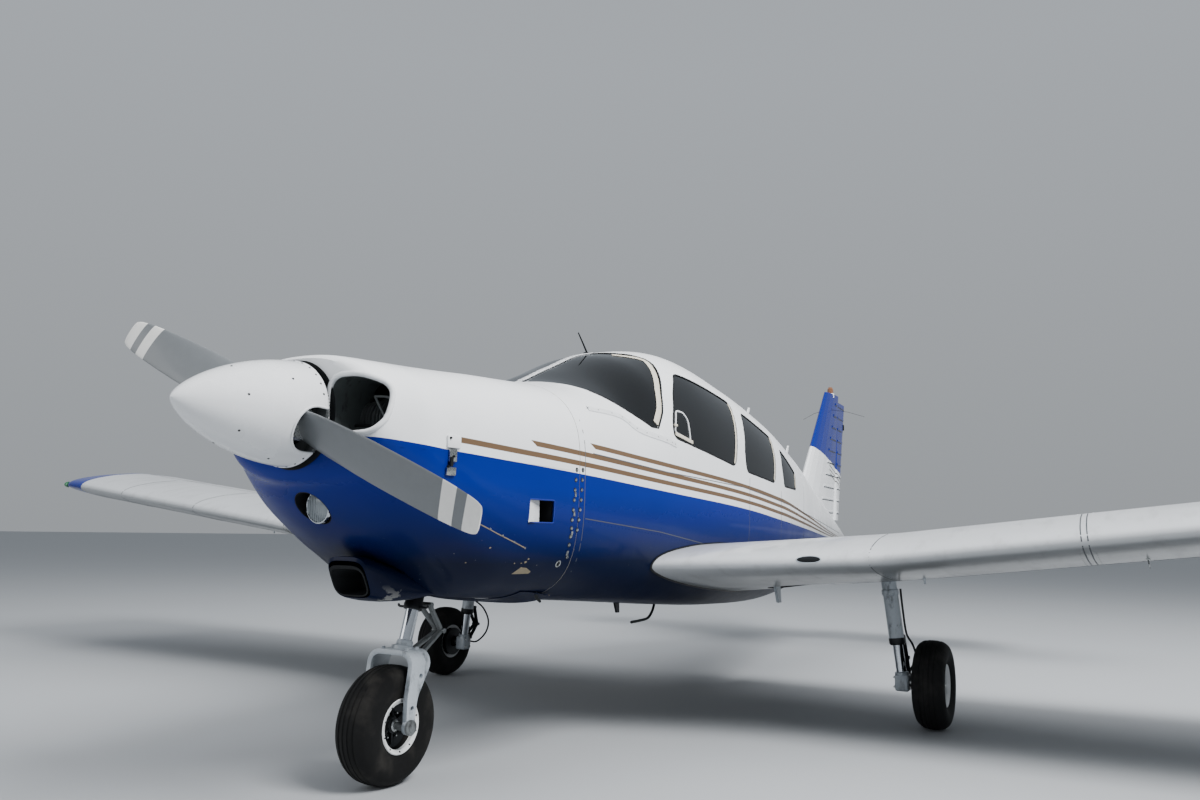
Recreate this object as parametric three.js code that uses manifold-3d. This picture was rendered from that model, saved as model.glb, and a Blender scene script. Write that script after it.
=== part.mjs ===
import * as THREE from 'three';
import { mergeVertices } from 'three/addons/utils/BufferGeometryUtils.js';
import Module from 'manifold-3d';

// Four-seat low-wing light aircraft with retractable tricycle gear, in millimetres.
// +X is the aircraft's left (port), the nose points to -Y, +Z is up and Z = 0 is the ground.
// Stations along Y are counted from the nose wheel's axle, and the last line shifts them.

const wasm = await Module();
wasm.setup();

const DEG = Math.PI / 180;
const SEAT = 0.3; // gap between pieces that touch
const CLEAR = 7; // gap round a piece that moves

// Overall stations
const SPINNER_TIP_Y = -1050;
const TAIL_END_Y = 6640;
const HALF_SPAN = 4905;

// Body: half width, belt height, top and keel heights, and how square the upper and lower halves are
const BODY_COLUMNS = ['y', 'half', 'belt', 'top', 'keel', 'upperPower', 'lowerPower'];
const BODY_ROWS = [
  [-550, 330, 1335, 1556, 1165, 2.4, 2.2],
  [-525, 366, 1322, 1568, 1127, 2.5, 2.3],
  [-480, 384, 1304, 1571, 1100, 2.6, 2.4],
  [-430, 402, 1285, 1572, 1044, 2.7, 2.5],
  [-330, 440, 1258, 1575, 952, 2.7, 2.6],
  [-240, 452, 1246, 1579, 892, 2.7, 2.8],
  [-120, 474, 1236, 1585, 830, 2.7, 3.2],
  [150, 500, 1228, 1602, 701, 2.8, 3.5],
  [520, 530, 1225, 1623, 676, 2.8, 3.8],
  [760, 545, 1240, 1658, 660, 2.6, 4],
  [1050, 558, 1270, 1770, 640, 2.05, 4],
  [1400, 570, 1300, 1903, 615, 2.2, 4],
  [1900, 576, 1300, 1990, 578, 2.35, 4],
  [2500, 568, 1300, 1925, 543, 2.4, 4],
  [3100, 543, 1290, 1825, 528, 2.35, 4],
  [3800, 466, 1240, 1682, 552, 2.2, 3.6],
  [4600, 346, 1130, 1493, 620, 2.1, 3],
  [5400, 217, 1030, 1290, 690, 2.1, 2.6],
  [6000, 123, 960, 1128, 752, 2.1, 2.4],
  [6320, 74, 930, 1030, 800, 2, 2.2],
];
const RING_POINTS = 36;
const WHEEL_SEGMENTS = 26;
const COWL_STATIONS = [-550, -525, -480, -430, -330, -240, -120, 150, 520];
const CABIN_STATIONS = [520, 760, 900, 1050, 1220, 1400, 1650, 1900, 2500, 3100, 3450, 3800];
const TAIL_STATIONS = [3800, 4600, 5400, 6000, 6320];
const FIREWALL_Y = 520;
const BULKHEAD_Y = 3800;

// Shell thicknesses
const COWL_SKIN = 12;
const CABIN_WALL = 35;
const TAIL_SKIN = 14;
const GLASS = 6;
const GLASS_INSET = 3;
const FLOOR_Z = 730;

// Cowl
const COWL_SPLIT = { frontZ: 1245, rearZ: 1214 };
const PROP = { y: -617, z: 1353, radius: 935, angle: -22.6 * DEG };
// Propeller hub: spinner plate, starter ring, hub and shaft
const HUB = {
  plateY: -575, plateThick: 8, plate: 180, ringY: -528, ringThick: 16, ring: 176, hub: 82, shaft: 48,
};
// Spinner: radius, wall, powers of its outline and the holes for the blades
const SPINNER = { radius: 185, wall: 8, tipWall: 12, blunt: 1.75, fullness: 0.72, bladeHole: 68, steps: 9 };
const ENGINE = { half: 300, y0: -440, y1: 300, z0: 1140, z1: 1448 };
const INLET = { x0: 194, x1: 388, z0: 1276, z1: 1484, round: 50 };
// Side vent, port side only: a square hole
const VENT = { y0: 190, y1: 350, z0: 1000, z1: 1090 };
// Landing light in the chin, tilted down, in a round recess
const LAMP = { y: -390, z: 1034, tilt: 30 * DEG, radius: 72, wall: 10, thick: 14 };
// Air scoop under the chin, half widths and heights at stations from its mouth to the leg's well
const SCOOP_COLUMNS = ['y', 'half', 'low', 'high'];
const SCOOP_ROWS = [[-273, 96, 704, 860], [-150, 112, 692, 840], [0, 122, 692, 790], [110, 126, 706, 740]];
const SCOOP_MOUTH = { half: 80, low: 718, high: 818, endHalf: 50, depth: 150 };
const LEG_SLOT = { half: 95, y0: -70, y1: 330 };

// Windows and doors as outlines seen from the side (y, z)
const WINDSHIELD = [
  [700, 1700], [870, 1615], [1190, 1474], [1245, 1474], [1405, 1664], [1607, 1893], [1480, 1926],
  [1400, 2060], [700, 2060],
];
const POST_HALF = 14;
const WINDOWS = {
  front: [[1388, 1442], [2185, 1352], [2270, 1560], [2352, 1742], [1700, 1824], [1530, 1684], [1404, 1520]],
  middle: [[2370, 1334], [2915, 1297], [2958, 1430], [3006, 1600], [2500, 1700], [2424, 1600], [2354, 1440]],
  rear: [[3135, 1286], [3482, 1280], [3500, 1395], [3150, 1532], [3104, 1410]],
};
const CABIN_DOOR = [
  [1350, 985], [2260, 985], [2275, 1340], [2405, 1780], [1672, 1866], [1450, 1662], [1372, 1550],
  [1352, 1440],
];
const BAGGAGE_DOOR = [[2700, 892], [3240, 886], [3215, 1225], [2700, 1250]];
const DOOR_GAP = 6;

// Hinge lines: a point on the axis and its direction
const CABIN_DOOR_HINGE = { point: [-604, 1347, 985], direction: [Math.sin(6 * DEG), 0, Math.cos(6 * DEG)] };
const BAGGAGE_DOOR_HINGE = { point: [-568, 2700, 1256], direction: [0.0535, 0.9975, -0.0462] };
// Door hinges: distances along the axis, knuckle and pin radius, and the leaves' reach across the axis
const CABIN_HINGES = {
  along: 2, middles: [75, 330], knuckle: 11, pin: 5,
  moving: [[-4, 46], [3, 28], 0], fixed: [[-4, 46], [-28, -3], 0],
};
const BAGGAGE_HINGES = {
  along: 1, middles: [90, 420], knuckle: 8, pin: 4,
  moving: [[-4, 22], 0, [-26, -3]], fixed: [[-4, 22], 0, [3, 26]],
};
// Reach of knuckles, leaves, pin and bore from a hinge's middle, and the room cut round them
const KNUCKLES = {
  middle: 15, middleLeaf: 13, pinEnd: 33, boreEnd: 38, outer: [16, 35], outerLeaf: [19, 34], room: 5,
};
const PIN_PLAY = 0.5;

// Cabin: instrument panel with its shelf (y, z), yokes, and seats
const PANEL = {
  half: 600, outline: [[800, 1560], [1010, 1585], [1010, 1150], [985, 1150], [975, 1540], [800, 1545]],
};
const YOKE = {
  x: 250, y: 1000, z: 1300, wheelY: 1200, wheelZ: 1330, half: 130, shaft: 10, grip: 11, hub: 18,
};
const FRONT_SEAT = { x0: 40, x1: 480, y: 1560, z: 950 };
const REAR_BENCH = { x0: -430, x1: 430, y: 2560, z: 930 };
// A seat's cushion, its box below, and its back seen from the side (y, z) from the cushion's front lower edge
const SEAT_FORM = {
  length: 460, height: 120, boxInset: 60, boxFront: 40, boxRear: 400,
  back: [[400, 60], [500, 60], [640, 610], [550, 620]],
};

// Wing panel, drawn flat and then turned up by the dihedral about its root point
const WING = {
  rootX: 600, rootZ: 748, dihedral: 7 * DEG, incidence: 2 * DEG,
  leadY: 1600, trailY: 3200, thick: 240, tipStart: 4030,
};
// Glove at the wing's root: its span, how far its leading edge runs forward, its rise, and where both end aft
const GLOVE = { span: 900, sweep: 0.4, rise: 75, riseEnd: 0.65, stretchEnd: 0.4 };
const WING_SPAN = (HALF_SPAN - WING.rootX) / Math.cos(WING.dihedral);
// Aerofoil columns: chord, upper and lower heights, all in parts of the chord
const FOIL = [
  [0, 0, 0], [0.008, 0.017, -0.012], [0.035, 0.034, -0.022], [0.1, 0.056, -0.035], [0.2, 0.078, -0.046],
  [0.35, 0.0945, -0.0533], [0.5, 0.0937, -0.0496], [0.65, 0.0746, -0.0334], [0.8, 0.0445, -0.0126],
  [0.9, 0.0218, -0.0011], [1, 0.0015, -0.0015],
];
const FOIL_THICK = 0.148;
// Wing tip columns: distance from the tip's end, setback of the leading edge, chord loss, thickness share
const TIP_ROWS = [
  [250, 0, 0, 1], [130, 12, 25, 0.86], [50, 60, 110, 0.6], [12, 130, 240, 0.34], [0, 190, 360, 0.14],
];
const TIP_DROP = 20;
const FLAP_SPAN = [-35, 2290];
const AILERON_SPAN = [2303, 4012];
const HINGE_Y = 2925;
const WING_BRACKETS = { flap: [480, 1850], aileron: [2620, 3700], half: 7, round: 9, pin: 5 };

// Tail surfaces
const FIN = { rootZ: 1000, topZ: 2330, rootLeadY: 4840, topLeadY: 5975, rootThick: 140, topThick: 66 };
const RUDDER_HINGE = { bottomY: 6158, topY: 6338, bottomZ: 1122, topZ: 2330, pin: 9 };
const RUDDER_TRAIL = { bottomY: 6350, topY: TAIL_END_Y, topZ: 2275 };
const STABILATOR = {
  z: 930, leadY: 5745, chord: 745, halfSpan: 1960, rootX: 172, thick: 74, pivotY: 5940, spar: 30,
};

// Landing gear
const TYRE = { radius: 222.5, half: 80 };
const NOSE = {
  rake: 16 * DEG, rim: 82, piston: 26, strut: 36, pivot: 24, axleRadius: 15, link: 11, elbow: [0, 214, 551],
};
// Nose fork: half width, plate, crown height, shoulder radius, axle boss and the arm's side view (y, z)
const FORK = {
  half: 114, thick: 20, top: 502, round: 66, boss: 24,
  side: [[-18, 212], [20, 212], [42, 330], [108, 440], [112, 520], [4, 520], [0, 440], [-18, 330]],
};
const MAIN = {
  x: 1590, y: 2360, legX: 1392, rim: 97, tube: 44, tubeLow: 430, piston: 26, axle: 15.5, link: 11,
};
// Wheel well in the wing's flat frame, and the slot that seats the leg's trunnion
const WELL = { x: 950, radius: 250, topZ: 765, slotEnd: 1480, slotHalf: 70, slotZ: 735 };
// Engine mount behind the engine's back
const MOUNT = { x: 200, y: 300, lowZ: 1170, highZ: 1400, tube: 12 };

// Colours
const PAINT = {
  white: [0xe9ebee, 0.28, 0], blue: [0x16389c, 0.25, 0], silver: [0xd5d8dc, 0.4, 0.3],
  steel: [0x8b9096, 0.4, 0.9],
  rubber: [0x1b1b1c, 0.85, 0], glass: [0x53626c, 0.1, 0], seat: [0x6f6a63, 0.9, 0],
  iron: [0x4a4c4e, 0.6, 0.6], lamp: [0xb3321f, 0.3, 0], dark: [0x2e3236, 0.6, 0.3],
  grey: [0x8f9294, 0.4, 0.2],
};

const part = new THREE.Group();

// Solids and geometry

function signedVolume(geometry) {
  const p = geometry.attributes.position;
  const at = (i) => new THREE.Vector3().fromBufferAttribute(p, geometry.index.getX(i));
  let sum = 0;
  for (let i = 0; i < geometry.index.count; i += 3) sum += at(i).dot(at(i + 1).cross(at(i + 2)));
  return sum / 6;
}

function toSolid(geometry) {
  const bare = geometry.clone();
  bare.deleteAttribute('normal');
  bare.deleteAttribute('uv');
  const merged = mergeVertices(bare, 1e-3);
  const index = Uint32Array.from(merged.index.array);
  if (signedVolume(merged) < 0) {
    for (let i = 0; i < index.length; i += 3) [index[i], index[i + 1]] = [index[i + 1], index[i]];
  }
  const vertProperties = Float32Array.from(merged.attributes.position.array);
  return new wasm.Manifold(new wasm.Mesh({ numProp: 3, vertProperties, triVerts: index }));
}

function toGeometry(solid) {
  const mesh = solid.getMesh();
  const geometry = new THREE.BufferGeometry();
  geometry.setAttribute('position', new THREE.BufferAttribute(Float32Array.from(mesh.vertProperties), 3));
  geometry.setIndex(new THREE.BufferAttribute(Uint32Array.from(mesh.triVerts), 1));
  geometry.computeVertexNormals();
  return geometry;
}

function addPart(name, solid, paint) {
  const [color, roughness, metalness] = PAINT[paint];
  const material = new THREE.MeshStandardMaterial({ color, roughness, metalness });
  const mesh = new THREE.Mesh(toGeometry(solid), material);
  mesh.name = name;
  part.add(mesh);
}

// The largest body of a solid, which drops slivers that a cut leaves behind.
function mainBody(solid) {
  return solid.decompose().reduce((best, body) => (body.volume() > best.volume() ? body : best));
}

function joined(solids) {
  return solids.reduce((all, one) => all.add(one));
}

function mirrored(solid) {
  const geometry = toGeometry(solid);
  geometry.applyMatrix4(new THREE.Matrix4().makeScale(-1, 1, 1));
  return toSolid(geometry);
}

function box(x0, x1, y0, y1, z0, z1) {
  const geometry = new THREE.BoxGeometry(x1 - x0, y1 - y0, z1 - z0);
  return toSolid(geometry.translate((x0 + x1) / 2, (y0 + y1) / 2, (z0 + z1) / 2));
}

function rod(from, to, radius, endRadius = radius, sides = 18) {
  const a = new THREE.Vector3(...from);
  const b = new THREE.Vector3(...to);
  const geometry = new THREE.CylinderGeometry(endRadius, radius, a.distanceTo(b), sides);
  const direction = b.clone().sub(a).normalize();
  geometry.applyQuaternion(new THREE.Quaternion().setFromUnitVectors(new THREE.Vector3(0, 1, 0), direction));
  return toSolid(geometry.translate(...a.add(b).multiplyScalar(0.5).toArray()));
}

// A side-view outline (y, z) extruded across the body.
function sidePrism(outline, x0, x1) {
  const shape = new THREE.Shape(outline.map(([y, z]) => new THREE.Vector2(y, z)));
  const geometry = new THREE.ExtrudeGeometry(shape, { depth: x1 - x0, bevelEnabled: false });
  geometry.translate(0, 0, x0);
  const basis = new THREE.Matrix4().makeBasis(
    new THREE.Vector3(0, 1, 0), new THREE.Vector3(0, 0, 1), new THREE.Vector3(1, 0, 0));
  return toSolid(geometry.applyMatrix4(basis));
}

// A front-view outline (x, z) extruded along the body.
function frontPrism(outline, y0, y1) {
  const shape = new THREE.Shape(outline.map(([x, z]) => new THREE.Vector2(x, z)));
  const geometry = new THREE.ExtrudeGeometry(shape, { depth: y1 - y0, bevelEnabled: false });
  return toSolid(geometry.rotateX(Math.PI / 2).translate(0, y1, 0));
}

// A profile of (radius, distance) turned about a line through `centre` along X or Y.
function turned(profile, centre, axis, segments) {
  const points = profile.map(([r, d]) => new THREE.Vector2(r, d));
  const geometry = new THREE.LatheGeometry(points, segments);
  if (axis === 'x') geometry.rotateZ(-Math.PI / 2);
  return toSolid(geometry.translate(...centre));
}

// Rings of equal point counts joined into one closed body, with flat ends.
function loft(rings, flatAxis) {
  const count = rings[0].length;
  const positions = rings.flat(2);
  const index = [];
  for (let r = 0; r + 1 < rings.length; r += 1) {
    for (let i = 0; i < count; i += 1) {
      const a = r * count + i;
      const b = r * count + (i + 1) % count;
      index.push(a, b, a + count, b, b + count, a + count);
    }
  }
  const [u, v] = [0, 1, 2].filter((axis) => axis !== flatAxis);
  [0, rings.length - 1].forEach((r) => {
    const flat = rings[r].map((p) => new THREE.Vector2(p[u], p[v]));
    const clockwise = THREE.ShapeUtils.isClockWise(flat);
    THREE.ShapeUtils.triangulateShape(flat, []).forEach(([a, b, c]) => {
      const [p, q, s] = [a, b, c].map((i) => i + r * count);
      const turn = (new THREE.Vector2().subVectors(flat[b], flat[a]))
        .cross(new THREE.Vector2().subVectors(flat[c], flat[a])) < 0;
      const sameAsRing = turn === clockwise;
      if ((r === 0) === sameAsRing) index.push(q, p, s);
      else index.push(p, q, s);
    });
  });
  const geometry = new THREE.BufferGeometry();
  geometry.setAttribute('position', new THREE.Float32BufferAttribute(positions, 3));
  geometry.setIndex(index);
  return toSolid(geometry);
}

// Body shape

function bodyRow(y) {
  const rows = BODY_ROWS;
  let i = rows.findIndex((row, k) => k + 1 < rows.length && y <= rows[k + 1][0]);
  if (i < 0) i = rows.length - 2;
  const t = (y - rows[i][0]) / (rows[i + 1][0] - rows[i][0]);
  const values = rows[i].map((value, c) => value + t * (rows[i + 1][c] - value));
  return Object.fromEntries(BODY_COLUMNS.map((name, c) => [name, values[c]]));
}

function bodyRing(y, inset) {
  const row = bodyRow(y);
  return Array.from({ length: RING_POINTS }, (_, i) => {
    const angle = (i / RING_POINTS) * 2 * Math.PI;
    const c = Math.cos(angle);
    const s = Math.sin(angle);
    const power = 2 / (s >= 0 ? row.upperPower : row.lowerPower);
    const rise = (s >= 0 ? row.top - row.belt : row.belt - row.keel) - inset;
    return [
      (row.half - inset) * Math.sign(c) * Math.abs(c) ** power, y,
      row.belt + rise * Math.sign(s) * Math.abs(s) ** power,
    ];
  });
}

function bodyLoft(stations, inset = 0) {
  return loft(stations.map((y) => bodyRing(y, inset)), 1);
}

// The same stations cut short at both ends.
function between(stations, start, end) {
  return [start, ...stations.filter((y) => y > start && y < end), end];
}

// Outlines grown outwards by a margin, for gaps round glass and doors.
function grown(outline, margin) {
  const points = outline.map(([y, z]) => new THREE.Vector2(y, z));
  const n = points.length;
  const sign = THREE.ShapeUtils.isClockWise(points) ? 1 : -1;
  return points.map((p, i) => {
    const before = new THREE.Vector2().subVectors(p, points[(i + n - 1) % n]).normalize();
    const after = new THREE.Vector2().subVectors(points[(i + 1) % n], p).normalize();
    const normalA = new THREE.Vector2(-before.y, before.x).multiplyScalar(sign);
    const normalB = new THREE.Vector2(-after.y, after.x).multiplyScalar(sign);
    const bisector = normalA.clone().add(normalB).normalize();
    const corner = p.clone().addScaledVector(bisector, margin / bisector.dot(normalB));
    return [corner.x, corner.y];
  });
}

// Corners of an outline rounded by short chords of a quadratic curve.
function rounded(outline, radius, steps = 3) {
  const n = outline.length;
  return outline.flatMap((corner, i) => {
    const p = new THREE.Vector2(...corner);
    const a = new THREE.Vector2(...outline[(i + n - 1) % n]);
    const b = new THREE.Vector2(...outline[(i + 1) % n]);
    const reach = (edge) => edge.setLength(Math.min(radius, edge.length() * 0.45));
    const start = p.clone().add(reach(a.sub(p)));
    const end = p.clone().add(reach(b.sub(p)));
    const curve = new THREE.QuadraticBezierCurve(start, p, end);
    return curve.getPoints(steps).map((q) => [q.x, q.y]);
  });
}

const SIDE = { port: [150, 720], starboard: [-720, -150] };
const WINDOW_ROUND = 60;

function windowPrism(outline, side, margin) {
  return sidePrism(rounded(grown(outline, margin), WINDOW_ROUND), ...SIDE[side]);
}

// Cabin shell, doors and glass

// Pinned hinges: the fixed piece carries the outer knuckles, the moving one the middle knuckle and the pin.
function hinged(fixed, moving, { point, direction }, hinges) {
  const { along, knuckle, pin } = hinges;
  const { middle, middleLeaf, pinEnd, boreEnd, outer, outerLeaf, room } = KNUCKLES;
  const pair = { fixed, moving };
  hinges.middles.forEach((centre) => {
    const at = (d) => point.map((value, i) => value + direction[i] * (centre + d));
    const bar = (d0, d1, radius) => rod(at(d0), at(d1), radius, radius, 12);
    const leaf = (d0, d1, across, grow = 0) => box(...at((d0 + d1) / 2).flatMap((value, i) => {
      const [low, high] = i === along ? [(d0 - d1) / 2, (d1 - d0) / 2] : across[i];
      return [value + low - grow, value + high + grow];
    }));
    const whole = outer[1] + room + 1;
    pair.moving = joined([
      pair.moving.subtract(bar(-whole, whole, knuckle + room)), bar(-middle, middle, knuckle),
      leaf(-middleLeaf, middleLeaf, hinges.moving), bar(-pinEnd, pinEnd, pin),
    ]);
    pair.fixed = joined([
      pair.fixed.subtract(bar(-middle - room, middle + room, knuckle + room))
        .subtract(leaf(-middle, middle, hinges.moving, room)),
      bar(-outer[1], -outer[0], knuckle), bar(...outer, knuckle),
      leaf(-outerLeaf[1], -outerLeaf[0], hinges.fixed), leaf(...outerLeaf, hinges.fixed),
    ]).subtract(bar(-boreEnd, boreEnd, pin + PIN_PLAY));
  });
  return pair;
}

function buildCabin() {
  const outer = bodyLoft(CABIN_STATIONS);
  const innerStations = between(CABIN_STATIONS, FIREWALL_Y + CABIN_WALL, BULKHEAD_Y - CABIN_WALL);
  const inner = bodyLoft(innerStations, CABIN_WALL).intersect(box(-700, 700, 0, 4000, FLOOR_Z, 2200));
  const shell = outer.subtract(inner);
  const glassSkin = bodyLoft(CABIN_STATIONS, GLASS_INSET).subtract(
    bodyLoft(between(CABIN_STATIONS, FIREWALL_Y + 50, BULKHEAD_Y - 50), GLASS_INSET + GLASS));

  const windshieldSide = (x0, x1, margin) => sidePrism(grown(WINDSHIELD, margin), x0, x1);
  let cabin = shell;
  cabin = cabin.subtract(windshieldSide(POST_HALF, 700, 0)).subtract(windshieldSide(-700, -POST_HALF, 0));
  const glassGap = -SEAT;
  const glassHalf = (x0, x1) => mainBody(glassSkin.intersect(windshieldSide(x0, x1, glassGap)));
  addPart('windshield_port', glassHalf(POST_HALF + SEAT, 700), 'glass');
  addPart('windshield_starboard', glassHalf(-700, -POST_HALF - SEAT), 'glass');

  Object.entries(WINDOWS).forEach(([place, outline]) => {
    ['port', 'starboard'].forEach((side) => {
      cabin = cabin.subtract(windowPrism(outline, side, 0));
      const pane = mainBody(glassSkin.intersect(windowPrism(outline, side, glassGap)));
      addPart(`window_${place}_${side}`, pane, 'glass');
    });
  });

  const frontWindow = windowPrism(WINDOWS.front, 'starboard', 0);
  const cabinDoor = mainBody(shell.intersect(sidePrism(CABIN_DOOR, ...SIDE.starboard)).subtract(frontWindow));
  const baggageDoor = mainBody(shell.intersect(sidePrism(BAGGAGE_DOOR, ...SIDE.starboard)));

  // The doorway follows the first degrees of the door's swing, so its rear edge clears the frame.
  const doorSkin = bodyLoft(CABIN_STATIONS, -4)
    .subtract(bodyLoft(between(CABIN_STATIONS, 560, 3760), CABIN_WALL + 5));
  const envelope = toGeometry(doorSkin.intersect(sidePrism(grown(CABIN_DOOR, DOOR_GAP), ...SIDE.starboard)));
  const hinge = new THREE.Vector3(...CABIN_DOOR_HINGE.point);
  const hingeAxis = new THREE.Vector3(...CABIN_DOOR_HINGE.direction);
  cabin = cabin.subtract(sidePrism(grown(CABIN_DOOR, DOOR_GAP), ...SIDE.starboard));
  [2, 5, 9].forEach((angle) => {
    const swung = envelope.clone().translate(...hinge.clone().negate().toArray());
    swung.applyMatrix4(new THREE.Matrix4().makeRotationAxis(hingeAxis, angle * DEG));
    cabin = cabin.subtract(toSolid(swung.translate(...hinge.toArray())));
  });
  cabin = cabin.subtract(sidePrism(grown(BAGGAGE_DOOR, DOOR_GAP), ...SIDE.starboard));
  const front = hinged(mainBody(cabin), cabinDoor, CABIN_DOOR_HINGE, CABIN_HINGES);
  const rear = hinged(front.fixed, baggageDoor, BAGGAGE_DOOR_HINGE, BAGGAGE_HINGES);
  addPart('cabin_door', mainBody(front.moving), 'white');
  addPart('baggage_door', mainBody(rear.moving), 'blue');
  addPart('cabin_shell', mainBody(rear.fixed), 'white');
}

// The rudder's lower pin, which stands in the tail cone's solid end.
function rudderPin(play) {
  const lean = (RUDDER_HINGE.topY - RUDDER_HINGE.bottomY) / (RUDDER_HINGE.topZ - RUDDER_HINGE.bottomZ);
  const at = (z) => [0, RUDDER_HINGE.bottomY + (z - RUDDER_HINGE.bottomZ) * lean, z];
  return rod(at(1035 - play), at(RUDDER_HINGE.bottomZ + 30), RUDDER_HINGE.pin + play);
}

function buildTailCone() {
  const stations = [BULKHEAD_Y + SEAT, ...TAIL_STATIONS.slice(1)];
  const outer = bodyLoft(stations);
  const inner = bodyLoft(between(TAIL_STATIONS, BULKHEAD_Y - 1, 5850), TAIL_SKIN);
  const sparBore = STABILATOR.spar + PIN_PLAY;
  const spar = rod([-400, STABILATOR.pivotY, STABILATOR.z], [400, STABILATOR.pivotY, STABILATOR.z], sparBore);
  const cone = outer.subtract(inner).subtract(spar).subtract(rudderPin(PIN_PLAY));
  addPart('tail_cone', mainBody(cone), 'white');
}

// Engine cowling in an upper and a lower half

// A scoop under the chin, open at the front as a short funnel that narrows.
function chinScoop() {
  const rows = SCOOP_ROWS.map((row) => Object.fromEntries(SCOOP_COLUMNS.map((name, c) => [name, row[c]])));
  const ring = (y, half, low, high, round) => rounded(
    [[-half, high], [-half, low], [half, low], [half, high]], round).map(([x, z]) => [x, y, z]);
  const body = loft(rows.map(({ y, half, low, high }) => ring(y, half, low, high, 24)), 1);
  const { half, low, high, endHalf, depth } = SCOOP_MOUTH;
  const front = rows[0].y;
  return body.subtract(loft([
    ring(front - 1, half, low, high, 22), ring(front + depth, endHalf, low + 12, high - 12, 16)], 1));
}

// The landing light's cup is part of the lower cowl, and its lens sits in the cup.
function chinLamp() {
  const { y, z, tilt, radius, wall, thick } = LAMP;
  const at = (d) => [0, y - d * Math.cos(tilt), z - d * Math.sin(tilt)];
  const bar = (from, to, r) => rod(at(from), at(to), r, r, 26);
  return {
    cup: bar(160, -thick - wall, radius + wall), bore: bar(180, -thick, radius),
    lens: bar(0, SEAT - thick, radius - SEAT),
  };
}

function buildCowl() {
  const outer = bodyLoft(COWL_STATIONS.map((y) => (y === FIREWALL_Y ? y - SEAT : y)));
  const inner = bodyLoft(between(COWL_STATIONS, COWL_STATIONS[0] + COWL_SKIN, FIREWALL_Y), COWL_SKIN);
  const split = (high, low) => sidePrism([
    [-700, COWL_SPLIT.frontZ + low], [600, COWL_SPLIT.rearZ + low], [600, high], [-700, high]], -700, 700);
  const shell = outer.subtract(inner);
  const hub = rod([0, -700, PROP.z], [0, -500, PROP.z], 120, 120, 32);
  const inlet = (side) => {
    const { x0, x1, z0, z1, round } = INLET;
    const outline = rounded([[x0, z0], [x1, z0], [x1, z1], [x0, z1]], round);
    return frontPrism(outline.map(([x, z]) => [x * side, z]), -700, -400);
  };
  const openings = joined([hub, inlet(1), inlet(-1)]);
  addPart('cowl_upper', mainBody(shell.intersect(split(1800, 0)).subtract(openings)), 'white');

  const lamp = chinLamp();
  const legSlot = box(-LEG_SLOT.half, LEG_SLOT.half, LEG_SLOT.y0, LEG_SLOT.y1, 600, 900);
  const vent = box(400, 600, VENT.y0, VENT.y1, VENT.z0, VENT.z1);
  const scoop = chinScoop().subtract(bodyLoft(COWL_STATIONS, COWL_SKIN / 2));
  const lower = joined([shell.subtract(split(1800, -SEAT)), scoop, lamp.cup.intersect(outer)]);
  const cuts = [openings, legSlot, vent, lamp.bore];
  addPart('cowl_lower', mainBody(cuts.reduce((solid, cut) => solid.subtract(cut), lower)), 'blue');
  addPart('landing_light', lamp.lens, 'glass');
}

// Propeller, spinner and engine

function bladeRing(radius, chord, thick, pitch) {
  const shape = [
    [0.5, 0], [0.3, 0.42], [0, 0.5], [-0.3, 0.32], [-0.5, 0], [-0.3, -0.32], [0, -0.5], [0.3, -0.42],
  ];
  return shape.map(([along, across]) => {
    const lead = along * chord;
    const front = across * thick;
    const [c, s] = [Math.cos(pitch), Math.sin(pitch)];
    return [radius, -lead * s - front * c, lead * c - front * s];
  });
}

function buildPropeller() {
  // Blade columns: radius, chord, thickness, pitch in degrees
  const rows = [
    [60, 84, 70, 60], [150, 96, 54, 52], [260, 128, 34, 42], [420, 158, 24, 32], [640, 166, 17, 24],
    [840, 148, 12, 18], [915, 112, 9, 16], [PROP.radius, 60, 6, 15],
  ];
  const blade = loft(rows.map(([r, chord, thick, pitch]) => bladeRing(r, chord, thick, pitch * DEG)), 0);
  const pair = [0, Math.PI].map((turn) => {
    const geometry = toGeometry(blade).rotateY(-PROP.angle + turn);
    return toSolid(geometry.translate(0, PROP.y, PROP.z));
  });
  const disc = (y0, y1, radius) => rod([0, y0, PROP.z], [0, y1, PROP.z], radius, radius, 28);
  const { plateY, plateThick, plate, ringY, ringThick, ring, hub, shaft } = HUB;
  addPart('propeller', joined([
    ...pair, disc(PROP.y - 75, PROP.y + 50, hub), disc(plateY, plateY + plateThick, plate),
    disc(plateY, ENGINE.y0 - SEAT, shaft), disc(ringY, ringY + ringThick, ring),
  ]), 'grey');

  const base = plateY - SEAT;
  const { radius, wall, tipWall, blunt, fullness, bladeHole, steps } = SPINNER;
  const outline = (r, length) => Array.from({ length: steps + 1 }, (_, i) => {
    const t = i / steps;
    return [r * (1 - t ** blunt) ** fullness, base - t * length];
  });
  const length = base - SPINNER_TIP_Y;
  const inside = radius - wall;
  const outer = turned([[0, base], ...outline(radius, length)], [0, 0, PROP.z], 'y', 28);
  const inner = turned(
    [[0, base + 5], [inside, base + 5], ...outline(inside, length - tipWall)], [0, 0, PROP.z], 'y', 28);
  const reach = (side) => [
    side * Math.cos(PROP.angle) * radius * 1.4, PROP.y, PROP.z + side * Math.sin(PROP.angle) * radius * 1.4];
  addPart('spinner', mainBody(outer.subtract(inner).subtract(rod(reach(-1), reach(1), bladeHole))), 'white');
  addPart('engine_block', box(-ENGINE.half, ENGINE.half, ENGINE.y0, ENGINE.y1, ENGINE.z0, ENGINE.z1), 'iron');
}

// Cabin interior

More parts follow.
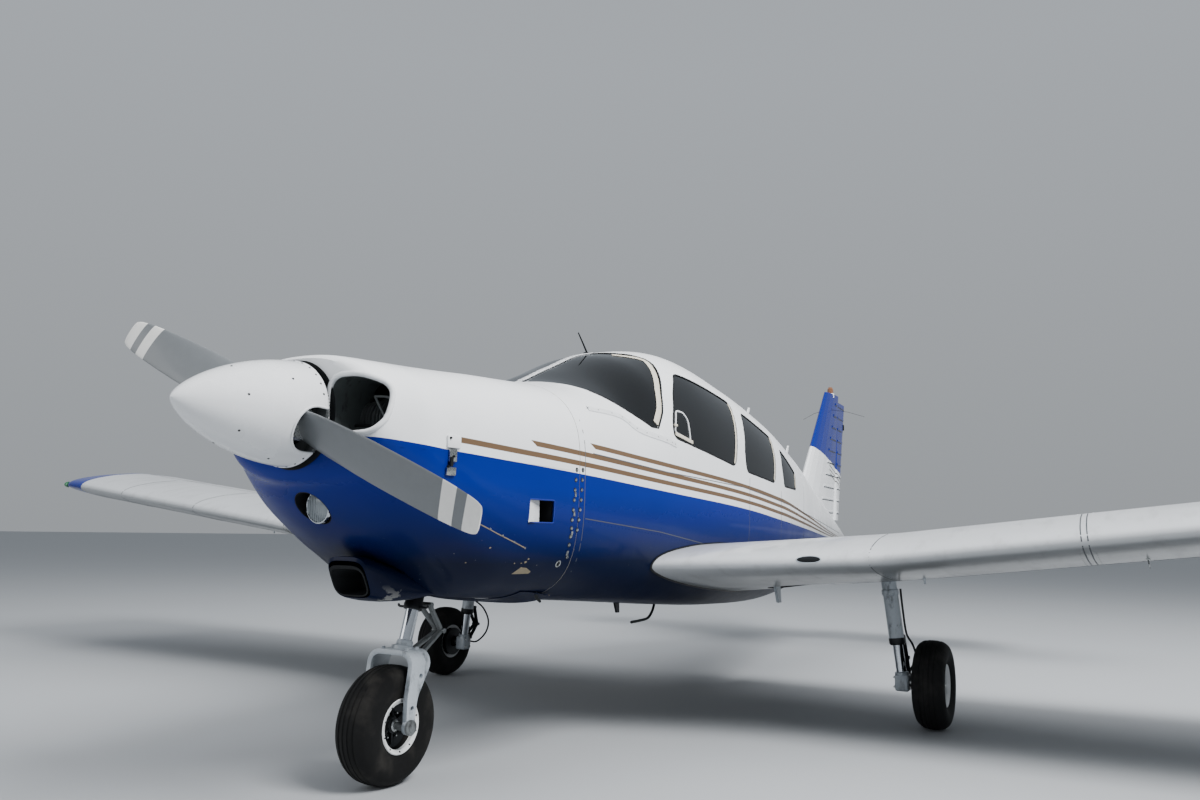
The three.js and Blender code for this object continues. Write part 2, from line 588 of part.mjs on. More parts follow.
function buildInterior() {
  const room = bodyLoft(between(CABIN_STATIONS, FIREWALL_Y + CABIN_WALL + SEAT, 3700), CABIN_WALL + SEAT);
  const panel = sidePrism(PANEL.outline, -PANEL.half, PANEL.half).intersect(room);
  const { y, z, wheelY, wheelZ, half, shaft, grip, hub } = YOKE;
  const yokes = [-YOKE.x, YOKE.x].flatMap((x) => [
    rod([x, y, z], [x, wheelY, z], shaft, shaft, 10),
    rod([x - half, wheelY, wheelZ], [x + half, wheelY, wheelZ], grip, grip, 10),
    rod([x, wheelY, z - hub], [x, wheelY, wheelZ], hub, hub, 10),
  ]);
  addPart('instrument_panel', mainBody(joined([panel, ...yokes])), 'dark');

  const { length, height, boxInset, boxFront, boxRear, back } = SEAT_FORM;
  const seat = ({ x0, x1, y: front, z: low }) => joined([
    box(x0 + boxInset, x1 - boxInset, front + boxFront, front + boxRear, FLOOR_Z + SEAT, low + 10),
    box(x0, x1, front, front + length, low, low + height),
    sidePrism(back.map(([dy, dz]) => [front + dy, low + dz]), x0, x1),
  ]);
  addPart('front_seat_port', seat(FRONT_SEAT), 'seat');
  addPart('front_seat_starboard', mirrored(seat(FRONT_SEAT)), 'seat');
  addPart('rear_bench', seat(REAR_BENCH), 'seat');
}

// Wings with flaps and ailerons

function foilLine(chord, thick) {
  const scale = thick / (chord * FOIL_THICK);
  const point = (x, z) => [x * chord, z * chord * scale - x * chord * Math.sin(WING.incidence)];
  const upper = FOIL.map(([x, top]) => point(x, top));
  const lower = FOIL.slice(1).reverse().map(([x, , bottom]) => point(x, bottom));
  return [...upper, ...lower];
}

function wingRing(span, leadY, chord, thick, rise = () => 0) {
  return foilLine(chord, thick).map(([y, z]) => (
    [WING.rootX + span, leadY + y, WING.rootZ + z + rise(y / chord)]));
}

// A wing section whose front part is drawn forward and lifted towards the root.
function gloveRing(span) {
  const out = Math.max(GLOVE.span - span, 0);
  const chord = WING.trailY - WING.leadY;
  const rise = (t) => (GLOVE.rise * out / GLOVE.span) * Math.max(0, 1 - t / GLOVE.riseEnd);
  const forward = (t) => out * GLOVE.sweep * Math.max(0, 1 - t / GLOVE.stretchEnd);
  return wingRing(span, WING.leadY, chord, WING.thick, rise)
    .map(([x, y, z]) => [x, y - forward((y - WING.leadY) / chord), z]);
}

// Height of the wing's upper and lower surface above its leading edge at a chord station.
function surfaceAt(y) {
  const chord = WING.trailY - WING.leadY;
  const t = (y - WING.leadY) / chord;
  const k = FOIL.findIndex((row) => row[0] >= t);
  const f = (t - FOIL[k - 1][0]) / (FOIL[k][0] - FOIL[k - 1][0]);
  const scale = WING.thick / FOIL_THICK;
  const mix = (c) => (FOIL[k - 1][c] + f * (FOIL[k][c] - FOIL[k - 1][c])) * scale;
  const drop = (y - WING.leadY) * Math.sin(WING.incidence);
  return [mix(1) - drop, mix(2) - drop];
}

// A hinged trailing piece: a round nose about the hinge line and a thin trailing edge.
function hingedRing(x, hinge, radius, trailY, trailZ) {
  const steps = 6;
  const arc = Array.from({ length: steps + 1 }, (_, i) => {
    const angle = Math.PI / 2 + (i / steps) * Math.PI;
    return [x, hinge.y + radius * Math.cos(angle), hinge.z + radius * Math.sin(angle)];
  });
  return [...arc, [x, trailY, trailZ - 2], [x, trailY, trailZ + 2]];
}

function raised(solid) {
  const geometry = toGeometry(solid).translate(-WING.rootX, 0, -WING.rootZ);
  geometry.rotateY(-WING.dihedral).translate(WING.rootX, 0, WING.rootZ);
  return toSolid(geometry);
}

function buildWings() {
  const tipRings = TIP_ROWS.map(([inboard, setback, loss, share]) => wingRing(
    WING_SPAN - inboard, WING.leadY + setback, WING.trailY - WING.leadY - loss, WING.thick * share,
    () => -TIP_DROP * (1 - share)));
  const panel = loft([gloveRing(-260), gloveRing(GLOVE.span), gloveRing(WING.tipStart)], 0);
  const tip = loft([gloveRing(WING.tipStart + SEAT), ...tipRings], 0);

  const [upper, lower] = surfaceAt(HINGE_Y);
  const hinge = { y: HINGE_Y, z: WING.rootZ + (upper + lower) / 2 };
  const noseRadius = (upper - lower) / 2;
  const trailZ = WING.rootZ - (WING.trailY - WING.leadY) * Math.sin(WING.incidence);
  const { half, round, pin } = WING_BRACKETS;
  const along = (s0, s1, radius, sides) => rod(
    [WING.rootX + s0, hinge.y, hinge.z], [WING.rootX + s1, hinge.y, hinge.z], radius, radius, sides);
  const across = (s, halfWidth, radius) => along(s - halfWidth, s + halfWidth, radius, 12);
  // Each bracket's arm stands in a slot of the moving piece, whose pin runs through its eye.
  const arm = (s) => box(WING.rootX + s - half, WING.rootX + s + half,
    hinge.y - noseRadius - CLEAR - 12, hinge.y, hinge.z - round, hinge.z + round)
    .add(across(s, half, round)).subtract(across(s, half + 1, pin + PIN_PLAY));
  const slotFor = (s) => box(WING.rootX + s - half - 6, WING.rootX + s + half + 6,
    hinge.y - 80, hinge.y + round + 6, hinge.z - 80, hinge.z + 80);
  const surface = ([s0, s1], stations) => {
    const blade = loft([s0, s1].map((s) => (
      hingedRing(WING.rootX + s, hinge, noseRadius, WING.trailY - 1, trailZ))), 0);
    const slotted = stations.reduce((solid, s) => solid.subtract(slotFor(s)), blade);
    return joined([slotted, ...stations.map((s) => across(s, half + 9, pin))]);
  };
  // The bay's lower lip ends ahead of the hinge line, clear of the skin of a lowered flap.
  const lip = Math.sqrt((noseRadius + CLEAR) ** 2 - noseRadius ** 2);
  const bay = (s0, s1) => joined([
    along(s0, s1, noseRadius + CLEAR, 28),
    box(WING.rootX + s0, WING.rootX + s1, hinge.y, WING.trailY + 50, hinge.z - 150, hinge.z + 150),
    box(WING.rootX + s0, WING.rootX + s1, hinge.y - lip, hinge.y + 1, hinge.z - 150, hinge.z - noseRadius),
  ]);

  const well = rod([WELL.x, MAIN.y, 560], [WELL.x, MAIN.y, WELL.topZ], WELL.radius, WELL.radius, 32);
  const slot = box(WELL.x, WELL.slotEnd, MAIN.y - WELL.slotHalf, MAIN.y + WELL.slotHalf, 560, WELL.slotZ);
  const flat = panel.subtract(bay(FLAP_SPAN[0] - 300, FLAP_SPAN[1] + CLEAR))
    .subtract(bay(AILERON_SPAN[0] - CLEAR, AILERON_SPAN[1] + CLEAR)).subtract(well).subtract(slot);
  const arms = [...WING_BRACKETS.flap, ...WING_BRACKETS.aileron].map(arm);
  const body = bodyLoft(between(CABIN_STATIONS, 530, 3790), -SEAT);
  const pieces = {
    wing: [mainBody(raised(joined([flat, ...arms])).subtract(body)), 'silver'],
    wing_tip: [raised(tip), 'blue'],
    flap: [raised(surface(FLAP_SPAN, WING_BRACKETS.flap)), 'silver'],
    aileron: [raised(surface(AILERON_SPAN, WING_BRACKETS.aileron)), 'silver'],
  };
  Object.entries(pieces).forEach(([name, [solid, paint]]) => {
    addPart(`${name}_port`, solid, paint);
    addPart(`${name}_starboard`, mirrored(solid), paint);
  });
}

// Fin, rudder and stabilator

function symmetricFoil(leadY, trailY, thick) {
  // Chord share and half-thickness share of a symmetric section
  const rows = [
    [0, 0], [0.015, 0.3], [0.06, 0.6], [0.16, 0.88], [0.3, 1], [0.5, 0.88], [0.75, 0.5], [1, 0.04],
  ];
  const chord = trailY - leadY;
  const side = rows.map(([t, h]) => [leadY + t * chord, (h * thick) / 2]);
  return [...side, ...side.slice(1).reverse().map(([y, h]) => [y, -h])];
}

function buildFin() {
  const lean = (RUDDER_HINGE.topY - RUDDER_HINGE.bottomY) / (RUDDER_HINGE.topZ - RUDDER_HINGE.bottomZ);
  const hingeAt = (z) => RUDDER_HINGE.bottomY + (z - RUDDER_HINGE.bottomZ) * lean;
  const mix = (a, b, z) => a + ((b - a) * (z - FIN.rootZ)) / (FIN.topZ - FIN.rootZ);
  const leadAt = (z) => mix(FIN.rootLeadY, FIN.topLeadY, z);
  const trailLean = (RUDDER_TRAIL.topY - RUDDER_TRAIL.bottomY) / (RUDDER_TRAIL.topZ - RUDDER_HINGE.bottomZ);
  const trailAt = (z) => RUDDER_TRAIL.bottomY + (z - RUDDER_HINGE.bottomZ) * trailLean;
  const thickAt = (z) => mix(FIN.rootThick, FIN.topThick, z);
  const noseAt = (z) => thickAt(z) * 0.29;

  const finRing = (z) => symmetricFoil(leadAt(z), trailAt(z), thickAt(z)).map(([y, x]) => [x, y, z]);
  const roundRing = (z, radius) => {
    const arc = Array.from({ length: 7 }, (_, i) => {
      const angle = Math.PI / 2 + (i / 6) * Math.PI;
      return [radius * Math.sin(angle), hingeAt(z) + radius * Math.cos(angle), z];
    });
    return arc;
  };
  const low = RUDDER_HINGE.bottomZ;
  const rudderRing = (z, trailY) => [...roundRing(z, noseAt(z)), [-2, trailY, z], [2, trailY, z]];
  const bayRing = (z) => [...roundRing(z, noseAt(z) + CLEAR), [-120, 6900, z], [120, 6900, z]];
  const body = bodyLoft(between(TAIL_STATIONS, BULKHEAD_Y + 100, 6320), -SEAT);
  const fin = loft([finRing(FIN.rootZ), finRing(FIN.topZ)], 2);
  const bay = loft([bayRing(900), bayRing(2400)], 2);
  addPart('fin', mainBody(fin.subtract(bay).subtract(body)), 'white');
  const blade = loft([rudderRing(low, trailAt(low)), rudderRing(RUDDER_TRAIL.topZ, TAIL_END_Y)], 2);
  addPart('rudder', joined([blade, rudderPin(0)]), 'blue');
  const beaconY = (FIN.topLeadY + hingeAt(FIN.topZ)) / 2;
  const beacon = [[0, 0], [30, 0], [30, 16], [27, 52], [18, 68], [0, 74]];
  const lamp = toSolid(new THREE.LatheGeometry(beacon.map(([r, h]) => new THREE.Vector2(r, h)), 16)
    .rotateX(Math.PI / 2).translate(0, beaconY, FIN.topZ + SEAT));
  addPart('beacon', lamp, 'lamp');
}

function buildStabilator() {
  const { z, leadY, chord, halfSpan, rootX, thick, pivotY, spar } = STABILATOR;
  const ring = (x, lead, trail, t) => symmetricFoil(lead, trail, t).map(([y, h]) => [x, y, z + h]);
  const trail = leadY + chord;
  const half = loft([
    ring(rootX, leadY, trail, thick), ring(halfSpan - 90, leadY, trail, thick),
    ring(halfSpan - 25, leadY + 25, trail - 10, thick * 0.75),
    ring(halfSpan, leadY + 80, trail - 40, thick * 0.3),
  ], 0);
  const notch = box(0, 232, pivotY + 120, trail + 20, z - 100, z + 100);
  const side = half.subtract(notch);
  const tube = rod([-rootX - 30, pivotY, z], [rootX + 30, pivotY, z], spar);
  addPart('stabilator', joined([side, mirrored(side), tube]), 'silver');
}

// Wheels and legs

function tyreProfile(rim) {
  const right = [[rim, 52], [rim + 24, 66], [150, TYRE.half], [196, 72], [214, 50], [TYRE.radius, 18]];
  return [...right, ...right.map(([r, x]) => [r, -x]).reverse(), right[0]];
}

function buildWheel(name, centre, rim, outward, disc) {
  addPart(`${name}_tyre`, turned(tyreProfile(rim + SEAT), centre, 'x', WHEEL_SEGMENTS), 'rubber');
  const flange = [
    [16, -42], [62, -34], [rim - 18, -48], [rim, -52], [rim, 52], [rim - 18, 48], [62, 34], [16, 42],
  ];
  const inner = disc ? [[16, -78], [88, -78], [88, -70], [40, -70], [40, -42], [62, -34]] : flange.slice(0, 2);
  const profile = [...inner, ...flange.slice(2), inner[0]].map(([r, x]) => [r, x * outward]);
  addPart(`${name}_hub`, turned(profile, centre, 'x', WHEEL_SEGMENTS), 'silver');
}

// The nose wheel's fork: a bent plate with round shoulders whose arms narrow down to the axle.
function noseFork() {
  const { half, thick, top, round } = FORK;
  const hoop = (margin) => {
    const side = half - margin;
    const corners = [[-side, 100], [-side, top - margin], [side, top - margin], [side, 100]];
    return frontPrism(rounded(corners, round - margin, 5), -200, 300);
  };
  return hoop(0).subtract(hoop(thick)).intersect(sidePrism(FORK.side, -half, half));
}

function buildNoseGear() {
  const along = (d, x = 0) => [x, d * Math.sin(NOSE.rake), TYRE.radius + d * Math.cos(NOSE.rake)];
  buildWheel('nose', [0, 0, TYRE.radius], NOSE.rim, 1, false);
  const boss = (side) => rod(
    [side * 60, 0, TYRE.radius], [side * (FORK.half + 10), 0, TYRE.radius], FORK.boss, FORK.boss, 14);
  const { piston, strut, pivot, axleRadius, link, elbow } = NOSE;
  addPart('nose_leg', joined([
    rod(along(262), along(450), piston), rod(along(443), along(560), strut),
    rod(along(555), along(655), pivot),
    rod([-FORK.half, 0, TYRE.radius], [FORK.half, 0, TYRE.radius], axleRadius, axleRadius, 12),
    noseFork(), boss(1), boss(-1),
    rod([0, 100, 484], elbow, link, link, 8), rod(elbow, [0, 160, 662], link, link, 8),
  ]), 'white');
  // The mount's tubes run from the firewall to the leg's collar and to the engine's back.
  const { x: backX, y: backY, lowZ, highZ, tube } = MOUNT;
  const sides = [-1, 1].flatMap((side) => {
    const foot = [side * 190, FIREWALL_Y - 30, 860];
    const low = [side * backX, backY + 14, lowZ];
    const high = [side * backX, backY + 14, highZ];
    const bar = (from, to) => rod(from, to, tube, tube, 10);
    const padAt = ([x, y0, z], y1) => box(x - 26, x + 26, y0, y1, z - 26, z + 26);
    return [
      bar(along(607, side * 30), foot), bar(foot, low), bar(low, high),
      bar(high, [side * 285, FIREWALL_Y - 25, 1440]), bar(low, [0, backY + 14, lowZ]),
      padAt([foot[0], FIREWALL_Y - 45, foot[2]], FIREWALL_Y - SEAT),
      padAt([side * 285, FIREWALL_Y - 40, 1440], FIREWALL_Y - SEAT),
      padAt([low[0], backY + SEAT, lowZ], backY + 28), padAt([high[0], backY + SEAT, highZ], backY + 28),
    ];
  });
  const collar = rod(along(575), along(640), 48);
  const bore = rod(along(500), along(700), 24 + PIN_PLAY);
  addPart('nose_gear_mount', joined([collar, ...sides]).subtract(bore), 'steel');
}

function buildMainGear() {
  const { x, y, legX, rim, tube, piston, axle, link, tubeLow } = MAIN;
  const z = TYRE.radius;
  const elbow = [legX, y + 110, z + 108];
  const calliperX = x - TYRE.half - 20;
  const slotHalf = WELL.slotHalf - SEAT;
  const leg = joined([
    rod([legX, y, tubeLow], [legX, y, 790], tube),
    rod([legX + 6, y, z + 40], [legX, y, tubeLow + 10], piston),
    box(legX - 34, legX + 46, y - 42, y + 42, z - 40, z + 55),
    rod([legX, y, z], [x + 40, y, z], axle, axle, 12),
    rod([legX, y + 30, z + 40], elbow, link, link, 8), rod(elbow, [legX, y + 30, z + 235], link, link, 8),
    raised(box(legX - 50, legX + 56, y - slotHalf, y + slotHalf, 650, WELL.slotZ - SEAT)),
    box(calliperX - 52, calliperX, y + 40, y + 90, z - 30, z + 30),
  ]);
  addPart('main_leg_port', mainBody(leg), 'silver');
  addPart('main_leg_starboard', mirrored(mainBody(leg)), 'silver');
  buildWheel('main_port', [x, y, TYRE.radius], rim, 1, true);
  buildWheel('main_starboard', [-x, y, TYRE.radius], rim, -1, true);
}

buildCabin();
buildTailCone();
buildCowl();
buildPropeller();
buildInterior();
buildWings();
buildFin();
buildStabilator();
buildNoseGear();
buildMainGear();

// The origin is below the middle of the whole length.
part.position.set(0, -(SPINNER_TIP_Y + TAIL_END_Y) / 2, 0);

export default part;
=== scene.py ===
import bisect
import math

import bmesh
import bpy
from bpy.props import FloatProperty, FloatVectorProperty, IntProperty, PointerProperty
from mathutils import Matrix, Vector


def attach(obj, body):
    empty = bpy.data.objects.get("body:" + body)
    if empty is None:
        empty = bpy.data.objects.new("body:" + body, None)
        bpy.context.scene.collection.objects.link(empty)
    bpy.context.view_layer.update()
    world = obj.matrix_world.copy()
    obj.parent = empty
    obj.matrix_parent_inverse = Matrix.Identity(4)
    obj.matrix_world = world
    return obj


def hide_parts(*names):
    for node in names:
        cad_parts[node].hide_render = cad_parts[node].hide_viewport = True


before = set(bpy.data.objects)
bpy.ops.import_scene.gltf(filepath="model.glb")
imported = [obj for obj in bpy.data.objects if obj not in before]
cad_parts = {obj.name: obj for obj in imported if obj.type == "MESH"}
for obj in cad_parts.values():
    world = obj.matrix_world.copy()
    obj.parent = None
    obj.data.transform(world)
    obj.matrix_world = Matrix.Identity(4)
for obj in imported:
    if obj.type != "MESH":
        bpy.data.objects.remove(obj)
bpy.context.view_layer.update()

bl_info = {
    "name": "Light aircraft",
    "version": (1, 0, 0),
    "blender": (4, 5, 0),
    "location": "View3D > Sidebar > Aircraft",
    "description": "Dresses a four-seat low-wing aircraft with skins, glass, gear, cabin and paint",
    "category": "Add Mesh",
}

TAU = 2 * math.pi
SIDES = ((1, "port"), (-1, "starboard"))

# Stations run along Y in metres from the nose wheel's axle towards the tail
AXLE_Y = -2.795

# Hull columns: station, half width, belt height, top, keel, upper and lower squareness
HULL_ROWS = (
    (-0.550, 0.330, 1.335, 1.556, 1.165, 2.4, 2.2),
    (-0.525, 0.366, 1.322, 1.568, 1.127, 2.5, 2.3),
    (-0.480, 0.384, 1.304, 1.571, 1.100, 2.6, 2.4),
    (-0.430, 0.402, 1.285, 1.572, 1.044, 2.7, 2.5),
    (-0.330, 0.440, 1.258, 1.575, 0.952, 2.7, 2.6),
    (-0.240, 0.452, 1.246, 1.579, 0.892, 2.7, 2.8),
    (-0.120, 0.474, 1.236, 1.585, 0.830, 2.7, 3.2),
    (0.150, 0.500, 1.228, 1.602, 0.701, 2.8, 3.5),
    (0.520, 0.530, 1.225, 1.623, 0.676, 2.8, 3.8),
    (0.760, 0.545, 1.240, 1.658, 0.660, 2.6, 4.0),
    (1.050, 0.558, 1.270, 1.770, 0.640, 2.05, 4.0),
    (1.400, 0.570, 1.300, 1.903, 0.615, 2.2, 4.0),
    (1.900, 0.576, 1.300, 1.990, 0.578, 2.35, 4.0),
    (2.500, 0.568, 1.300, 1.925, 0.543, 2.4, 4.0),
    (3.100, 0.543, 1.290, 1.825, 0.528, 2.35, 4.0),
    (3.800, 0.466, 1.240, 1.682, 0.552, 2.2, 3.6),
    (4.600, 0.346, 1.130, 1.493, 0.620, 2.1, 3.0),
    (5.400, 0.217, 1.030, 1.290, 0.690, 2.1, 2.6),
    (6.000, 0.123, 0.960, 1.128, 0.752, 2.1, 2.4),
    (6.320, 0.074, 0.930, 1.030, 0.800, 2.0, 2.2),
)
NOSE_END = -0.550
FIREWALL = 0.520
BULKHEAD = 3.800
CONE_END = 6.320
FLOOR_Z = 0.730
# Line that parts the upper and lower cowl: height at two stations
COWL_SPLIT = ((-0.700, 1.245), (0.600, 1.214))

# Outlines seen from the side: station and height of each corner
WINDSHIELD = (
    (0.760, 1.668), (0.870, 1.615), (0.993, 1.562), (1.094, 1.514), (1.190, 1.474), (1.245, 1.474),
    (1.327, 1.557), (1.405, 1.664), (1.527, 1.785), (1.597, 1.860), (1.607, 1.893), (1.575, 1.918),
    (1.480, 1.926), (1.400, 2.060), (0.700, 2.060),
)
WINDOWS = {
    "front": ((1.388, 1.442), (2.185, 1.352), (2.270, 1.560), (2.352, 1.742), (1.700, 1.824), (1.530, 1.684),
              (1.404, 1.520)),
    "middle": ((2.370, 1.334), (2.915, 1.297), (2.958, 1.430), (3.006, 1.600), (2.500, 1.700), (2.424, 1.600),
               (2.354, 1.440)),
    "rear": ((3.135, 1.286), (3.482, 1.280), (3.500, 1.395), (3.150, 1.532), (3.104, 1.410)),
}
WINDOW_ROUND = {"front": 0.050, "middle": 0.045, "rear": 0.030}
STORM_WINDOW = ((1.406, 1.470), (1.572, 1.442), (1.582, 1.552), (1.548, 1.586), (1.478, 1.588))
CABIN_DOOR = ((1.350, 0.985), (2.260, 0.985), (2.275, 1.340), (2.405, 1.780), (1.672, 1.866), (1.450, 1.662),
              (1.372, 1.550), (1.352, 1.440))
BAGGAGE_DOOR = ((2.700, 0.892), (3.240, 0.886), (3.215, 1.225), (2.700, 1.250))
# Cooling inlet as its rolled lip leaves it, seen from the front: x and height
INLET_LOOK = ((0.156, 1.278), (0.376, 1.282), (0.380, 1.418), (0.326, 1.484), (0.156, 1.486))
# Side vent of the cowl: first and last station, low and high edge
VENT = (0.190, 0.350, 1.000, 1.090)
# Landing light in the chin: station, height, downward tilt and radius
LAMP = {"y": -0.390, "z": 1.034, "tilt": math.radians(30), "radius": 0.072}
# Air scoop columns: station, half width, low and high edge
SCOOP_ROWS = ((-0.273, 0.096, 0.704, 0.860), (-0.150, 0.112, 0.692, 0.840), (0.000, 0.122, 0.692, 0.790),
              (0.110, 0.126, 0.706, 0.740))

# Paint edges: station and height
BLUE_TOP = (
    (-0.600, 1.272), (-0.450, 1.262), (-0.270, 1.246), (0.458, 1.211), (1.241, 1.170), (2.363, 1.116),
    (3.150, 1.061), (4.200, 1.003), (5.300, 0.955), (6.330, 0.930),
)
STRIPE_STARTS = (-0.249, 0.145, 0.525)
# Fin paint edge: height at the leading edge, its station, and how fast it drops towards the tail
FIN_EDGE = (1.762, 5.544, 0.228)

# Wing panel in its flat frame, turned up by the dihedral about its root point
WING = {
    "root_x": 0.600, "root_z": 0.748, "dihedral": math.radians(7), "incidence": math.radians(2),
    "lead": 1.600, "trail": 3.200, "thick": 0.240, "glove": 0.900, "sweep": 0.40, "sweep_end": 0.40,
    "lift": 0.075, "lift_end": 0.65, "tip": 4.030, "half_span": 4.905,
}
WING_SPAN = (WING["half_span"] - WING["root_x"]) / math.cos(WING["dihedral"])
# Aerofoil columns: chord, upper and lower heights, in parts of the chord
FOIL_ROWS = (
    (0.0, 0.0, 0.0), (0.008, 0.017, -0.012), (0.035, 0.034, -0.022), (0.1, 0.056, -0.035),
    (0.2, 0.078, -0.046), (0.35, 0.0945, -0.0533), (0.5, 0.0937, -0.0496), (0.65, 0.0746, -0.0334),
    (0.8, 0.0445, -0.0126), (0.9, 0.0218, -0.0011), (1.0, 0.0015, -0.0015),
)
FOIL_THICK = 0.148
# Tip columns: distance in from the end, setback of the leading edge, chord loss, share of the thickness
TIP_ROWS = (
    (0.000, 0.190, 0.360, 0.14), (0.012, 0.130, 0.240, 0.34), (0.050, 0.060, 0.110, 0.60),
    (0.130, 0.012, 0.025, 0.86), (0.275, 0.000, 0.000, 1.00),
)
FLAP_SPAN = (-0.035, 2.290)
AILERON_SPAN = (2.303, 4.012)
WING_HINGE = 2.925
CLEAR = 0.007
WELL = {"x": 0.950, "radius": 0.250, "top": 0.765, "slot_end": 1.480, "slot_half": 0.070, "slot_top": 0.735}

# Fin and rudder: heights and stations
FIN = {"root_z": 1.000, "top_z": 2.330, "root_lead": 4.840, "top_lead": 5.975, "root_thick": 0.140,
       "top_thick": 0.066}
RUDDER = {"low": 6.158, "high": 6.338, "low_z": 1.122, "high_z": 2.330, "trail_low": 6.350,
          "trail_high": 6.640, "tip_z": 2.275}
# Symmetric section: chord share and half-thickness share
EVEN_FOIL = ((0.0, 0.0), (0.015, 0.3), (0.06, 0.6), (0.16, 0.88), (0.3, 1.0), (0.5, 0.88), (0.75, 0.5),
             (1.0, 0.04))
STABILATOR = {"z": 0.930, "lead": 5.745, "chord": 0.745, "half": 1.960, "root": 0.172, "thick": 0.074,
              "pivot": 5.940}

# Propeller and gear
PROP = {"y": -0.617, "z": 1.353, "radius": 0.935, "angle": math.radians(-22.6), "spinner": 0.185,
        "base": -0.5753, "tip": -1.0497}
# Blade columns: radius, chord, thickness, pitch in degrees
BLADE_ROWS = (
    (0.060, 0.090, 0.070, 50), (0.150, 0.158, 0.050, 42), (0.240, 0.176, 0.036, 38),
    (0.400, 0.172, 0.025, 31), (0.640, 0.156, 0.017, 24), (0.840, 0.130, 0.012, 18),
    (0.910, 0.110, 0.009, 16), (0.935, 0.094, 0.006, 15),
)
TYRE = {"radius": 0.2225, "half": 0.080}
NOSE_RAKE = math.radians(16)
FORK = {"half": 0.114, "thick": 0.020, "top": 0.502, "round": 0.066}
FORK_SIDE = ((-0.018, 0.212), (0.020, 0.212), (0.042, 0.330), (0.108, 0.440), (0.112, 0.520), (0.004, 0.520),
             (0.000, 0.440), (-0.018, 0.330))
MAIN = {"x": 1.590, "y": 2.360, "leg": 1.392, "tube_low": 0.430}

# Cabin: panel outline and seat form as station and height
PANEL = ((0.800, 1.560), (1.010, 1.585), (1.010, 1.150), (0.985, 1.150), (0.975, 1.540), (0.800, 1.545))
YOKE = {"x": 0.250, "y": 1.000, "z": 1.300, "wheel_y": 1.200, "half": 0.130}
SEATS = {"front_seat_port": (0.040, 0.480, 1.560, 0.950),
         "front_seat_starboard": (-0.480, -0.040, 1.560, 0.950), "rear_bench": (-0.430, 0.430, 2.560, 0.930)}


# Numbers and shapes


def linear(hex_colour):
    """An sRGB hex value as linear RGBA."""
    channels = [int(hex_colour[i:i + 2], 16) / 255 for i in (1, 3, 5)]
    return [c / 12.92 if c <= 0.04045 else ((c + 0.055) / 1.055) ** 2.4 for c in channels] + [1.0]


def monotone(points):
    """A smooth curve through (x, y) points that never overshoots between them."""
    xs = [p[0] for p in points]
    ys = [p[1] for p in points]
    widths = [b - a for a, b in zip(xs, xs[1:])]
    slopes = [(b - a) / w for a, b, w in zip(ys, ys[1:], widths)]
    inner = [0.0 if a * b <= 0 else 2 * a * b / (a + b) for a, b in zip(slopes, slopes[1:])]
    tangents = [slopes[0]] + inner + [slopes[-1]]

    def value(x):
        i = max(0, min(len(widths) - 1, bisect.bisect_right(xs, x) - 1))
        w = widths[i]
        t = min(1.0, max(0.0, (x - xs[i]) / w))
        a = (1 + 2 * t) * (1 - t) ** 2 * ys[i] + t * (1 - t) ** 2 * w * tangents[i]
        return a + t * t * (3 - 2 * t) * ys[i + 1] + t * t * (t - 1) * w * tangents[i + 1]

    return value


def columns(rows):
    """One smooth curve for each column after the first."""
    return [monotone([(row[0], row[c]) for row in rows]) for c in range(1, len(rows[0]))]


def line_at(ends, x):
    (x0, z0), (x1, z1) = ends
    return z0 + (x - x0) * (z1 - z0) / (x1 - x0)


def power(value, exponent):
    """A power that keeps the sign."""
    return math.copysign(abs(value) ** exponent, value)


def smooth_path(points, steps=6, loop=False):
    """A curve through points, for cords, lips and bent tubes."""
    points = [Vector(p) for p in points]
    count = len(points)
    at = (lambda i: points[i % count]) if loop else (lambda i: points[max(0, min(count - 1, i))])
    result = []
    for i in range(count if loop else count - 1):
        a, b = at(i), at(i + 1)
        m0, m1 = (b - at(i - 1)) / 2, (at(i + 2) - a) / 2
        for k in range(steps):
            t = k / steps
            result.append(a * (2 * t ** 3 - 3 * t ** 2 + 1) + m0 * (t ** 3 - 2 * t ** 2 + t)
                          + b * (3 * t ** 2 - 2 * t ** 3) + m1 * (t ** 3 - t ** 2))
    return result if loop else result + [points[-1]]


def rounded(outline, radius, steps=6):
    """An outline with its corners turned into short curves."""
    points = [Vector(p) for p in outline]
    result = []
    for i, corner in enumerate(points):
        before = points[i - 1] - corner
        after = points[(i + 1) % len(points)] - corner
        start = corner + before.normalized() * min(radius, before.length * 0.49)
        end = corner + after.normalized() * min(radius, after.length * 0.49)
        for k in range(steps + 1):
            t = k / steps
            result.append(start * (1 - t) ** 2 + corner * 2 * t * (1 - t) + end * t * t)
    return result


def grown(outline, margin):
    """An outline moved outwards by a margin, corners kept."""
    points = [Vector(p) for p in outline]
    area = sum(a.x * b.y - b.x * a.y for a, b in zip(points, points[1:] + points[:1]))
    sign = 1 if area > 0 else -1
    result = []
    for i, corner in enumerate(points):
        before = (corner - points[i - 1]).normalized()
        after = (points[(i + 1) % len(points)] - corner).normalized()
        normal_a = Vector((before.y, -before.x)) * sign
        normal_b = Vector((after.y, -after.x)) * sign
        bisector = (normal_a + normal_b).normalized()
        result.append(corner + bisector * (margin / bisector.dot(normal_b)))
    return result


def spread(outline, spacing, loop=True):
    """Points along an outline at an even spacing."""
    points = [Vector(p) for p in outline]
    ends = points[1:] + points[:1] if loop else points[1:]
    result = []
    for a, b in zip(points, ends):
        count = max(1, math.ceil((b - a).length / spacing))
        result += [a.lerp(b, k / count) for k in range(count)]
    return result if loop else result + [points[-1]]


def span_of(start, end, spacing):
    """Evenly spaced values from start to end."""
    count = max(1, round(abs(end - start) / spacing))
    return [start + (end - start) * k / count for k in range(count + 1)]


# Hull surface

HULL = columns(HULL_ROWS)


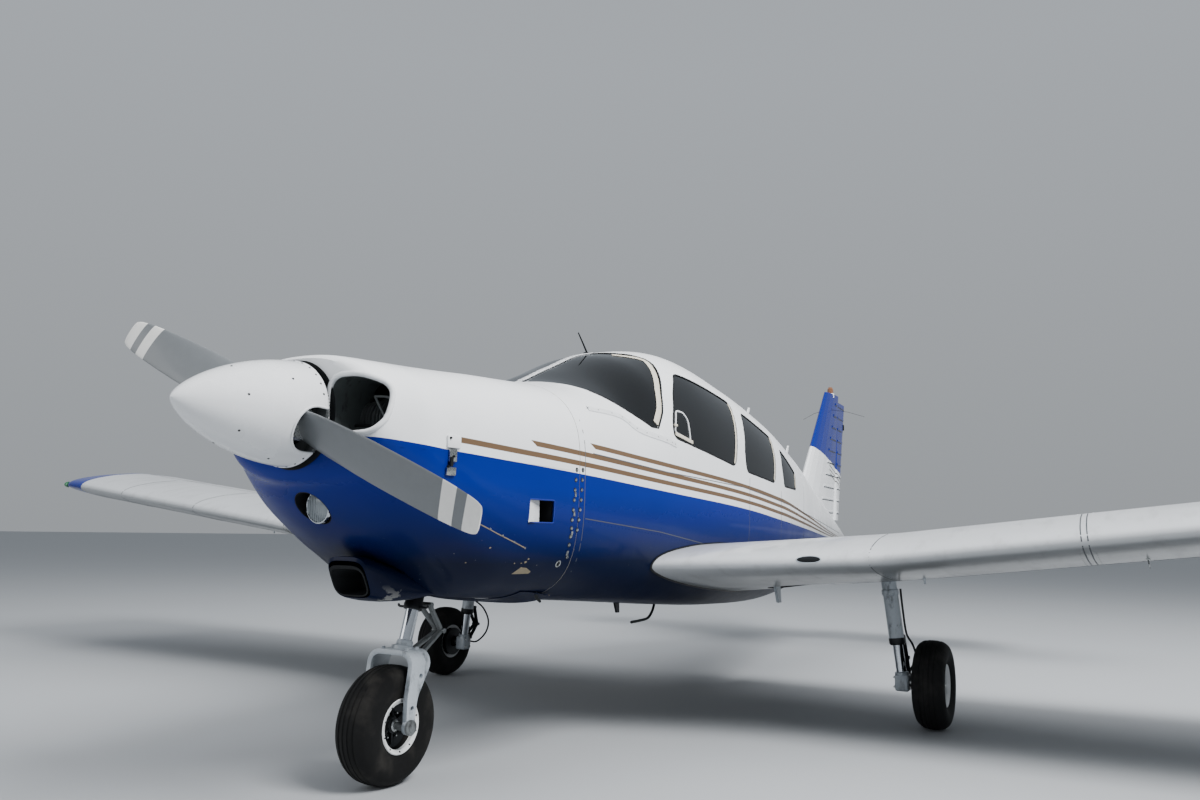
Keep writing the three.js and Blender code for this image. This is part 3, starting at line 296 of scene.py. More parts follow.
def hull_point(station, turn, inset=0.0):
    """A point of the hull: turn runs from the port side over the top."""
    half, belt, top, keel, upper, lower = (column(station) for column in HULL)
    c, s = math.cos(turn), math.sin(turn)
    exponent = 2 / (upper if s >= 0 else lower)
    rise = (top - belt if s >= 0 else belt - keel) - inset
    return Vector(((half - inset) * power(c, exponent), station + AXLE_Y, belt + rise * power(s, exponent)))


def hull_turn(station, z, side=1):
    """The turn at which the hull's side has a height."""
    belt, top, keel, upper, lower = (column(station) for column in HULL[1:])
    rise, squareness = (top - belt, upper) if z >= belt else (belt - keel, lower)
    turn = math.copysign(math.asin(min(1.0, abs(z - belt) / rise) ** (squareness / 2)), z - belt)
    return turn if side > 0 else math.pi - turn


def hull_spot(station, turn, lift=0.0):
    """A point on the hull raised along its normal, and that normal."""
    step = 0.003
    around = hull_point(station, turn + step) - hull_point(station, turn - step)
    along = hull_point(station + step, turn) - hull_point(station - step, turn)
    point = hull_point(station, turn)
    normal = around.cross(along).normalized()
    if normal.dot(point - Vector((0, point.y, HULL[1](station)))) < 0:
        normal = -normal
    return point + normal * lift, normal


def side_spot(station, z, side=1, lift=0.0):
    return hull_spot(station, hull_turn(station, z, side), lift)


def side_row(path, side=1, lift=0.0):
    """Places on the hull's side under each point of a path, with their normals."""
    return [side_spot(p.x, p.y, side, lift) for p in path]


def top_spot(station, lift=0.0):
    return hull_spot(station, TAU / 4, lift)


def hull_half(station, z):
    """Half width of the hull at a height."""
    return abs(hull_point(station, hull_turn(station, z)).x)


def nose_station(x, z):
    """Station at which a line along Y enters the nose."""
    low, high = NOSE_END, 0.3
    for _ in range(30):
        middle = (low + high) / 2
        inside = abs(x) < hull_half(middle, z) and HULL[3](middle) < z < HULL[2](middle)
        low, high = (low, middle) if inside else (middle, high)
    return high


# Wing surface

FOIL_UPPER = monotone([(math.sqrt(t), z) for t, z, _ in FOIL_ROWS])
FOIL_LOWER = monotone([(math.sqrt(t), z) for t, _, z in FOIL_ROWS])
EVEN = monotone([(math.sqrt(t), h) for t, h in EVEN_FOIL])
TIP = columns(TIP_ROWS)


def raised(point):
    """A point of the flat wing, turned up by the dihedral."""
    x, z = point.x - WING["root_x"], point.z - WING["root_z"]
    c, s = math.cos(WING["dihedral"]), math.sin(WING["dihedral"])
    return Vector((WING["root_x"] + x * c - z * s, point.y, WING["root_z"] + x * s + z * c))


def mirrored(point, side):
    return Vector((side * point.x, point.y, point.z))


def wing_flat(span, t, upper):
    """A point of the flat wing's surface: t runs from the leading to the trailing edge."""
    out = max(WING["glove"] - span, 0.0)
    inboard = max(WING_SPAN - span, 0.0)
    at_tip = inboard < TIP_ROWS[-1][0]
    setback, loss, share = (column(inboard) for column in TIP) if at_tip else (0.0, 0.0, 1.0)
    chord = WING["trail"] - WING["lead"] - loss
    height = (FOIL_UPPER if upper else FOIL_LOWER)(math.sqrt(t)) * WING["thick"] * share / FOIL_THICK
    forward = out * WING["sweep"] * max(0.0, 1 - t / WING["sweep_end"])
    lift = WING["lift"] * out / WING["glove"] * max(0.0, 1 - t / WING["lift_end"]) - 0.02 * (1 - share)
    z = WING["root_z"] + height - t * chord * math.sin(WING["incidence"]) + lift
    return Vector((WING["root_x"] + span, WING["lead"] + setback + t * chord - forward + AXLE_Y, z))


def wing_point(span, t, upper, side=1):
    return mirrored(raised(wing_flat(span, t, upper)), side)


def wing_spot(span, t, upper, side=1, lift=0.0):
    """A point on the wing raised along its normal, and that normal."""
    step = 0.004
    across = wing_point(span + step, t, upper) - wing_point(span - step, t, upper)
    along = wing_point(span, min(t + step, 1.0), upper) - wing_point(span, max(t - step, 0.0), upper)
    normal = across.cross(along).normalized()
    if (normal.z > 0) != upper:
        normal = -normal
    point = wing_point(span, t, upper) + normal * lift
    return mirrored(point, side), mirrored(normal, side)


def root_point(t, upper, side=1):
    """Where the wing's surface comes out of the hull."""
    low, high = -0.25, 0.5
    for _ in range(24):
        middle = (low + high) / 2
        point = wing_point(middle, t, upper)
        inside = point.x < hull_half(point.y - AXLE_Y, point.z)
        low, high = (middle, high) if inside else (low, middle)
    return wing_point(high, t, upper, side)


def fin_values(z):
    """Leading edge, hinge, trailing edge and thickness of the fin and rudder at a height."""
    share = (z - FIN["root_z"]) / (FIN["top_z"] - FIN["root_z"])
    lead = FIN["root_lead"] + (FIN["top_lead"] - FIN["root_lead"]) * share
    thick = FIN["root_thick"] + (FIN["top_thick"] - FIN["root_thick"]) * share
    hinge = line_at(((RUDDER["low_z"], RUDDER["low"]), (RUDDER["high_z"], RUDDER["high"])), z)
    trail = line_at(((RUDDER["low_z"], RUDDER["trail_low"]), (RUDDER["tip_z"], RUDDER["trail_high"])), z)
    return lead, hinge, trail, thick


def fin_point(z, t, side=1, lift=0.0):
    lead, _, trail, thick = fin_values(z)
    half = EVEN(math.sqrt(max(t, 0.0))) * thick / 2 + lift
    return Vector((side * half, lead + (trail - lead) * t + AXLE_Y, z))


# Mesh making


def lay(bm, across, along, place, weld=True):
    """A grid laid on a surface formula place(u, v) with u and v from 0 to 1."""
    made = bmesh.ops.create_grid(bm, x_segments=across, y_segments=along, size=1)["verts"]
    for vert in made:
        vert.co = place((vert.co.x + 1) / 2, (vert.co.y + 1) / 2)
    if weld:
        bmesh.ops.remove_doubles(bm, verts=made, dist=1e-5)
    return made


def close(bm):
    """Fills the open ends of a skin."""
    bmesh.ops.holes_fill(bm, edges=[e for e in bm.edges if e.is_boundary], sides=0)


def frames_along(path, axis=None, loop=False):
    """Points of a path with two directions across it; (point, normal) items keep their normal."""
    spots = [item if isinstance(item, tuple) and len(item) == 2 else (Vector(item), axis) for item in path]
    count = len(spots)
    across = None
    frames = []
    for i, (point, up) in enumerate(spots):
        before = spots[i - 1][0] if i or loop else point
        after = spots[(i + 1) % count][0] if i < count - 1 or loop else point
        tangent = (after - before).normalized()
        if up is not None:
            across = tangent.cross(Vector(up)).normalized()
        else:
            across = tangent.orthogonal() if across is None else across
            across = (across - tangent * across.dot(tangent)).normalized()
        frames.append((point, across, across.cross(tangent)))
    return frames


def sweep(bm, path, width, height=None, sides=10, square=2.0, axis=None, loop=False):
    """A round or squarish bar along a path; sizes are numbers or functions of the share of the path."""
    height = width if height is None else height
    frames = frames_along(path, axis, loop)
    count = len(frames) if loop else len(frames) - 1

    def place(u, v):
        point, across, up = frames[round(v * count) % len(frames)]
        w = width(v) if callable(width) else width
        h = height(v) if callable(height) else height
        c, s = math.cos(u * TAU), math.sin(u * TAU)
        return point + across * power(c, 2 / square) * (w / 2) + up * power(s, 2 / square) * (h / 2)

    lay(bm, sides, count, place)
    if not loop:
        close(bm)


def strip(bm, spots, width, height=0.002, loop=False):
    """A flat band that lies on a surface."""
    sweep(bm, spots, width, height * 2, sides=8, square=4.0, loop=loop)


def studs(bm, spots, radius, height, sides=8):
    """Domed rivet or screw heads on a surface."""
    for point, normal in spots:
        matrix = Matrix.Translation(point) @ normal.to_track_quat("Z", "Y").to_matrix().to_4x4()
        bmesh.ops.create_cone(bm, cap_ends=True, segments=sides, radius1=radius, radius2=radius * 0.55,
                              depth=height * 2, matrix=matrix)


def plate(bm, spot, size, along=(0, 1, 0), bevel=0.0):
    """A small block that lies on a surface with its length turned to a direction."""
    point, normal = spot
    across = normal.cross(Vector(along)).normalized()
    turn = Matrix((across.cross(normal), across, normal)).transposed().to_4x4()
    matrix = Matrix.Translation(point) @ turn @ Matrix.Diagonal((*size, 1))
    made = bmesh.ops.create_cube(bm, size=1, matrix=matrix)["verts"]
    if bevel:
        edges = list({e for v in made for e in v.link_edges})
        bmesh.ops.bevel(bm, geom=edges, offset=bevel, affect="EDGES", segments=2, profile=0.5, material=-1)


def spun(bm, profile, centre, axis=(1, 0, 0), steps=48):
    """A profile of (radius, distance) spun about an axis through centre."""
    direction = Vector(axis).normalized()
    across = direction.orthogonal().normalized()
    around = direction.cross(across)
    count = len(profile) - 1

    def place(u, v):
        radius, distance = profile[round(v * count)]
        angle = u * TAU
        offset = across * math.cos(angle) + around * math.sin(angle)
        return Vector(centre) + offset * radius + direction * distance

    lay(bm, steps, count, place)


def block(bm, low, high, bevel=0.0, segments=2):
    """A box between two corners with softened edges."""
    low, high = Vector(low), Vector(high)
    known = set(bm.verts)
    matrix = Matrix.Translation((high + low) / 2) @ Matrix.Diagonal((*(high - low), 1))
    made = bmesh.ops.create_cube(bm, size=1, matrix=matrix)["verts"]
    if bevel:
        edges = list({e for v in made for e in v.link_edges})
        bmesh.ops.bevel(bm, geom=edges, offset=bevel, affect="EDGES", segments=segments, profile=0.5,
                        material=-1)
    return [v for v in bm.verts if v not in known]


def station_block(bm, low, high, *rounding):
    """A block whose corners give the station for Y."""
    corners = [(x, station + AXLE_Y, z) for x, station, z in (low, high)]
    return block(bm, *corners, *rounding)


def pipe(bm, start, end, radius, end_radius=None, sides=24):
    """A straight round bar."""
    start, end = Vector(start), Vector(end)
    turn = (end - start).to_track_quat("Z", "Y").to_matrix().to_4x4()
    matrix = Matrix.Translation((start + end) / 2) @ turn
    return bmesh.ops.create_cone(bm, cap_ends=True, segments=sides, radius1=radius,
                                 radius2=radius if end_radius is None else end_radius,
                                 depth=(end - start).length, matrix=matrix)["verts"]


def extruded(bm, outline, shift):
    """A flat outline of 3-D points stretched into a solid."""
    face = bm.faces.new([bm.verts.new(p) for p in outline])
    made = bmesh.ops.extrude_face_region(bm, geom=[face])["geom"]
    bmesh.ops.translate(bm, vec=shift, verts=[g for g in made if isinstance(g, bmesh.types.BMVert)])


def cutter(bm, side=1):
    """A solid used to cut others, mirrored for the starboard side."""
    if side < 0:
        bmesh.ops.scale(bm, vec=(-1, 1, 1), verts=bm.verts)
    bmesh.ops.recalc_face_normals(bm, faces=bm.faces)
    mesh = bpy.data.meshes.new("cutter")
    bm.to_mesh(mesh)
    bm.free()
    obj = bpy.data.objects.new("cutter", mesh)
    bpy.context.scene.collection.objects.link(obj)
    return obj


def prism(outline, x0, x1):
    """A side-view outline stretched across the hull."""
    bm = bmesh.new()
    extruded(bm, [(x0, y + AXLE_Y, z) for y, z in outline], (x1 - x0, 0, 0))
    return cutter(bm)


def carve(piece, cutters, operation="DIFFERENCE", angle=40):
    """Cuts a piece by cutters, or keeps only what they hold, and removes them."""
    for obj in cutters:
        modifier = piece.modifiers.new("carve", "BOOLEAN")
        modifier.operation = operation
        modifier.solver = "EXACT"
        modifier.object = obj
    settle(piece, angle)
    for obj in cutters:
        bpy.data.objects.remove(obj)


def shade(piece, angle=35):
    piece.data.polygons.foreach_set("use_smooth", [True] * len(piece.data.polygons))
    piece.data.set_sharp_from_angle(angle=math.radians(angle))


def make(bm, name, body, finishes, replaces=(), angle=35):
    """Turns a bmesh into a finished piece that rides on a body."""
    bmesh.ops.recalc_face_normals(bm, faces=bm.faces)
    mesh = bpy.data.meshes.new(name)
    bm.to_mesh(mesh)
    bm.free()
    piece = bpy.data.objects.new(name, mesh)
    bpy.context.scene.collection.objects.link(piece)
    for one in finishes.split():
        mesh.materials.append(look(one))
    shade(piece, angle)
    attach(piece, body)
    if replaces:
        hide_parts(*replaces)
    return piece


def settle(piece, angle=35):
    """Applies the modifiers of a piece."""
    graph = bpy.context.evaluated_depsgraph_get()
    mesh = bpy.data.meshes.new_from_object(piece.evaluated_get(graph))
    piece.modifiers.clear()
    piece.data = mesh
    shade(piece, angle)


def soften(piece, width, segments=2):
    """Rounds the sharp edges of a cut piece."""
    modifier = piece.modifiers.new("round", "BEVEL")
    modifier.width = width
    modifier.segments = segments
    modifier.limit_method = "ANGLE"
    modifier.angle_limit = math.radians(40)
    settle(piece)


def paint_node(node, finish_name, angle=28):
    """Gives a carried-over node its finish and smooth curves."""
    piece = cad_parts[node]
    piece.data.materials.clear()
    piece.data.materials.append(look(finish_name))
    shade(piece, angle)


# Finishes


def add_node(tree, kind, settings=(), links=()):
    """Adds a node with its settings and links."""
    node = tree.nodes.new(kind)
    for key, value in dict(settings).items():
        if isinstance(key, str) and hasattr(node, key):
            setattr(node, key, value)
        else:
            node.inputs[key].default_value = value
    for key, socket in dict(links).items():
        tree.links.new(socket, node.inputs[key])
    return node


def maths(tree, operation, a, b=0.5, c=0.5, clamp=False):
    """A sum on sockets or numbers."""
    terms = (a, b, c)
    settings = {"operation": operation, "use_clamp": clamp}
    settings.update({i: v for i, v in enumerate(terms) if isinstance(v, (int, float))})
    links = {i: v for i, v in enumerate(terms) if not isinstance(v, (int, float))}
    return add_node(tree, "ShaderNodeMath", settings, links).outputs[0]


def ramp(tree, value, start, end, low=0.0, high=1.0):
    """A value carried from one range to another, held at its ends."""
    settings = {"From Min": start, "From Max": end, "To Min": low, "To Max": high}
    return add_node(tree, "ShaderNodeMapRange", settings, {"Value": value}).outputs[0]


def blend_colour(tree, factor, a, b, kind="MIX"):
    settings = {"data_type": "RGBA", "blend_type": kind}
    links = {}
    for index, value in ((0, factor), (6, a), (7, b)):
        if isinstance(value, (int, float, list, tuple)):
            settings[index] = value
        else:
            links[index] = value
    return add_node(tree, "ShaderNodeMix", settings, links).outputs[2]


def noise_at(tree, where, size, stretch=(1, 1, 1), detail=5.0):
    """Noise whose grain has a real size in metres, drawn out along the axes."""
    scaled = add_node(tree, "ShaderNodeMapping", {"Scale": [1 / (size * s) for s in stretch]},
                      {"Vector": where})
    return add_node(tree, "ShaderNodeTexNoise", {"Scale": 1.0, "Detail": detail, "Roughness": 0.6},
                    {"Vector": scaled.outputs[0]}).outputs[0]


def edge_height(tree, y, points):
    """The height of a paint edge at each place along the body."""
    low, high = points[0][0] + AXLE_Y, points[-1][0] + AXLE_Y
    heights = [z for _, z in points]
    floor, span = min(heights) - 0.05, max(heights) - min(heights) + 0.1
    node = add_node(tree, "ShaderNodeFloatCurve", {}, {"Value": ramp(tree, y, low, high)})
    curve = node.mapping.curves[0]
    placed = [((station + AXLE_Y - low) / (high - low), (z - floor) / span) for station, z in points]
    curve.points[0].location = placed[0]
    curve.points[1].location = placed[-1]
    for location in placed[1:-1]:
        curve.points.new(*location)
    node.mapping.update()
    return maths(tree, "MULTIPLY_ADD", node.outputs[0], span, floor)


def step_mask(tree, value, edge, soft=0.0008):
    """1 where value lies above edge, with a hair-thin soft rim."""
    return ramp(tree, maths(tree, "SUBTRACT", value, edge), -soft, soft)


def axes(tree, where):
    split = add_node(tree, "ShaderNodeSeparateXYZ", {}, {"Vector": where})
    return split.outputs[0], split.outputs[1], split.outputs[2]


def hull_tint(tree, where):
    """White above, blue below, and three tan stripes that draw together at the tail."""
    paint = bpy.context.scene.aircraft_paint
    _, y, z = axes(tree, where)
    edge = edge_height(tree, y, BLUE_TOP)
    colour = blend_colour(tree, step_mask(tree, z, edge), [*paint.blue, 1.0], [*paint.white, 1.0])
    taper = ramp(tree, y, 3.1 + AXLE_Y, 6.1 + AXLE_Y, 1.0, 0.12)
    for index, start in enumerate(STRIPE_STARTS):
        offset = paint.stripe_gap * (index + 1)
        middle = maths(tree, "MULTIPLY_ADD", taper, offset, edge)
        distance = maths(tree, "ABSOLUTE", maths(tree, "SUBTRACT", z, middle))
        half = maths(tree, "MULTIPLY", taper, paint.stripe_width / 2)
        inside = maths(tree, "SUBTRACT", 1.0, step_mask(tree, distance, half))
        slant = maths(tree, "MULTIPLY_ADD", z, 1.6, y)
        begun = step_mask(tree, slant, start + AXLE_Y + 1.6 * (BLUE_TOP[1][1] + offset))
        colour = blend_colour(tree, maths(tree, "MULTIPLY", inside, begun), colour, [*paint.stripe, 1.0])
    return colour


def fin_tint(tree, where):
    """White below and blue above a slanted line with three thin dark lines under it."""
    paint = bpy.context.scene.aircraft_paint
    _, y, z = axes(tree, where)
    top, station, drop = FIN_EDGE
    height = maths(tree, "MULTIPLY_ADD", y, drop, z)
    line = top + drop * (station + AXLE_Y)
    colour = blend_colour(tree, step_mask(tree, height, line), [*paint.white, 1.0], [*paint.blue, 1.0])
    for index in range(3):
        distance = maths(tree, "ABSOLUTE", maths(tree, "SUBTRACT", height, line - 0.04 * (index + 1)))
        inside = maths(tree, "SUBTRACT", 1.0, step_mask(tree, distance, 0.006))
        inside = maths(tree, "MULTIPLY", inside, step_mask(tree, y, 5.93 + AXLE_Y))
        colour = blend_colour(tree, inside, colour, linear("#4f4a44"))
    return colour


def blade_tint(tree, where):
    """Grey blades with two white bands near each tip."""
    paint = bpy.context.scene.aircraft_paint
    x, _, z = axes(tree, where)
    rise = maths(tree, "SUBTRACT", z, PROP["z"])
    square = maths(tree, "ADD", maths(tree, "MULTIPLY", x, x), maths(tree, "MULTIPLY", rise, rise))
    radius = maths(tree, "SQRT", square)
    bands = maths(tree, "SUBTRACT", step_mask(tree, radius, 0.775), step_mask(tree, radius, 0.832))
    white = maths(tree, "ADD", bands, step_mask(tree, radius, 0.874), clamp=True)
    return blend_colour(tree, white, [*paint.blade, 1.0], linear("#e9e8e4"))


def belly_shade_and_oil(tree, where):
    """Painted shade that darkens the hull towards the keel, dark oil streaks back along the belly, and small
    chips of bare primer at the nose.
    """
    _, y, z = axes(tree, where)
    # Painted shade: below 1.14 m the colour darkens towards the keel as if the belly lay in shade
    keel_shade = ramp(tree, z, 1.14, 0.84, 0.0, 0.9)
    streak = maths(tree, "MULTIPLY", ramp(tree, z, 0.9, 0.7),
                   ramp(tree, noise_at(tree, where, 0.11, (1, 7, 1)), 0.2, 0.62))
    shade_and_oil = maths(tree, "MAXIMUM", keel_shade, maths(tree, "MULTIPLY", streak, 0.92))
    worn = maths(tree, "MULTIPLY", ramp(tree, z, 0.76, 0.7), ramp(tree, y, AXLE_Y + 0.05, AXLE_Y - 0.1))
    bare = maths(tree, "MULTIPLY", worn, ramp(tree, noise_at(tree, where, 0.045, (1, 2, 1)), 0.56, 0.6))
    chips = maths(tree, "MULTIPLY", ramp(tree, z, 1.02, 0.86),
                  ramp(tree, noise_at(tree, where, 0.012), 0.71, 0.73))
    # The near-black colour serves both the painted shade and the oil streaks
    colour = blend_colour(tree, maths(tree, "MAXIMUM", bare, chips), linear("#050d12"), linear("#8d8d86"))
    return maths(tree, "MAXIMUM", shade_and_oil, maths(tree, "MAXIMUM", bare, chips)), colour


def wing_tint_and_shade(tree, where):
    """Silver-white above the chord plane, greyer below it as painted shade on the underside."""
    x, y, z = axes(tree, where)
    rise = maths(tree, "SUBTRACT", z,
                 maths(tree, "MULTIPLY", maths(tree, "ABSOLUTE", x), math.tan(WING["dihedral"])))
    height = maths(tree, "MULTIPLY_ADD", y, math.tan(WING["incidence"]), rise)
    plane = WING["root_z"] - WING["root_x"] * math.tan(WING["dihedral"])
    plane += (WING["lead"] + AXLE_Y) * math.tan(WING["incidence"])
    share = ramp(tree, maths(tree, "SUBTRACT", height, plane), -0.05, 0.03)
    # The grey below the chord plane is painted shade on the underside
    return blend_colour(tree, share, linear("#5f6262"), linear("#d3d6d9"))


def wing_dirt(tree, where):
    """Thin grime streaks that run back from the wing's leading edge."""
    return ramp(tree, noise_at(tree, where, 0.07, (1, 17, 1)), 0.52, 0.8, 0.0, 0.3), linear("#6a6862")


def dust(tree, where):
    """Dry dust that lies in patches."""
    return ramp(tree, noise_at(tree, where, 0.11), 0.5, 0.72, 0.0, 0.18), linear("#56534e")


def grease(tree, where):
    """Dark grease that gathers in hollows and runs."""
    return ramp(tree, noise_at(tree, where, 0.035, (1, 1, 2)), 0.54, 0.72, 0.0, 0.7), linear("#24211d")


def weave(tree, where):
    """Two crossed sets of threads seen as light and dark."""
    scaled = add_node(tree, "ShaderNodeMapping", {"Scale": (260, 260, 260)}, {"Vector": where})
    threads = [add_node(tree, "ShaderNodeTexWave", {"bands_direction": axis, "Scale": 1.0, "Distortion": 0.4},
                        {"Vector": scaled.outputs[0]}).outputs[1] for axis in ("X", "Y", "Z")]
    both = maths(tree, "MAXIMUM", threads[0], maths(tree, "MAXIMUM", threads[1], threads[2]))
    return blend_colour(tree, both, linear("#4a4742"), linear("#77726a"))


# Finish columns: colour, roughness, metal, coat, grain size, mottling, relief, tint, dirt; the wings' tint
# and the belly's dirt also hold painted shade
FINISHES = {
    # Two-pack gloss enamel over riveted sheet: hard clear shine, slight waves, oil streaks on the belly and
    # painted shade that darkens it towards the keel
    "gloss_enamel_livery": ("#ffffff", 0.22, 0.0, 0.1, 0.35, 0.05, 0.0022, hull_tint, belly_shade_and_oil),
    # The same enamel in the fin's white and blue
    "gloss_enamel_fin": ("#ffffff", 0.25, 0.0, 0.25, 0.25, 0.05, 0.0008, fin_tint, None),
    # Plain white enamel of spinner, lips and small fittings
    "gloss_enamel_white": ("#e6e8ea", 0.26, 0.0, 0.7, 0.12, 0.05, 0.0, None, None),
    # Royal blue enamel of the wing tips
    "gloss_enamel_blue": ("#07237f", 0.25, 0.0, 0.3, 0.2, 0.1, 0.0, None, None),
    # Older silver-white enamel of the wings: softer shine, weather mottling, rubbed streaks, and painted
    # shade that greys the underside
    "satin_enamel_wing": ("#ffffff", 0.33, 0.25, 0.35, 0.5, 0.1, 0.002, wing_tint_and_shade, wing_dirt),
    # Satin grey blade paint, worn matt by rain, with white tip bands
    "satin_blade_paint": ("#74777a", 0.36, 0.0, 0.1, 0.03, 0.1, 0.0, blade_tint, None),
    # Carbon-black rubber gone grey with dust, nearly no shine
    "tyre_rubber": ("#171717", 0.82, 0.0, 0.0, 0.02, 0.25, 0.0006, None, dust),
    # Black extruded seal, matt with a soft sheen
    "seal_rubber": ("#101112", 0.55, 0.0, 0.0, 0.01, 0.15, 0.0, None, None),
    # Aged sealant strip round the panes: cream and dull
    "aged_sealant": ("#d2ccbc", 0.5, 0.0, 0.0, 0.015, 0.12, 0.0, None, None),
    # Dark line of a sheet joint with dirt in it, also the painted shade under each bead of fin and rudder
    "joint_dirt_and_bead_shade": ("#4b4e52", 0.6, 0.0, 0.0, 0.01, 0.3, 0.0, None, None),
    # Hard-chromed oleo piston: clear mirror with dull streaks of fluid
    "chromed_steel": ("#c9ced4", 0.1, 1.0, 0.0, 0.03, 0.1, 0.0, None, None),
    # Grey-white enamel on castings, with a cast grain and grease in the hollows
    "cast_enamel": ("#abb3ba", 0.36, 0.0, 0.3, 0.008, 0.14, 0.0004, None, grease),
    # White enamel on the wheel rims, chipped and dusty
    "rim_enamel": ("#dfe1e1", 0.34, 0.0, 0.3, 0.01, 0.12, 0.0002, None, dust),
    # Oiled dark steel of links, bolts and brackets
    "oiled_steel": ("#2c2e30", 0.42, 0.7, 0.0, 0.01, 0.25, 0.0002, None, None),
    # Plated steel of fasteners and latches: bright with yellow-grey patches
    "plated_steel": ("#b3b6b5", 0.28, 1.0, 0.0, 0.006, 0.2, 0.0, None, None),
    # Sand-cast aluminium of the engine: grey, dull, finely pitted
    "cast_aluminium": ("#8b8f90", 0.5, 0.6, 0.0, 0.004, 0.3, 0.0005, None, grease),
    # Grey-green primer on the engine's sheet baffles
    "baffle_primer": ("#5c6262", 0.5, 0.1, 0.0, 0.02, 0.2, 0.0002, None, grease),
    # Sooty matt paint inside ducts, wells and cowls; it also stands as painted shade on the lamp recess wall
    # and in the gap behind the spinner
    "duct_paint": ("#1b1d1f", 0.7, 0.0, 0.0, 0.03, 0.3, 0.0, None, None),
    # Pale woven lining of the cabin walls
    "cabin_lining": ("#b5b1a8", 0.85, 0.0, 0.0, 0.004, 0.12, 0.0004, None, None),
    # Short dark carpet on the cabin floor
    "cabin_carpet": ("#3b3d42", 0.95, 0.0, 0.0, 0.003, 0.35, 0.0015, None, None),
    # Black grained vinyl of the panel hood
    "panel_vinyl": ("#191a1c", 0.55, 0.0, 0.0, 0.002, 0.2, 0.0003, None, None),
    # Crackle-finish metal of the panel's face
    "panel_crackle": ("#33363a", 0.5, 0.1, 0.0, 0.0015, 0.25, 0.0002, None, None),
    # Flat black dial faces behind a clear shine
    "dial_face": ("#0c0d0e", 0.2, 0.0, 1.0, 0.004, 0.1, 0.0, None, None),
    # Plain weave of the seats: grey-brown threads, dull, with a soft relief
    "seat_weave": ("#ffffff", 0.9, 0.0, 0.0, 0.002, 0.15, 0.0004, weave, None),
    # Darker piped edges and straps of webbing
    "seat_piping": ("#2b2a29", 0.8, 0.0, 0.0, 0.002, 0.2, 0.0003, None, None),
    # Pressed reflector of the landing light: bright silver
    "lamp_mirror": ("#8d9296", 0.16, 1.0, 0.0, 0.02, 0.05, 0.0, None, None),
    # Ribbed lamp glass over the bright bowl: milky clear
    "lamp_glass": ("#838b90", 0.10, 0.3, 0.6, 0.01, 0.08, 0.0006, None, None),
    # Amber, red and green lamp covers
    "amber_lens": ("#7a5136", 0.12, 0.0, 1.0, 0.01, 0.1, 0.0, None, None),
    "red_lens": ("#8d1410", 0.12, 0.0, 1.0, 0.01, 0.1, 0.0, None, None),
    "green_lens": ("#0f6b3c", 0.12, 0.0, 1.0, 0.01, 0.1, 0.0, None, None),
    # Tan filler left where the blue enamel broke away
    "bare_filler": ("#8b8069", 0.7, 0.0, 0.0, 0.01, 0.25, 0.0003, None, None),
    # Matt pale paint of the studio floor
    "studio_floor": ("#a4a7aa", 0.75, 0.0, 0.0, 2.0, 0.03, 0.0, None, None),
    # Black gritty walkway on the wing root
    "walkway_grit": ("#232425", 0.92, 0.0, 0.0, 0.0015, 0.35, 0.0006, None, dust),
}


# Finishes whose surface returns less light than bare enamel does, dulled by a film of oil and wear
SHINE = {"gloss_enamel_livery": 0.08, "gloss_enamel_fin": 0.25, "gloss_enamel_blue": 0.3, "tyre_rubber": 0.25,
         "duct_paint": 0.2}


def look(name):
    """The material of a finish: its colour, gloss and relief vary with the grain."""
    known = bpy.data.materials.get(name)
    if known:
        return known
    if name == "tinted_acrylic":
        return tinted_acrylic()
    colour, rough, metal, coat, grain, mottle, relief, tint, dirt_and_shade = FINISHES[name]
    material, tree, output = new_material(name)
    settings = {"Metallic": metal, "Coat Weight": coat, "Coat Roughness": 0.05,
                "Specular IOR Level": SHINE.get(name, 0.5)}
    shader = add_node(tree, "ShaderNodeBsdfPrincipled", settings)
    tree.links.new(shader.outputs[0], output.inputs[0])
    where = add_node(tree, "ShaderNodeTexCoord").outputs["Object"]
    noise = noise_at(tree, where, grain)
    shade_of = ramp(tree, noise, 0.25, 0.75, 1 - mottle, 1.0)
    grey = add_node(tree, "ShaderNodeCombineColor", {}, {0: shade_of, 1: shade_of, 2: shade_of}).outputs[0]
    colour_out = blend_colour(tree, 1.0, tint(tree, where) if tint else linear(colour), grey, "MULTIPLY")
    gloss = ramp(tree, noise, 0.3, 0.7, max(rough - 0.06, 0.02), rough + 0.06)
    # The dirt layer also lays painted shade on the belly
    if dirt_and_shade:
        amount, soil_and_shade = dirt_and_shade(tree, where)
        colour_out = blend_colour(tree, amount, colour_out, soil_and_shade)
        gloss = maths(tree, "MULTIPLY_ADD", amount, 0.3, gloss)
    tree.links.new(colour_out, shader.inputs["Base Color"])
    tree.links.new(gloss, shader.inputs["Roughness"])
    if relief:
        bump = add_node(tree, "ShaderNodeBump", {"Strength": 0.5, "Distance": relief}, {"Height": noise})
        tree.links.new(bump.outputs[0], shader.inputs["Normal"])
    return material


def new_material(name):
    material = bpy.data.materials.new(name)
    material.use_nodes = True
    tree = material.node_tree
    tree.nodes.clear()
    return material, tree, add_node(tree, "ShaderNodeOutputMaterial")


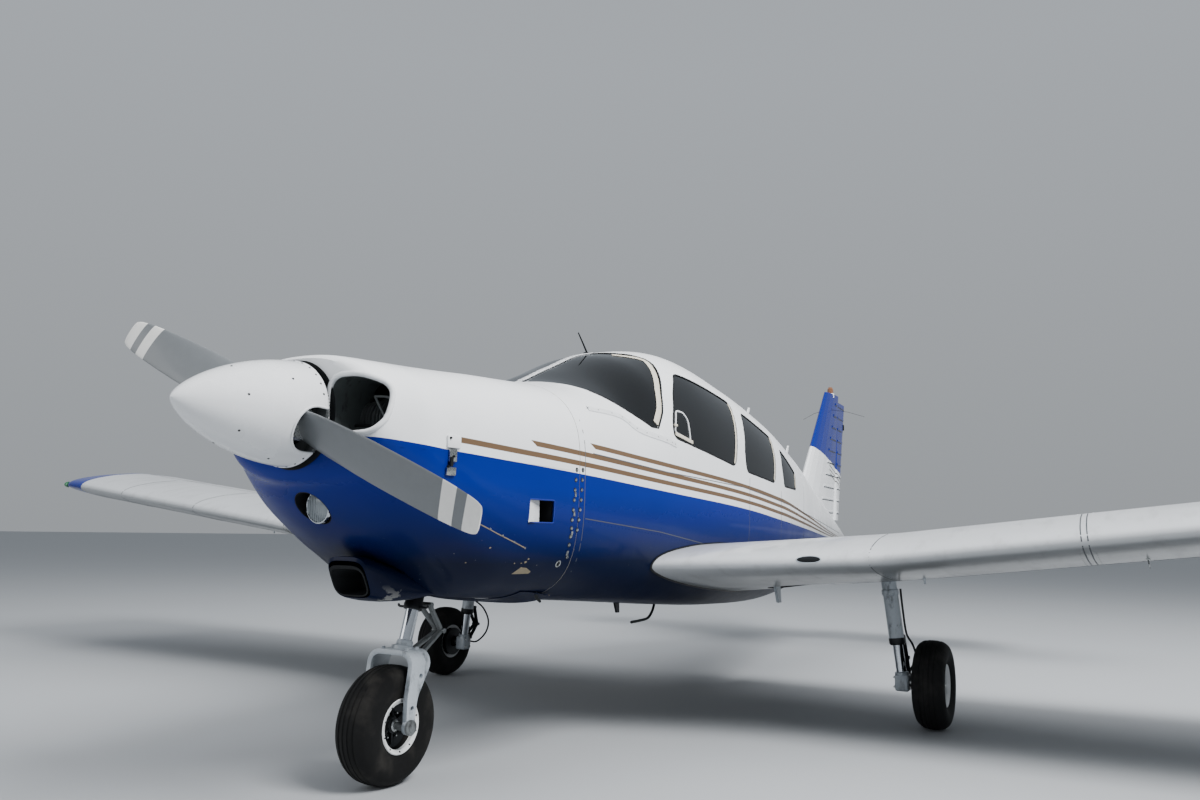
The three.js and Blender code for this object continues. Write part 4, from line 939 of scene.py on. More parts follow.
def tinted_acrylic():
    """Blown acrylic with a blue-grey tint, clear and glossy, faintly hazed by scratches."""
    material, tree, output = new_material("tinted_acrylic")
    where = add_node(tree, "ShaderNodeTexCoord").outputs["Object"]
    haze = ramp(tree, noise_at(tree, where, 0.2), 0.3, 0.7, 0.015, 0.05)
    clear = add_node(tree, "ShaderNodeBsdfTransparent", {"Color": linear("#93a1ab")})
    mirror = add_node(tree, "ShaderNodeBsdfGlossy", {"Color": linear("#f4f7fa")}, {"Roughness": haze})
    fresnel = add_node(tree, "ShaderNodeFresnel", {"IOR": 1.5})
    mix = add_node(tree, "ShaderNodeMixShader", {},
                   {0: fresnel.outputs[0], 1: clear.outputs[0], 2: mirror.outputs[0]})
    tree.links.new(mix.outputs[0], output.inputs[0])
    return material


# Settings


class AircraftPaint(bpy.types.PropertyGroup):
    white: FloatVectorProperty(name="White", description="Upper hull and spinner", subtype="COLOR", size=3,
                               default=linear("#e8eaec")[:3])
    blue: FloatVectorProperty(name="Blue", description="Lower hull, fin top and wing tips", subtype="COLOR",
                              size=3, default=linear("#06207a")[:3])
    stripe: FloatVectorProperty(name="Stripe", description="Tan stripes", subtype="COLOR", size=3,
                                default=linear("#66523f")[:3])
    blade: FloatVectorProperty(name="Blade", description="Propeller blades", subtype="COLOR", size=3,
                               default=linear("#6e7275")[:3])
    stripe_width: FloatProperty(name="Stripe width", description="Width of each stripe", default=0.0215,
                                unit="LENGTH")
    stripe_gap: FloatProperty(name="Stripe spacing", description="Distance between stripes", default=0.043,
                              unit="LENGTH")


class AircraftHull(bpy.types.PropertyGroup):
    around: IntProperty(name="Faces around", description="Faces round each skin", default=120)
    every: FloatProperty(name="Ring spacing", description="Distance between rings", default=0.035,
                         unit="LENGTH")
    cowl_wall: FloatProperty(name="Cowl wall", description="Thickness of the cowl", default=0.008,
                             unit="LENGTH")
    cabin_wall: FloatProperty(name="Cabin wall", description="Thickness of the cabin wall with its trim",
                              default=0.026, unit="LENGTH")
    door_gap: FloatProperty(name="Door gap", description="Gap round each door", default=0.006, unit="LENGTH")
    glass: FloatProperty(name="Glass", description="Thickness of the windows", default=0.004, unit="LENGTH")
    rivet: FloatProperty(name="Rivet", description="Radius of a rivet head", default=0.0032, unit="LENGTH")


class AircraftStage(bpy.types.PropertyGroup):
    floor: FloatProperty(name="Floor", description="Half width of the studio floor", default=90.0,
                         unit="LENGTH")
    lens: FloatProperty(name="Lens", description="Focal length on a 36 mm wide sensor", default=28.71)
    camera: FloatVectorProperty(name="Camera", description="Where the camera stands", size=3,
                                subtype="TRANSLATION", default=(2.563, -5.7204, 0.9675))
    yaw: FloatProperty(name="Yaw", description="Turn of the camera from straight aft",
                       default=math.radians(29.4255), unit="ROTATION")
    pitch: FloatProperty(name="Pitch", description="Upward tilt of the camera", default=math.radians(7.8606),
                         unit="ROTATION")
    roll: FloatProperty(name="Roll", description="Roll of the camera", default=math.radians(1.093),
                        unit="ROTATION")


# Hull, cowling and cabin


def line_inside(bm, anchor=None):
    """Gives faces that look towards the middle of a shell the second finish."""
    bm.normal_update()
    for face in bm.faces:
        middle = face.calc_center_median()
        y = middle.y if anchor is None else anchor + AXLE_Y
        core = Vector((0, y, HULL[1](y - AXLE_Y)))
        face.material_index = 1 if face.normal.dot(middle - core) < 0 else 0


def hull_shell(start, end, wall, inset=0.0, lined=True):
    """A closed shell of the hull between two stations, with its wall inside the outer surface."""
    sizes = bpy.context.scene.aircraft_hull
    bm = bmesh.new()
    count = max(8, round((end - start) / sizes.every))
    lay(bm, sizes.around, count, lambda u, v: hull_point(start + (end - start) * v, u * TAU, inset))
    bmesh.ops.recalc_face_normals(bm, faces=bm.faces)
    bmesh.ops.solidify(bm, geom=bm.faces[:], thickness=wall)
    if lined:
        line_inside(bm)
    return bm


def hull_solid(start, end, inset=0.0, steps=60):
    """The hull's space as a cutter."""
    bm = bmesh.new()
    lay(bm, 96, steps, lambda u, v: hull_point(start + (end - start) * v, u * TAU, inset))
    close(bm)
    return cutter(bm)


def hull_disc(bm, station, inset, thick):
    """A bulkhead across the hull."""
    middle = Vector((0, station + AXLE_Y, HULL[1](station)))
    made = lay(bm, 72, 8, lambda u, v: middle.lerp(hull_point(station, u * TAU, inset), v))
    bmesh.ops.solidify(bm, geom=list({f for vert in made if vert.is_valid for f in vert.link_faces}),
                       thickness=thick)


def front_prism(outline, start, end, side=1):
    """A front-view outline stretched along the hull."""
    bm = bmesh.new()
    extruded(bm, [(x, start + AXLE_Y, z) for x, z in outline], (0, end - start, 0))
    return cutter(bm, side)


def split_cutter(above):
    """Everything above or below the line that parts the cowl."""
    ends = [(y, line_at(COWL_SPLIT, y) + (0.0012 if above else -0.0012)) for y in (-0.8, 0.7)]
    far = 2.2 if above else 0.3
    return prism([*ends, (0.7, far), (-0.8, far)], -0.9, 0.9)


LAMP_AXIS = Vector((0, -math.cos(LAMP["tilt"]), -math.sin(LAMP["tilt"])))
LAMP_CENTRE = Vector((0, LAMP["y"] + AXLE_Y, LAMP["z"]))
RECESS_CENTRE = LAMP_CENTRE + Vector((-0.028, 0.0, 0.012))
# The lamp itself stands more upright in its recess
LENS_AXIS = Vector((-0.06, -1.0, -0.12)).normalized()
LENS_CENTRE = LAMP_CENTRE + Vector((-0.016, -0.010, 0.004))


def lamp_cutter(radius, start, end):
    bm = bmesh.new()
    pipe(bm, RECESS_CENTRE + LAMP_AXIS * start, RECESS_CENTRE + LAMP_AXIS * end, radius, sides=48)
    return cutter(bm)


def cowl_place(u, v):
    """The cowl's surface: a cap round the spinner, then the hull."""
    rim = 0.12
    turn = u * TAU
    if v >= rim:
        share = ((v - rim) / (1 - rim)) ** 1.15
        return hull_point(NOSE_END + (FIREWALL - 0.002 - NOSE_END) * share, turn)
    share = v / rim
    ring = hull_point(NOSE_END, turn)
    hub = Vector((0.125 * math.cos(turn), ring.y - 0.002, PROP["z"] + 0.125 * math.sin(turn)))
    return hub.lerp(ring, share)


def inlet_lips(inlet):
    """Rolled lips round the inlets with their sheet sleeves."""
    for side, place_name in SIDES:
        edge = spread(inlet, 0.02)
        front = [Vector((side * p.x, nose_station(p.x, p.y) + AXLE_Y, p.y)) for p in edge]
        bm = bmesh.new()
        sweep(bm, front, 0.02, sides=12, axis=(0, 1, 0), loop=True)
        make(bm, f"inlet_lip_{place_name}", "airframe", "gloss_enamel_white")
        bm = bmesh.new()
        count = len(front)

        def sleeve(u, v):
            start = front[round(u * count) % count]
            return start.lerp(Vector((start.x * 0.98, -0.33 + AXLE_Y, start.z)), v)

        lay(bm, count, 6, sleeve)
        bmesh.ops.solidify(bm, geom=bm.faces[:], thickness=0.002)
        make(bm, f"inlet_sleeve_{place_name}", "airframe", "baffle_primer")


def chin_scoop():
    """Air scoop under the chin, open to the front."""
    throat = ((-0.125, 0.002, 0.766, 0.769), (-0.126, 0.05, 0.735, 0.8), (-0.2, 0.066, 0.727, 0.81),
              (-0.268, 0.079, 0.719, 0.817), (-0.275, 0.084, 0.714, 0.828))
    rows = ((-0.277, 0.09, 0.708, 0.846), *SCOOP_ROWS, (0.135, 0.12, 0.716, 0.722))
    for name, profile, finish_name in (("chin_scoop", rows, "gloss_enamel_livery"),
                                       ("chin_scoop_throat", throat, "duct_paint")):
        bm = bmesh.new()

        def place(u, v):
            y, half, low, high = profile[round(v * (len(profile) - 1))]
            c, s = math.cos(u * TAU), math.sin(u * TAU)
            rise = power(s, 0.5) * (high - low) / 2
            # The mouth leans back towards its lower edge
            lean = min(1.0, max(0.0, (-0.1 - y) / 0.17)) * 0.5 * ((high - low) / 2 - rise)
            return Vector((half * power(c, 0.5), y + lean + AXLE_Y, (low + high) / 2 + rise))

        lay(bm, 64, len(profile) - 1, place)
        if name == "chin_scoop":
            bmesh.ops.subdivide_edges(bm, edges=[e for e in bm.edges
                                                 if abs((e.verts[0].co - e.verts[1].co).y) > 0.05],
                                      cuts=3, smooth=0.3)
        bmesh.ops.recalc_face_normals(bm, faces=bm.faces)
        bmesh.ops.solidify(bm, geom=bm.faces[:], thickness=0.003)
        make(bm, name, "airframe", finish_name)


def landing_lamp():
    """Landing light: recess wall darkened as painted shade, bowl, ribbed glass and trim ring."""
    radius = LAMP["radius"]
    # The near-black recess wall is painted shade round the lamp
    bm = bmesh.new()
    wall = [(radius + 0.0035, -0.03), (radius + 0.0035, 0.25), (radius + 0.0005, 0.25),
            (radius + 0.0005, -0.03)]
    spun(bm, [*wall, wall[0]], RECESS_CENTRE, LAMP_AXIS, 64)
    recess = make(bm, "lamp_recess", "airframe", "duct_paint")
    carve(recess, [hull_solid(NOSE_END + 0.001, 0.1, 0.0005, 80)], "INTERSECT")
    bm = bmesh.new()
    bowl = [(0.0, -0.028), (0.03, -0.023), (0.05, -0.013), (0.0575, -0.004), (0.0605, -0.006),
            (0.0605, -0.009), (0.052, -0.018), (0.03, -0.026), (0.0, -0.03)]
    spun(bm, bowl, LENS_CENTRE, LENS_AXIS, 48)
    pipe(bm, LENS_CENTRE - LENS_AXIS * 0.027, LENS_CENTRE - LENS_AXIS * 0.012, 0.009)
    make(bm, "lamp_bowl", "airframe", "lamp_mirror")
    bm = bmesh.new()
    glass = [(0.0, 0.006), (0.028, 0.005), (0.048, 0.002), (0.056, -0.002), (0.056, -0.005), (0.0, 0.002)]
    spun(bm, glass, LENS_CENTRE, LENS_AXIS, 48)
    across = LENS_AXIS.cross(Vector((1, 0, 0))).normalized()
    rib_gap, rib_reach = 0.0095, 0.053
    for k in range(-5, 6):
        reach = math.sqrt(rib_reach ** 2 - (k * rib_gap) ** 2)
        middle = LENS_CENTRE + Vector((k * rib_gap, 0, 0)) + LENS_AXIS * (0.0055 - 0.0045 * (k / 5.5) ** 2)
        sweep(bm, [middle - across * reach, middle, middle + across * reach], 0.005, 0.003, sides=6)
    make(bm, "lamp_lens", "airframe", "lamp_glass", ["landing_light"])
    bm = bmesh.new()
    ring = [(0.0535, 0.002), (0.056, 0.006), (0.0595, 0.005), (0.0605, -0.006), (0.0545, -0.006)]
    spun(bm, [*ring, ring[0]], LENS_CENTRE, LENS_AXIS, 64)
    make(bm, "lamp_ring", "airframe", "chromed_steel")


def side_vent():
    """Side air exit: a pale ramp that runs inwards, dark behind it."""
    y0, y1, z0, z1 = VENT
    face = hull_half((y0 + y1) / 2, (z0 + z1) / 2)
    depth, inset, wall = 0.09, 0.006, 0.003
    bm = bmesh.new()
    for low, high in (((face - depth, y0, z0 - wall), (face - inset, y1, z0)),
                      ((face - depth, y0, z1), (face - inset, y1, z1 + wall)),
                      ((face - depth, y1, z0), (face - inset, y1 + wall, z1)),
                      ((face - depth - wall, y0, z0), (face - depth, y1, z1))):
        station_block(bm, low, high)
    make(bm, "vent_box", "airframe", "duct_paint")
    bm = bmesh.new()
    edge = hull_half(y0, (z0 + z1) / 2)
    ramp_line = [(edge - 0.001, y0 + AXLE_Y, z0), (edge - 0.018, y0 + 0.1 + AXLE_Y, z0),
                 (edge - 0.022, y0 + 0.1 + AXLE_Y, z0), (edge - 0.008, y0 + AXLE_Y, z0)]
    extruded(bm, ramp_line, (0, 0, z1 - z0))
    make(bm, "vent_ramp", "airframe", "gloss_enamel_white")
    bm = bmesh.new()
    rim = spread(rounded(((y0, z0), (y1, z0), (y1, z1), (y0, z1)), 0.008), 0.03)
    sweep(bm, side_row(rim, 1, 0.0005), 0.006, 0.003, sides=6, loop=True)
    make(bm, "vent_rim", "airframe", "gloss_enamel_blue")


def cowl_exit_lip():
    """Flared lip where the cooling air leaves under the firewall."""
    lip_end = 0.548
    bm = bmesh.new()

    def place(u, v):
        station = 0.36 + 0.19 * v
        return hull_spot(min(station, lip_end), math.radians(-120 + 60 * u), 0.001 + 0.014 * v * v)[0]

    lay(bm, 48, 10, place)
    bmesh.ops.solidify(bm, geom=bm.faces[:], thickness=0.003)
    make(bm, "cowl_exit_lip", "airframe", "gloss_enamel_livery")
    bm = bmesh.new()
    edge = [hull_spot(lip_end, math.radians(a), 0.014) for a in range(-120, -59, 6)]
    strip(bm, edge, 0.006, 0.002)
    make(bm, "cowl_exit_edge", "airframe", "bare_filler")


class AIRCRAFT_OT_cowling(bpy.types.Operator):
    """Upper and lower engine cowl with inlets, vent, scoop and lamp recess"""
    bl_idname = "aircraft.cowling"
    bl_label = "Cowling"

    def execute(self, context):
        sizes = context.scene.aircraft_hull
        inlet = rounded(INLET_LOOK, 0.07)
        y0, y1, z0, z1 = VENT
        for name, low, node, slot in (("cowl_top_skin", False, "cowl_upper", "white_cowl"),
                                      ("cowl_bottom_skin", True, "cowl_lower", "blue_cowl")):
            bm = bmesh.new()
            lay(bm, sizes.around, 60, cowl_place)
            bmesh.ops.recalc_face_normals(bm, faces=bm.faces)
            bmesh.ops.solidify(bm, geom=bm.faces[:], thickness=sizes.cowl_wall)
            line_inside(bm, 0.2)
            piece = make(bm, name, "airframe", "gloss_enamel_livery duct_paint", [node])
            cuts = [split_cutter(low)] + [front_prism(inlet, -0.75, -0.3, side) for side in (1, -1)]
            if low:
                bm = bmesh.new()
                station_block(bm, (-0.095, -0.07, 0.6), (0.095, 0.33, 0.9), 0.02)
                vent = rounded(((y0, z0), (y1, z0), (y1, z1), (y0, z1)), 0.008)
                cuts += [cutter(bm), lamp_cutter(LAMP["radius"] + 0.004, -0.03, 0.25), prism(vent, 0.35, 0.7)]
            carve(piece, cuts)

        inlet_lips(inlet)
        chin_scoop()
        landing_lamp()
        side_vent()
        cowl_exit_lip()
        return {"FINISHED"}


class AIRCRAFT_OT_cabin(bpy.types.Operator):
    """Cabin skin, cabin door, baggage door and tail cone"""
    bl_idname = "aircraft.cabin"
    bl_label = "Cabin and tail cone skins"

    def execute(self, context):
        sizes = context.scene.aircraft_hull
        starboard = (-0.8, -0.15)
        sides = ((0.02, 0.8), (-0.8, -0.02))
        shield = rounded(WINDSHIELD, 0.03)
        cuts = [prism(shield, 0.014, 0.8), prism(shield, -0.8, -0.014)]
        for window, outline in WINDOWS.items():
            cuts += [prism(rounded(outline, WINDOW_ROUND[window]), *side) for side in sides]
        cuts += [prism(rounded(grown(outline, sizes.door_gap), 0.03), *starboard)
                 for outline in (CABIN_DOOR, BAGGAGE_DOOR)]
        shell = hull_shell(FIREWALL + 0.001, BULKHEAD - 0.0005, sizes.cabin_wall)
        piece = make(shell, "cabin_skin", "airframe", "gloss_enamel_livery cabin_lining",
                     ["cabin_shell"])
        carve(piece, cuts)

        for name, outline, window in (("cabin_door", CABIN_DOOR, "front"),
                                      ("baggage_door", BAGGAGE_DOOR, None)):
            stations = [p[0] for p in outline]
            shell = hull_shell(min(stations) - 0.1, max(stations) + 0.1, sizes.cabin_wall)
            piece = make(shell, f"{name}_skin", f"{name}_body",
                         "gloss_enamel_livery cabin_lining", [name])
            carve(piece, [prism(rounded(outline, 0.03), *starboard)], "INTERSECT")
            if window:
                carve(piece, [prism(rounded(WINDOWS[window], WINDOW_ROUND[window]), *starboard)])

        bm = bmesh.new()
        span = CONE_END - BULKHEAD
        lay(bm, sizes.around, round(span / sizes.every),
            lambda u, v: hull_point(BULKHEAD + 0.0005 + span * v, u * TAU))
        close(bm)
        make(bm, "tail_cone_skin", "airframe", "gloss_enamel_livery", ["tail_cone"])
        return {"FINISHED"}


def window_seals(place, side):
    """Black seals round the panes and cream sealant on their rear edges."""
    for name, outline in WINDOWS.items():
        rides = "cabin_door_body" if (name, side) == ("front", -1) else "airframe"
        edge = spread(rounded(outline, WINDOW_ROUND[name]), 0.05)
        bm = bmesh.new()
        strip(bm, side_row(edge, side, -0.001), 0.012, 0.0015, loop=True)
        make(bm, f"seal_{name}_{place}", rides, "seal_rubber")
        rear = grown(outline, -0.013)[1:3 if name == "rear" else 4]
        path = spread(rear, 0.05, loop=False)
        bm = bmesh.new()
        strip(bm, side_row(path, side, -0.001), 0.022, 0.0015)
        make(bm, f"sealant_{name}_{place}", rides, "aged_sealant")
    bm = bmesh.new()
    rear = spread(WINDSHIELD[4:13], 0.03, loop=False)
    strip(bm, side_row(rear, side), 0.01, 0.002)
    front = spread(WINDSHIELD[1:5], 0.03, loop=False)
    strip(bm, side_row(front, side), 0.012, 0.0015)
    make(bm, f"windshield_seal_{place}", "airframe", "seal_rubber")
    bm = bmesh.new()
    path = spread(grown(WINDSHIELD, -0.023)[5:13], 0.03, loop=False)
    strip(bm, side_row(path, side, -0.001), 0.036, 0.0015)
    make(bm, f"windshield_sealant_{place}", "airframe", "aged_sealant")
    # Fairing strip along the windshield's foot
    bm = bmesh.new()
    foot = smooth_path([(y, z, 0) for y, z in ((0.682, 1.506), (0.931, 1.5), (1.067, 1.446), (1.3, 1.42),
                                               (1.4, 1.404))], 8)
    strip(bm, side_row(foot, side, 0.001), 0.03, 0.0025)
    make(bm, f"windshield_fairing_{place}", "airframe", "gloss_enamel_white")
    bm = bmesh.new()
    studs(bm, side_row(foot[::3], side, 0.0035), 0.0045, 0.0012)
    make(bm, f"fairing_screws_{place}", "airframe", "plated_steel")


def centre_strip():
    """White strip over the joint of the windshield halves."""
    bm = bmesh.new()
    top = span_of(0.835, 1.5, 0.03)
    strip(bm, [top_spot(y, 0.0015) for y in top], 0.036, 0.003)
    make(bm, "windshield_strip", "airframe", "gloss_enamel_white")
    bm = bmesh.new()
    for side in (-1, 1):
        spots = [top_spot(y, 0.0045) for y in span_of(0.86, 1.48, 0.062)]
        studs(bm, [(point + Vector((side * 0.011, 0, 0)), normal) for point, normal in spots], 0.004, 0.001)
    make(bm, "strip_screws", "airframe", "plated_steel")


def storm_window():
    """Small hinged pane in the front port window."""
    edge = spread(rounded(STORM_WINDOW, 0.02), 0.03)
    bm = bmesh.new()
    strip(bm, side_row(edge, 1), 0.009, 0.003, loop=True)
    make(bm, "storm_frame", "airframe", "gloss_enamel_white")
    bm = bmesh.new()
    sill = spread([(1.404, 1.462), (1.59, 1.434)], 0.03, loop=False)
    strip(bm, side_row(sill, 1, 0.003), 0.02, 0.003)
    plate(bm, side_spot(1.422, 1.505, 1, 0.004), (0.012, 0.03, 0.01), (0, 0, 1), 0.002)
    make(bm, "storm_sill", "airframe", "aged_sealant")


class AIRCRAFT_OT_glazing(bpy.types.Operator):
    """Windshield halves and side windows with their seals"""
    bl_idname = "aircraft.glazing"
    bl_label = "Windshield and windows"

    def execute(self, context):
        sizes = context.scene.aircraft_hull
        for side, place in SIDES:
            panes = [("windshield", WINDSHIELD, 0.0145, 0.03)]
            panes += [(f"window_{name}", outline, 0.02, WINDOW_ROUND[name]) for name,
                      outline in WINDOWS.items()]
            for name, outline, near, corner in panes:
                body = "cabin_door_body" if (name, side) == ("window_front", -1) else "airframe"
                stations = [p[0] for p in outline]
                shell = hull_shell(min(stations) - 0.08, max(stations) + 0.08, sizes.glass, 0.003, False)
                piece = make(shell, f"{name}_{place}_pane", body, "tinted_acrylic",
                             [f"{name}_{place}"])
                reach = (near, 0.8) if side > 0 else (-0.8, -near)
                carve(piece, [prism(rounded(grown(outline, -0.0003), corner), *reach)], "INTERSECT")
            window_seals(place, side)
        centre_strip()
        storm_window()
        return {"FINISHED"}


# Rivet rows and sheet joints of the hull: stations and heights of their corners
JOINTS = (
    ((0.572, 1.022), (1.246, 0.973), (1.824, 0.910)),
    ((0.560, 1.440), (0.560, 0.800)),
    ((2.420, 1.300), (2.420, 0.800)),
    ((3.060, 1.250), (3.060, 0.760)),
    ((3.780, 1.500), (3.780, 0.700)),
    ((4.600, 1.400), (4.600, 0.720)),
    ((5.350, 1.240), (5.350, 0.760)),
    ((0.620, 1.300), (1.300, 1.262), (2.300, 1.240), (3.800, 1.130), (5.900, 1.000)),
)
RIVET_ROWS = (
    ((0.600, 1.008), (1.246, 0.958), (1.824, 0.895)),
    ((1.250, 0.960), (1.250, 1.260)),
    ((1.800, 1.250), (1.800, 0.920)),
    ((0.640, 1.290), (1.300, 1.252), (2.300, 1.230), (3.800, 1.118), (5.880, 0.990)),
    ((2.435, 1.300), (2.435, 0.800)),
    ((3.795, 1.480), (3.795, 0.720)),
    ((4.615, 1.380), (4.615, 0.740)),
    ((5.365, 1.220), (5.365, 0.780)),
)
# Blade aerials: station, height and backward lean
AERIALS = ((3.780, 0.240, 0.150), (4.700, 0.250, 0.160))
# Screws of the cowl: stations and heights
COWL_SCREWS = (
    ((0.498, 1.222), (0.487, 1.138), (0.476, 1.015), (0.480, 0.913), (0.488, 0.864)),
    ((0.542, 1.224), (0.533, 1.099), (0.519, 0.975)),
)


def cowl_screws(side, place):
    bm = bmesh.new()
    washers = bmesh.new()
    for column in COWL_SCREWS:
        spots = spread(column, 0.05, loop=False)
        studs(bm, side_row(spots, side, 0.002), 0.0085, 0.003, 8)
        studs(washers, side_row(spots, side), 0.0135, 0.0016, 10)
    for p in spread(((0.49, 1.12), (0.48, 0.88)), 0.12, loop=False):
        plate(bm, side_spot(p.x, p.y, side, 0.001), (0.02, 0.012, 0.005), (0, 0, 1), 0.001)
    row = spread(((-0.082, 0.996), (0.203, 0.901)), 0.095, loop=False)
    studs(bm, side_row(row, side, 0.001), 0.005, 0.002)
    make(bm, f"cowl_screws_{place}", "airframe", "plated_steel")
    make(washers, f"cowl_washers_{place}", "airframe", "oiled_steel")
    bm = bmesh.new()
    strip(bm, side_row(spread(((-0.1, 1.0), (0.045, 0.95), (0.203, 0.901)), 0.03, loop=False), side), 0.004,
          0.001)
    make(bm, f"parting_line_{place}", "airframe", "bare_filler")


def cowl_latch(side, place):
    """Over-centre latch across the line that parts the cowl."""
    bm = bmesh.new()
    plate(bm, side_spot(-0.236, 1.274, side, 0.004), (0.044, 0.064, 0.01), (0, 0, 1), 0.003)
    make(bm, f"latch_plate_{place}", "airframe", "gloss_enamel_white")
    bm = bmesh.new()
    plate(bm, side_spot(-0.24, 1.226, side, 0.004), (0.046, 0.036, 0.012), (0, 0, 1), 0.003)
    plate(bm, side_spot(-0.244, 1.17, side, 0.005), (0.03, 0.044, 0.01), (0, 0, 1), 0.003)
    make(bm, f"latch_hook_{place}", "airframe", "plated_steel")
    bm = bmesh.new()
    plate(bm, side_spot(-0.25, 1.203, side, 0.008), (0.034, 0.014, 0.014), (0, 0, 1), 0.002)
    studs(bm, [side_spot(-0.256, 1.286, side, 0.01), side_spot(-0.24, 1.222, side, 0.012),
               side_spot(-0.262, 1.186, side, 0.012)], 0.006, 0.004, 8)
    make(bm, f"latch_bolts_{place}", "airframe", "oiled_steel")


def cowl_marks():
    """Filler patch, chips and drain hole on the port side."""
    bm = bmesh.new()
    outline = ((0.195, 0.8), (0.225, 0.826), (0.262, 0.822), (0.296, 0.808), (0.29, 0.8))
    middle = side_spot(0.245, 0.812)[1]
    extruded(bm, [side_spot(y, z, 1, -0.002)[0] for y, z in outline], middle * 0.003)
    for y, z, size in ((0.236, 0.846, 0.011), (0.246, 0.858, 0.008), (0.214, 0.842, 0.006),
                       (0.176, 0.842, 0.006), (-0.03, 0.846, 0.006), (0.02, 0.902, 0.007)):
        plate(bm, side_spot(y, z, 1, 0.0), (size, size * 0.7, 0.0016), (0, 1, 0.4))
    make(bm, "filler_patch", "airframe", "bare_filler")
    bm = bmesh.new()
    point, normal = side_spot(0.446, 0.836, 1, 0.0005)
    spun(bm, [(0.01, 0.0), (0.013, 0.002), (0.016, 0.0), (0.01, 0.0)], point, normal, 20)
    make(bm, "drain_rim", "airframe", "plated_steel")
    bm = bmesh.new()
    studs(bm, [(point, normal)], 0.011, 0.0008, 16)
    make(bm, "drain_hole", "airframe", "duct_paint")


def door_handles():
    """Door handle, baggage latch and hinge covers on the starboard side."""
    bm = bmesh.new()
    plate(bm, side_spot(2.19, 1.15, -1, 0.003), (0.12, 0.034, 0.008), (0, 1, 0), 0.003)
    plate(bm, side_spot(2.19 + 0.01, 1.15 + 0.003, -1, 0.012), (0.09, 0.014, 0.01), (0, 1, 0), 0.003)
    make(bm, "door_handle", "cabin_door_body", "plated_steel")
    bm = bmesh.new()
    plate(bm, side_spot(2.975, 0.93, -1, 0.003), (0.05, 0.03, 0.006), (0, 1, 0), 0.002)
    make(bm, "baggage_latch", "baggage_door_body", "plated_steel")
    bm = bmesh.new()
    for z in (1.1, 1.36):
        for k in (-1, 0, 1):
            plate(bm, side_spot(1.33, z + k * 0.022, -1, 0.002), (0.018, 0.016, 0.012), (0, 0, 1), 0.003)
    make(bm, "door_hinge_covers", "airframe", "gloss_enamel_white")


def hull_aerials():
    """Whip, blade aerials, belly stub and drain tubes."""
    bm = bmesh.new()
    root = top_spot(1.47)[0]
    sweep(bm, [root, root + Vector((0, -0.045, 0.045)), root + Vector((0, -0.1, 0.097))],
          lambda v: 0.011 - 0.004 * v, sides=8)
    plate(bm, (root, Vector((0, 0, 1))), (0.05, 0.03, 0.012), (0, 1, 0), 0.005)
    make(bm, "whip_aerial", "airframe", "oiled_steel")
    bm = bmesh.new()
    for station, height, lean in AERIALS:
        foot = top_spot(station)[0]
        tip = foot + Vector((0, lean, height))

        def blade(u, v):
            c, s = math.cos(u * TAU), math.sin(u * TAU)
            chord = 0.04 - 0.02 * v
            return foot.lerp(tip, v) + Vector((s * 0.007, c * chord, -0.004 * (1 - v)))

        lay(bm, 20, 8, blade)
        close(bm)
        plate(bm, (foot, Vector((0, 0, 1))), (0.13, 0.04, 0.008), (0, 1, 0), 0.003)
    make(bm, "blade_aerials", "airframe", "gloss_enamel_white")
    # Black stub and bent rod under the belly, and two breather tubes behind the cowl
    bm = bmesh.new()
    belly = hull_spot(1.84, -TAU / 4)[0]
    stub = ((-0.025, 0.01), (0.03, 0.01), (0.034, -0.055), (0.006, -0.055))
    extruded(bm, [belly + Vector((-0.006, dy, dz)) for dy, dz in stub], (0.012, 0, 0))
    rod = hull_spot(2.33, -TAU / 4)[0]
    path = ((0.0, 0.01), (-0.03, -0.04), (-0.09, -0.078), (-0.2, -0.086), (-0.3, -0.088))
    bend = [rod + Vector((0, dy, dz)) for dy, dz in path]
    sweep(bm, smooth_path(bend, 6), 0.016, sides=10)
    for x in (-0.12, 0.12):
        foot = hull_spot(0.47, -TAU / 4 + (0.5 if x > 0 else -0.5))[0]
        sweep(bm, smooth_path([foot + Vector((0, 0, 0.02)), foot + Vector((0, 0.01, -0.02)),
                               foot + Vector((0, 0.04, -0.04))], 5), 0.012, sides=10)
    make(bm, "belly_fittings", "airframe", "oiled_steel")


class AIRCRAFT_OT_hull_trim(bpy.types.Operator):
    """Joints, rivets, latches, handles, aerials and chips of the hull"""
    bl_idname = "aircraft.hull_trim"
    bl_label = "Hull trim"

    def execute(self, context):
        radius = context.scene.aircraft_hull.rivet
        for side, place in SIDES:
            bm = bmesh.new()
            for joint in JOINTS:
                strip(bm, side_row(spread(joint, 0.05, loop=False), side), 0.0045, 0.0005)
            make(bm, f"joints_{place}", "airframe", "joint_dirt_and_bead_shade")
            bm = bmesh.new()
            for row in RIVET_ROWS:
                studs(bm, side_row(spread(row, 0.032, loop=False), side), radius, 0.0009, 6)
            make(bm, f"rivets_{place}", "airframe", "gloss_enamel_livery")
            cowl_screws(side, place)
            cowl_latch(side, place)
        cowl_marks()
        door_handles()
        hull_aerials()
        return {"FINISHED"}


# Propeller and engine


def spinner_radius(y):
    """The spinner's radius at a station."""
    t = min(1.0, max(0.0, (PROP["base"] - y) / (PROP["base"] - PROP["tip"])))
    return PROP["spinner"] * max(0.0, 1 - t ** 1.75) ** 0.72


PROP_CENTRE = Vector((0, PROP["y"] + AXLE_Y, PROP["z"]))


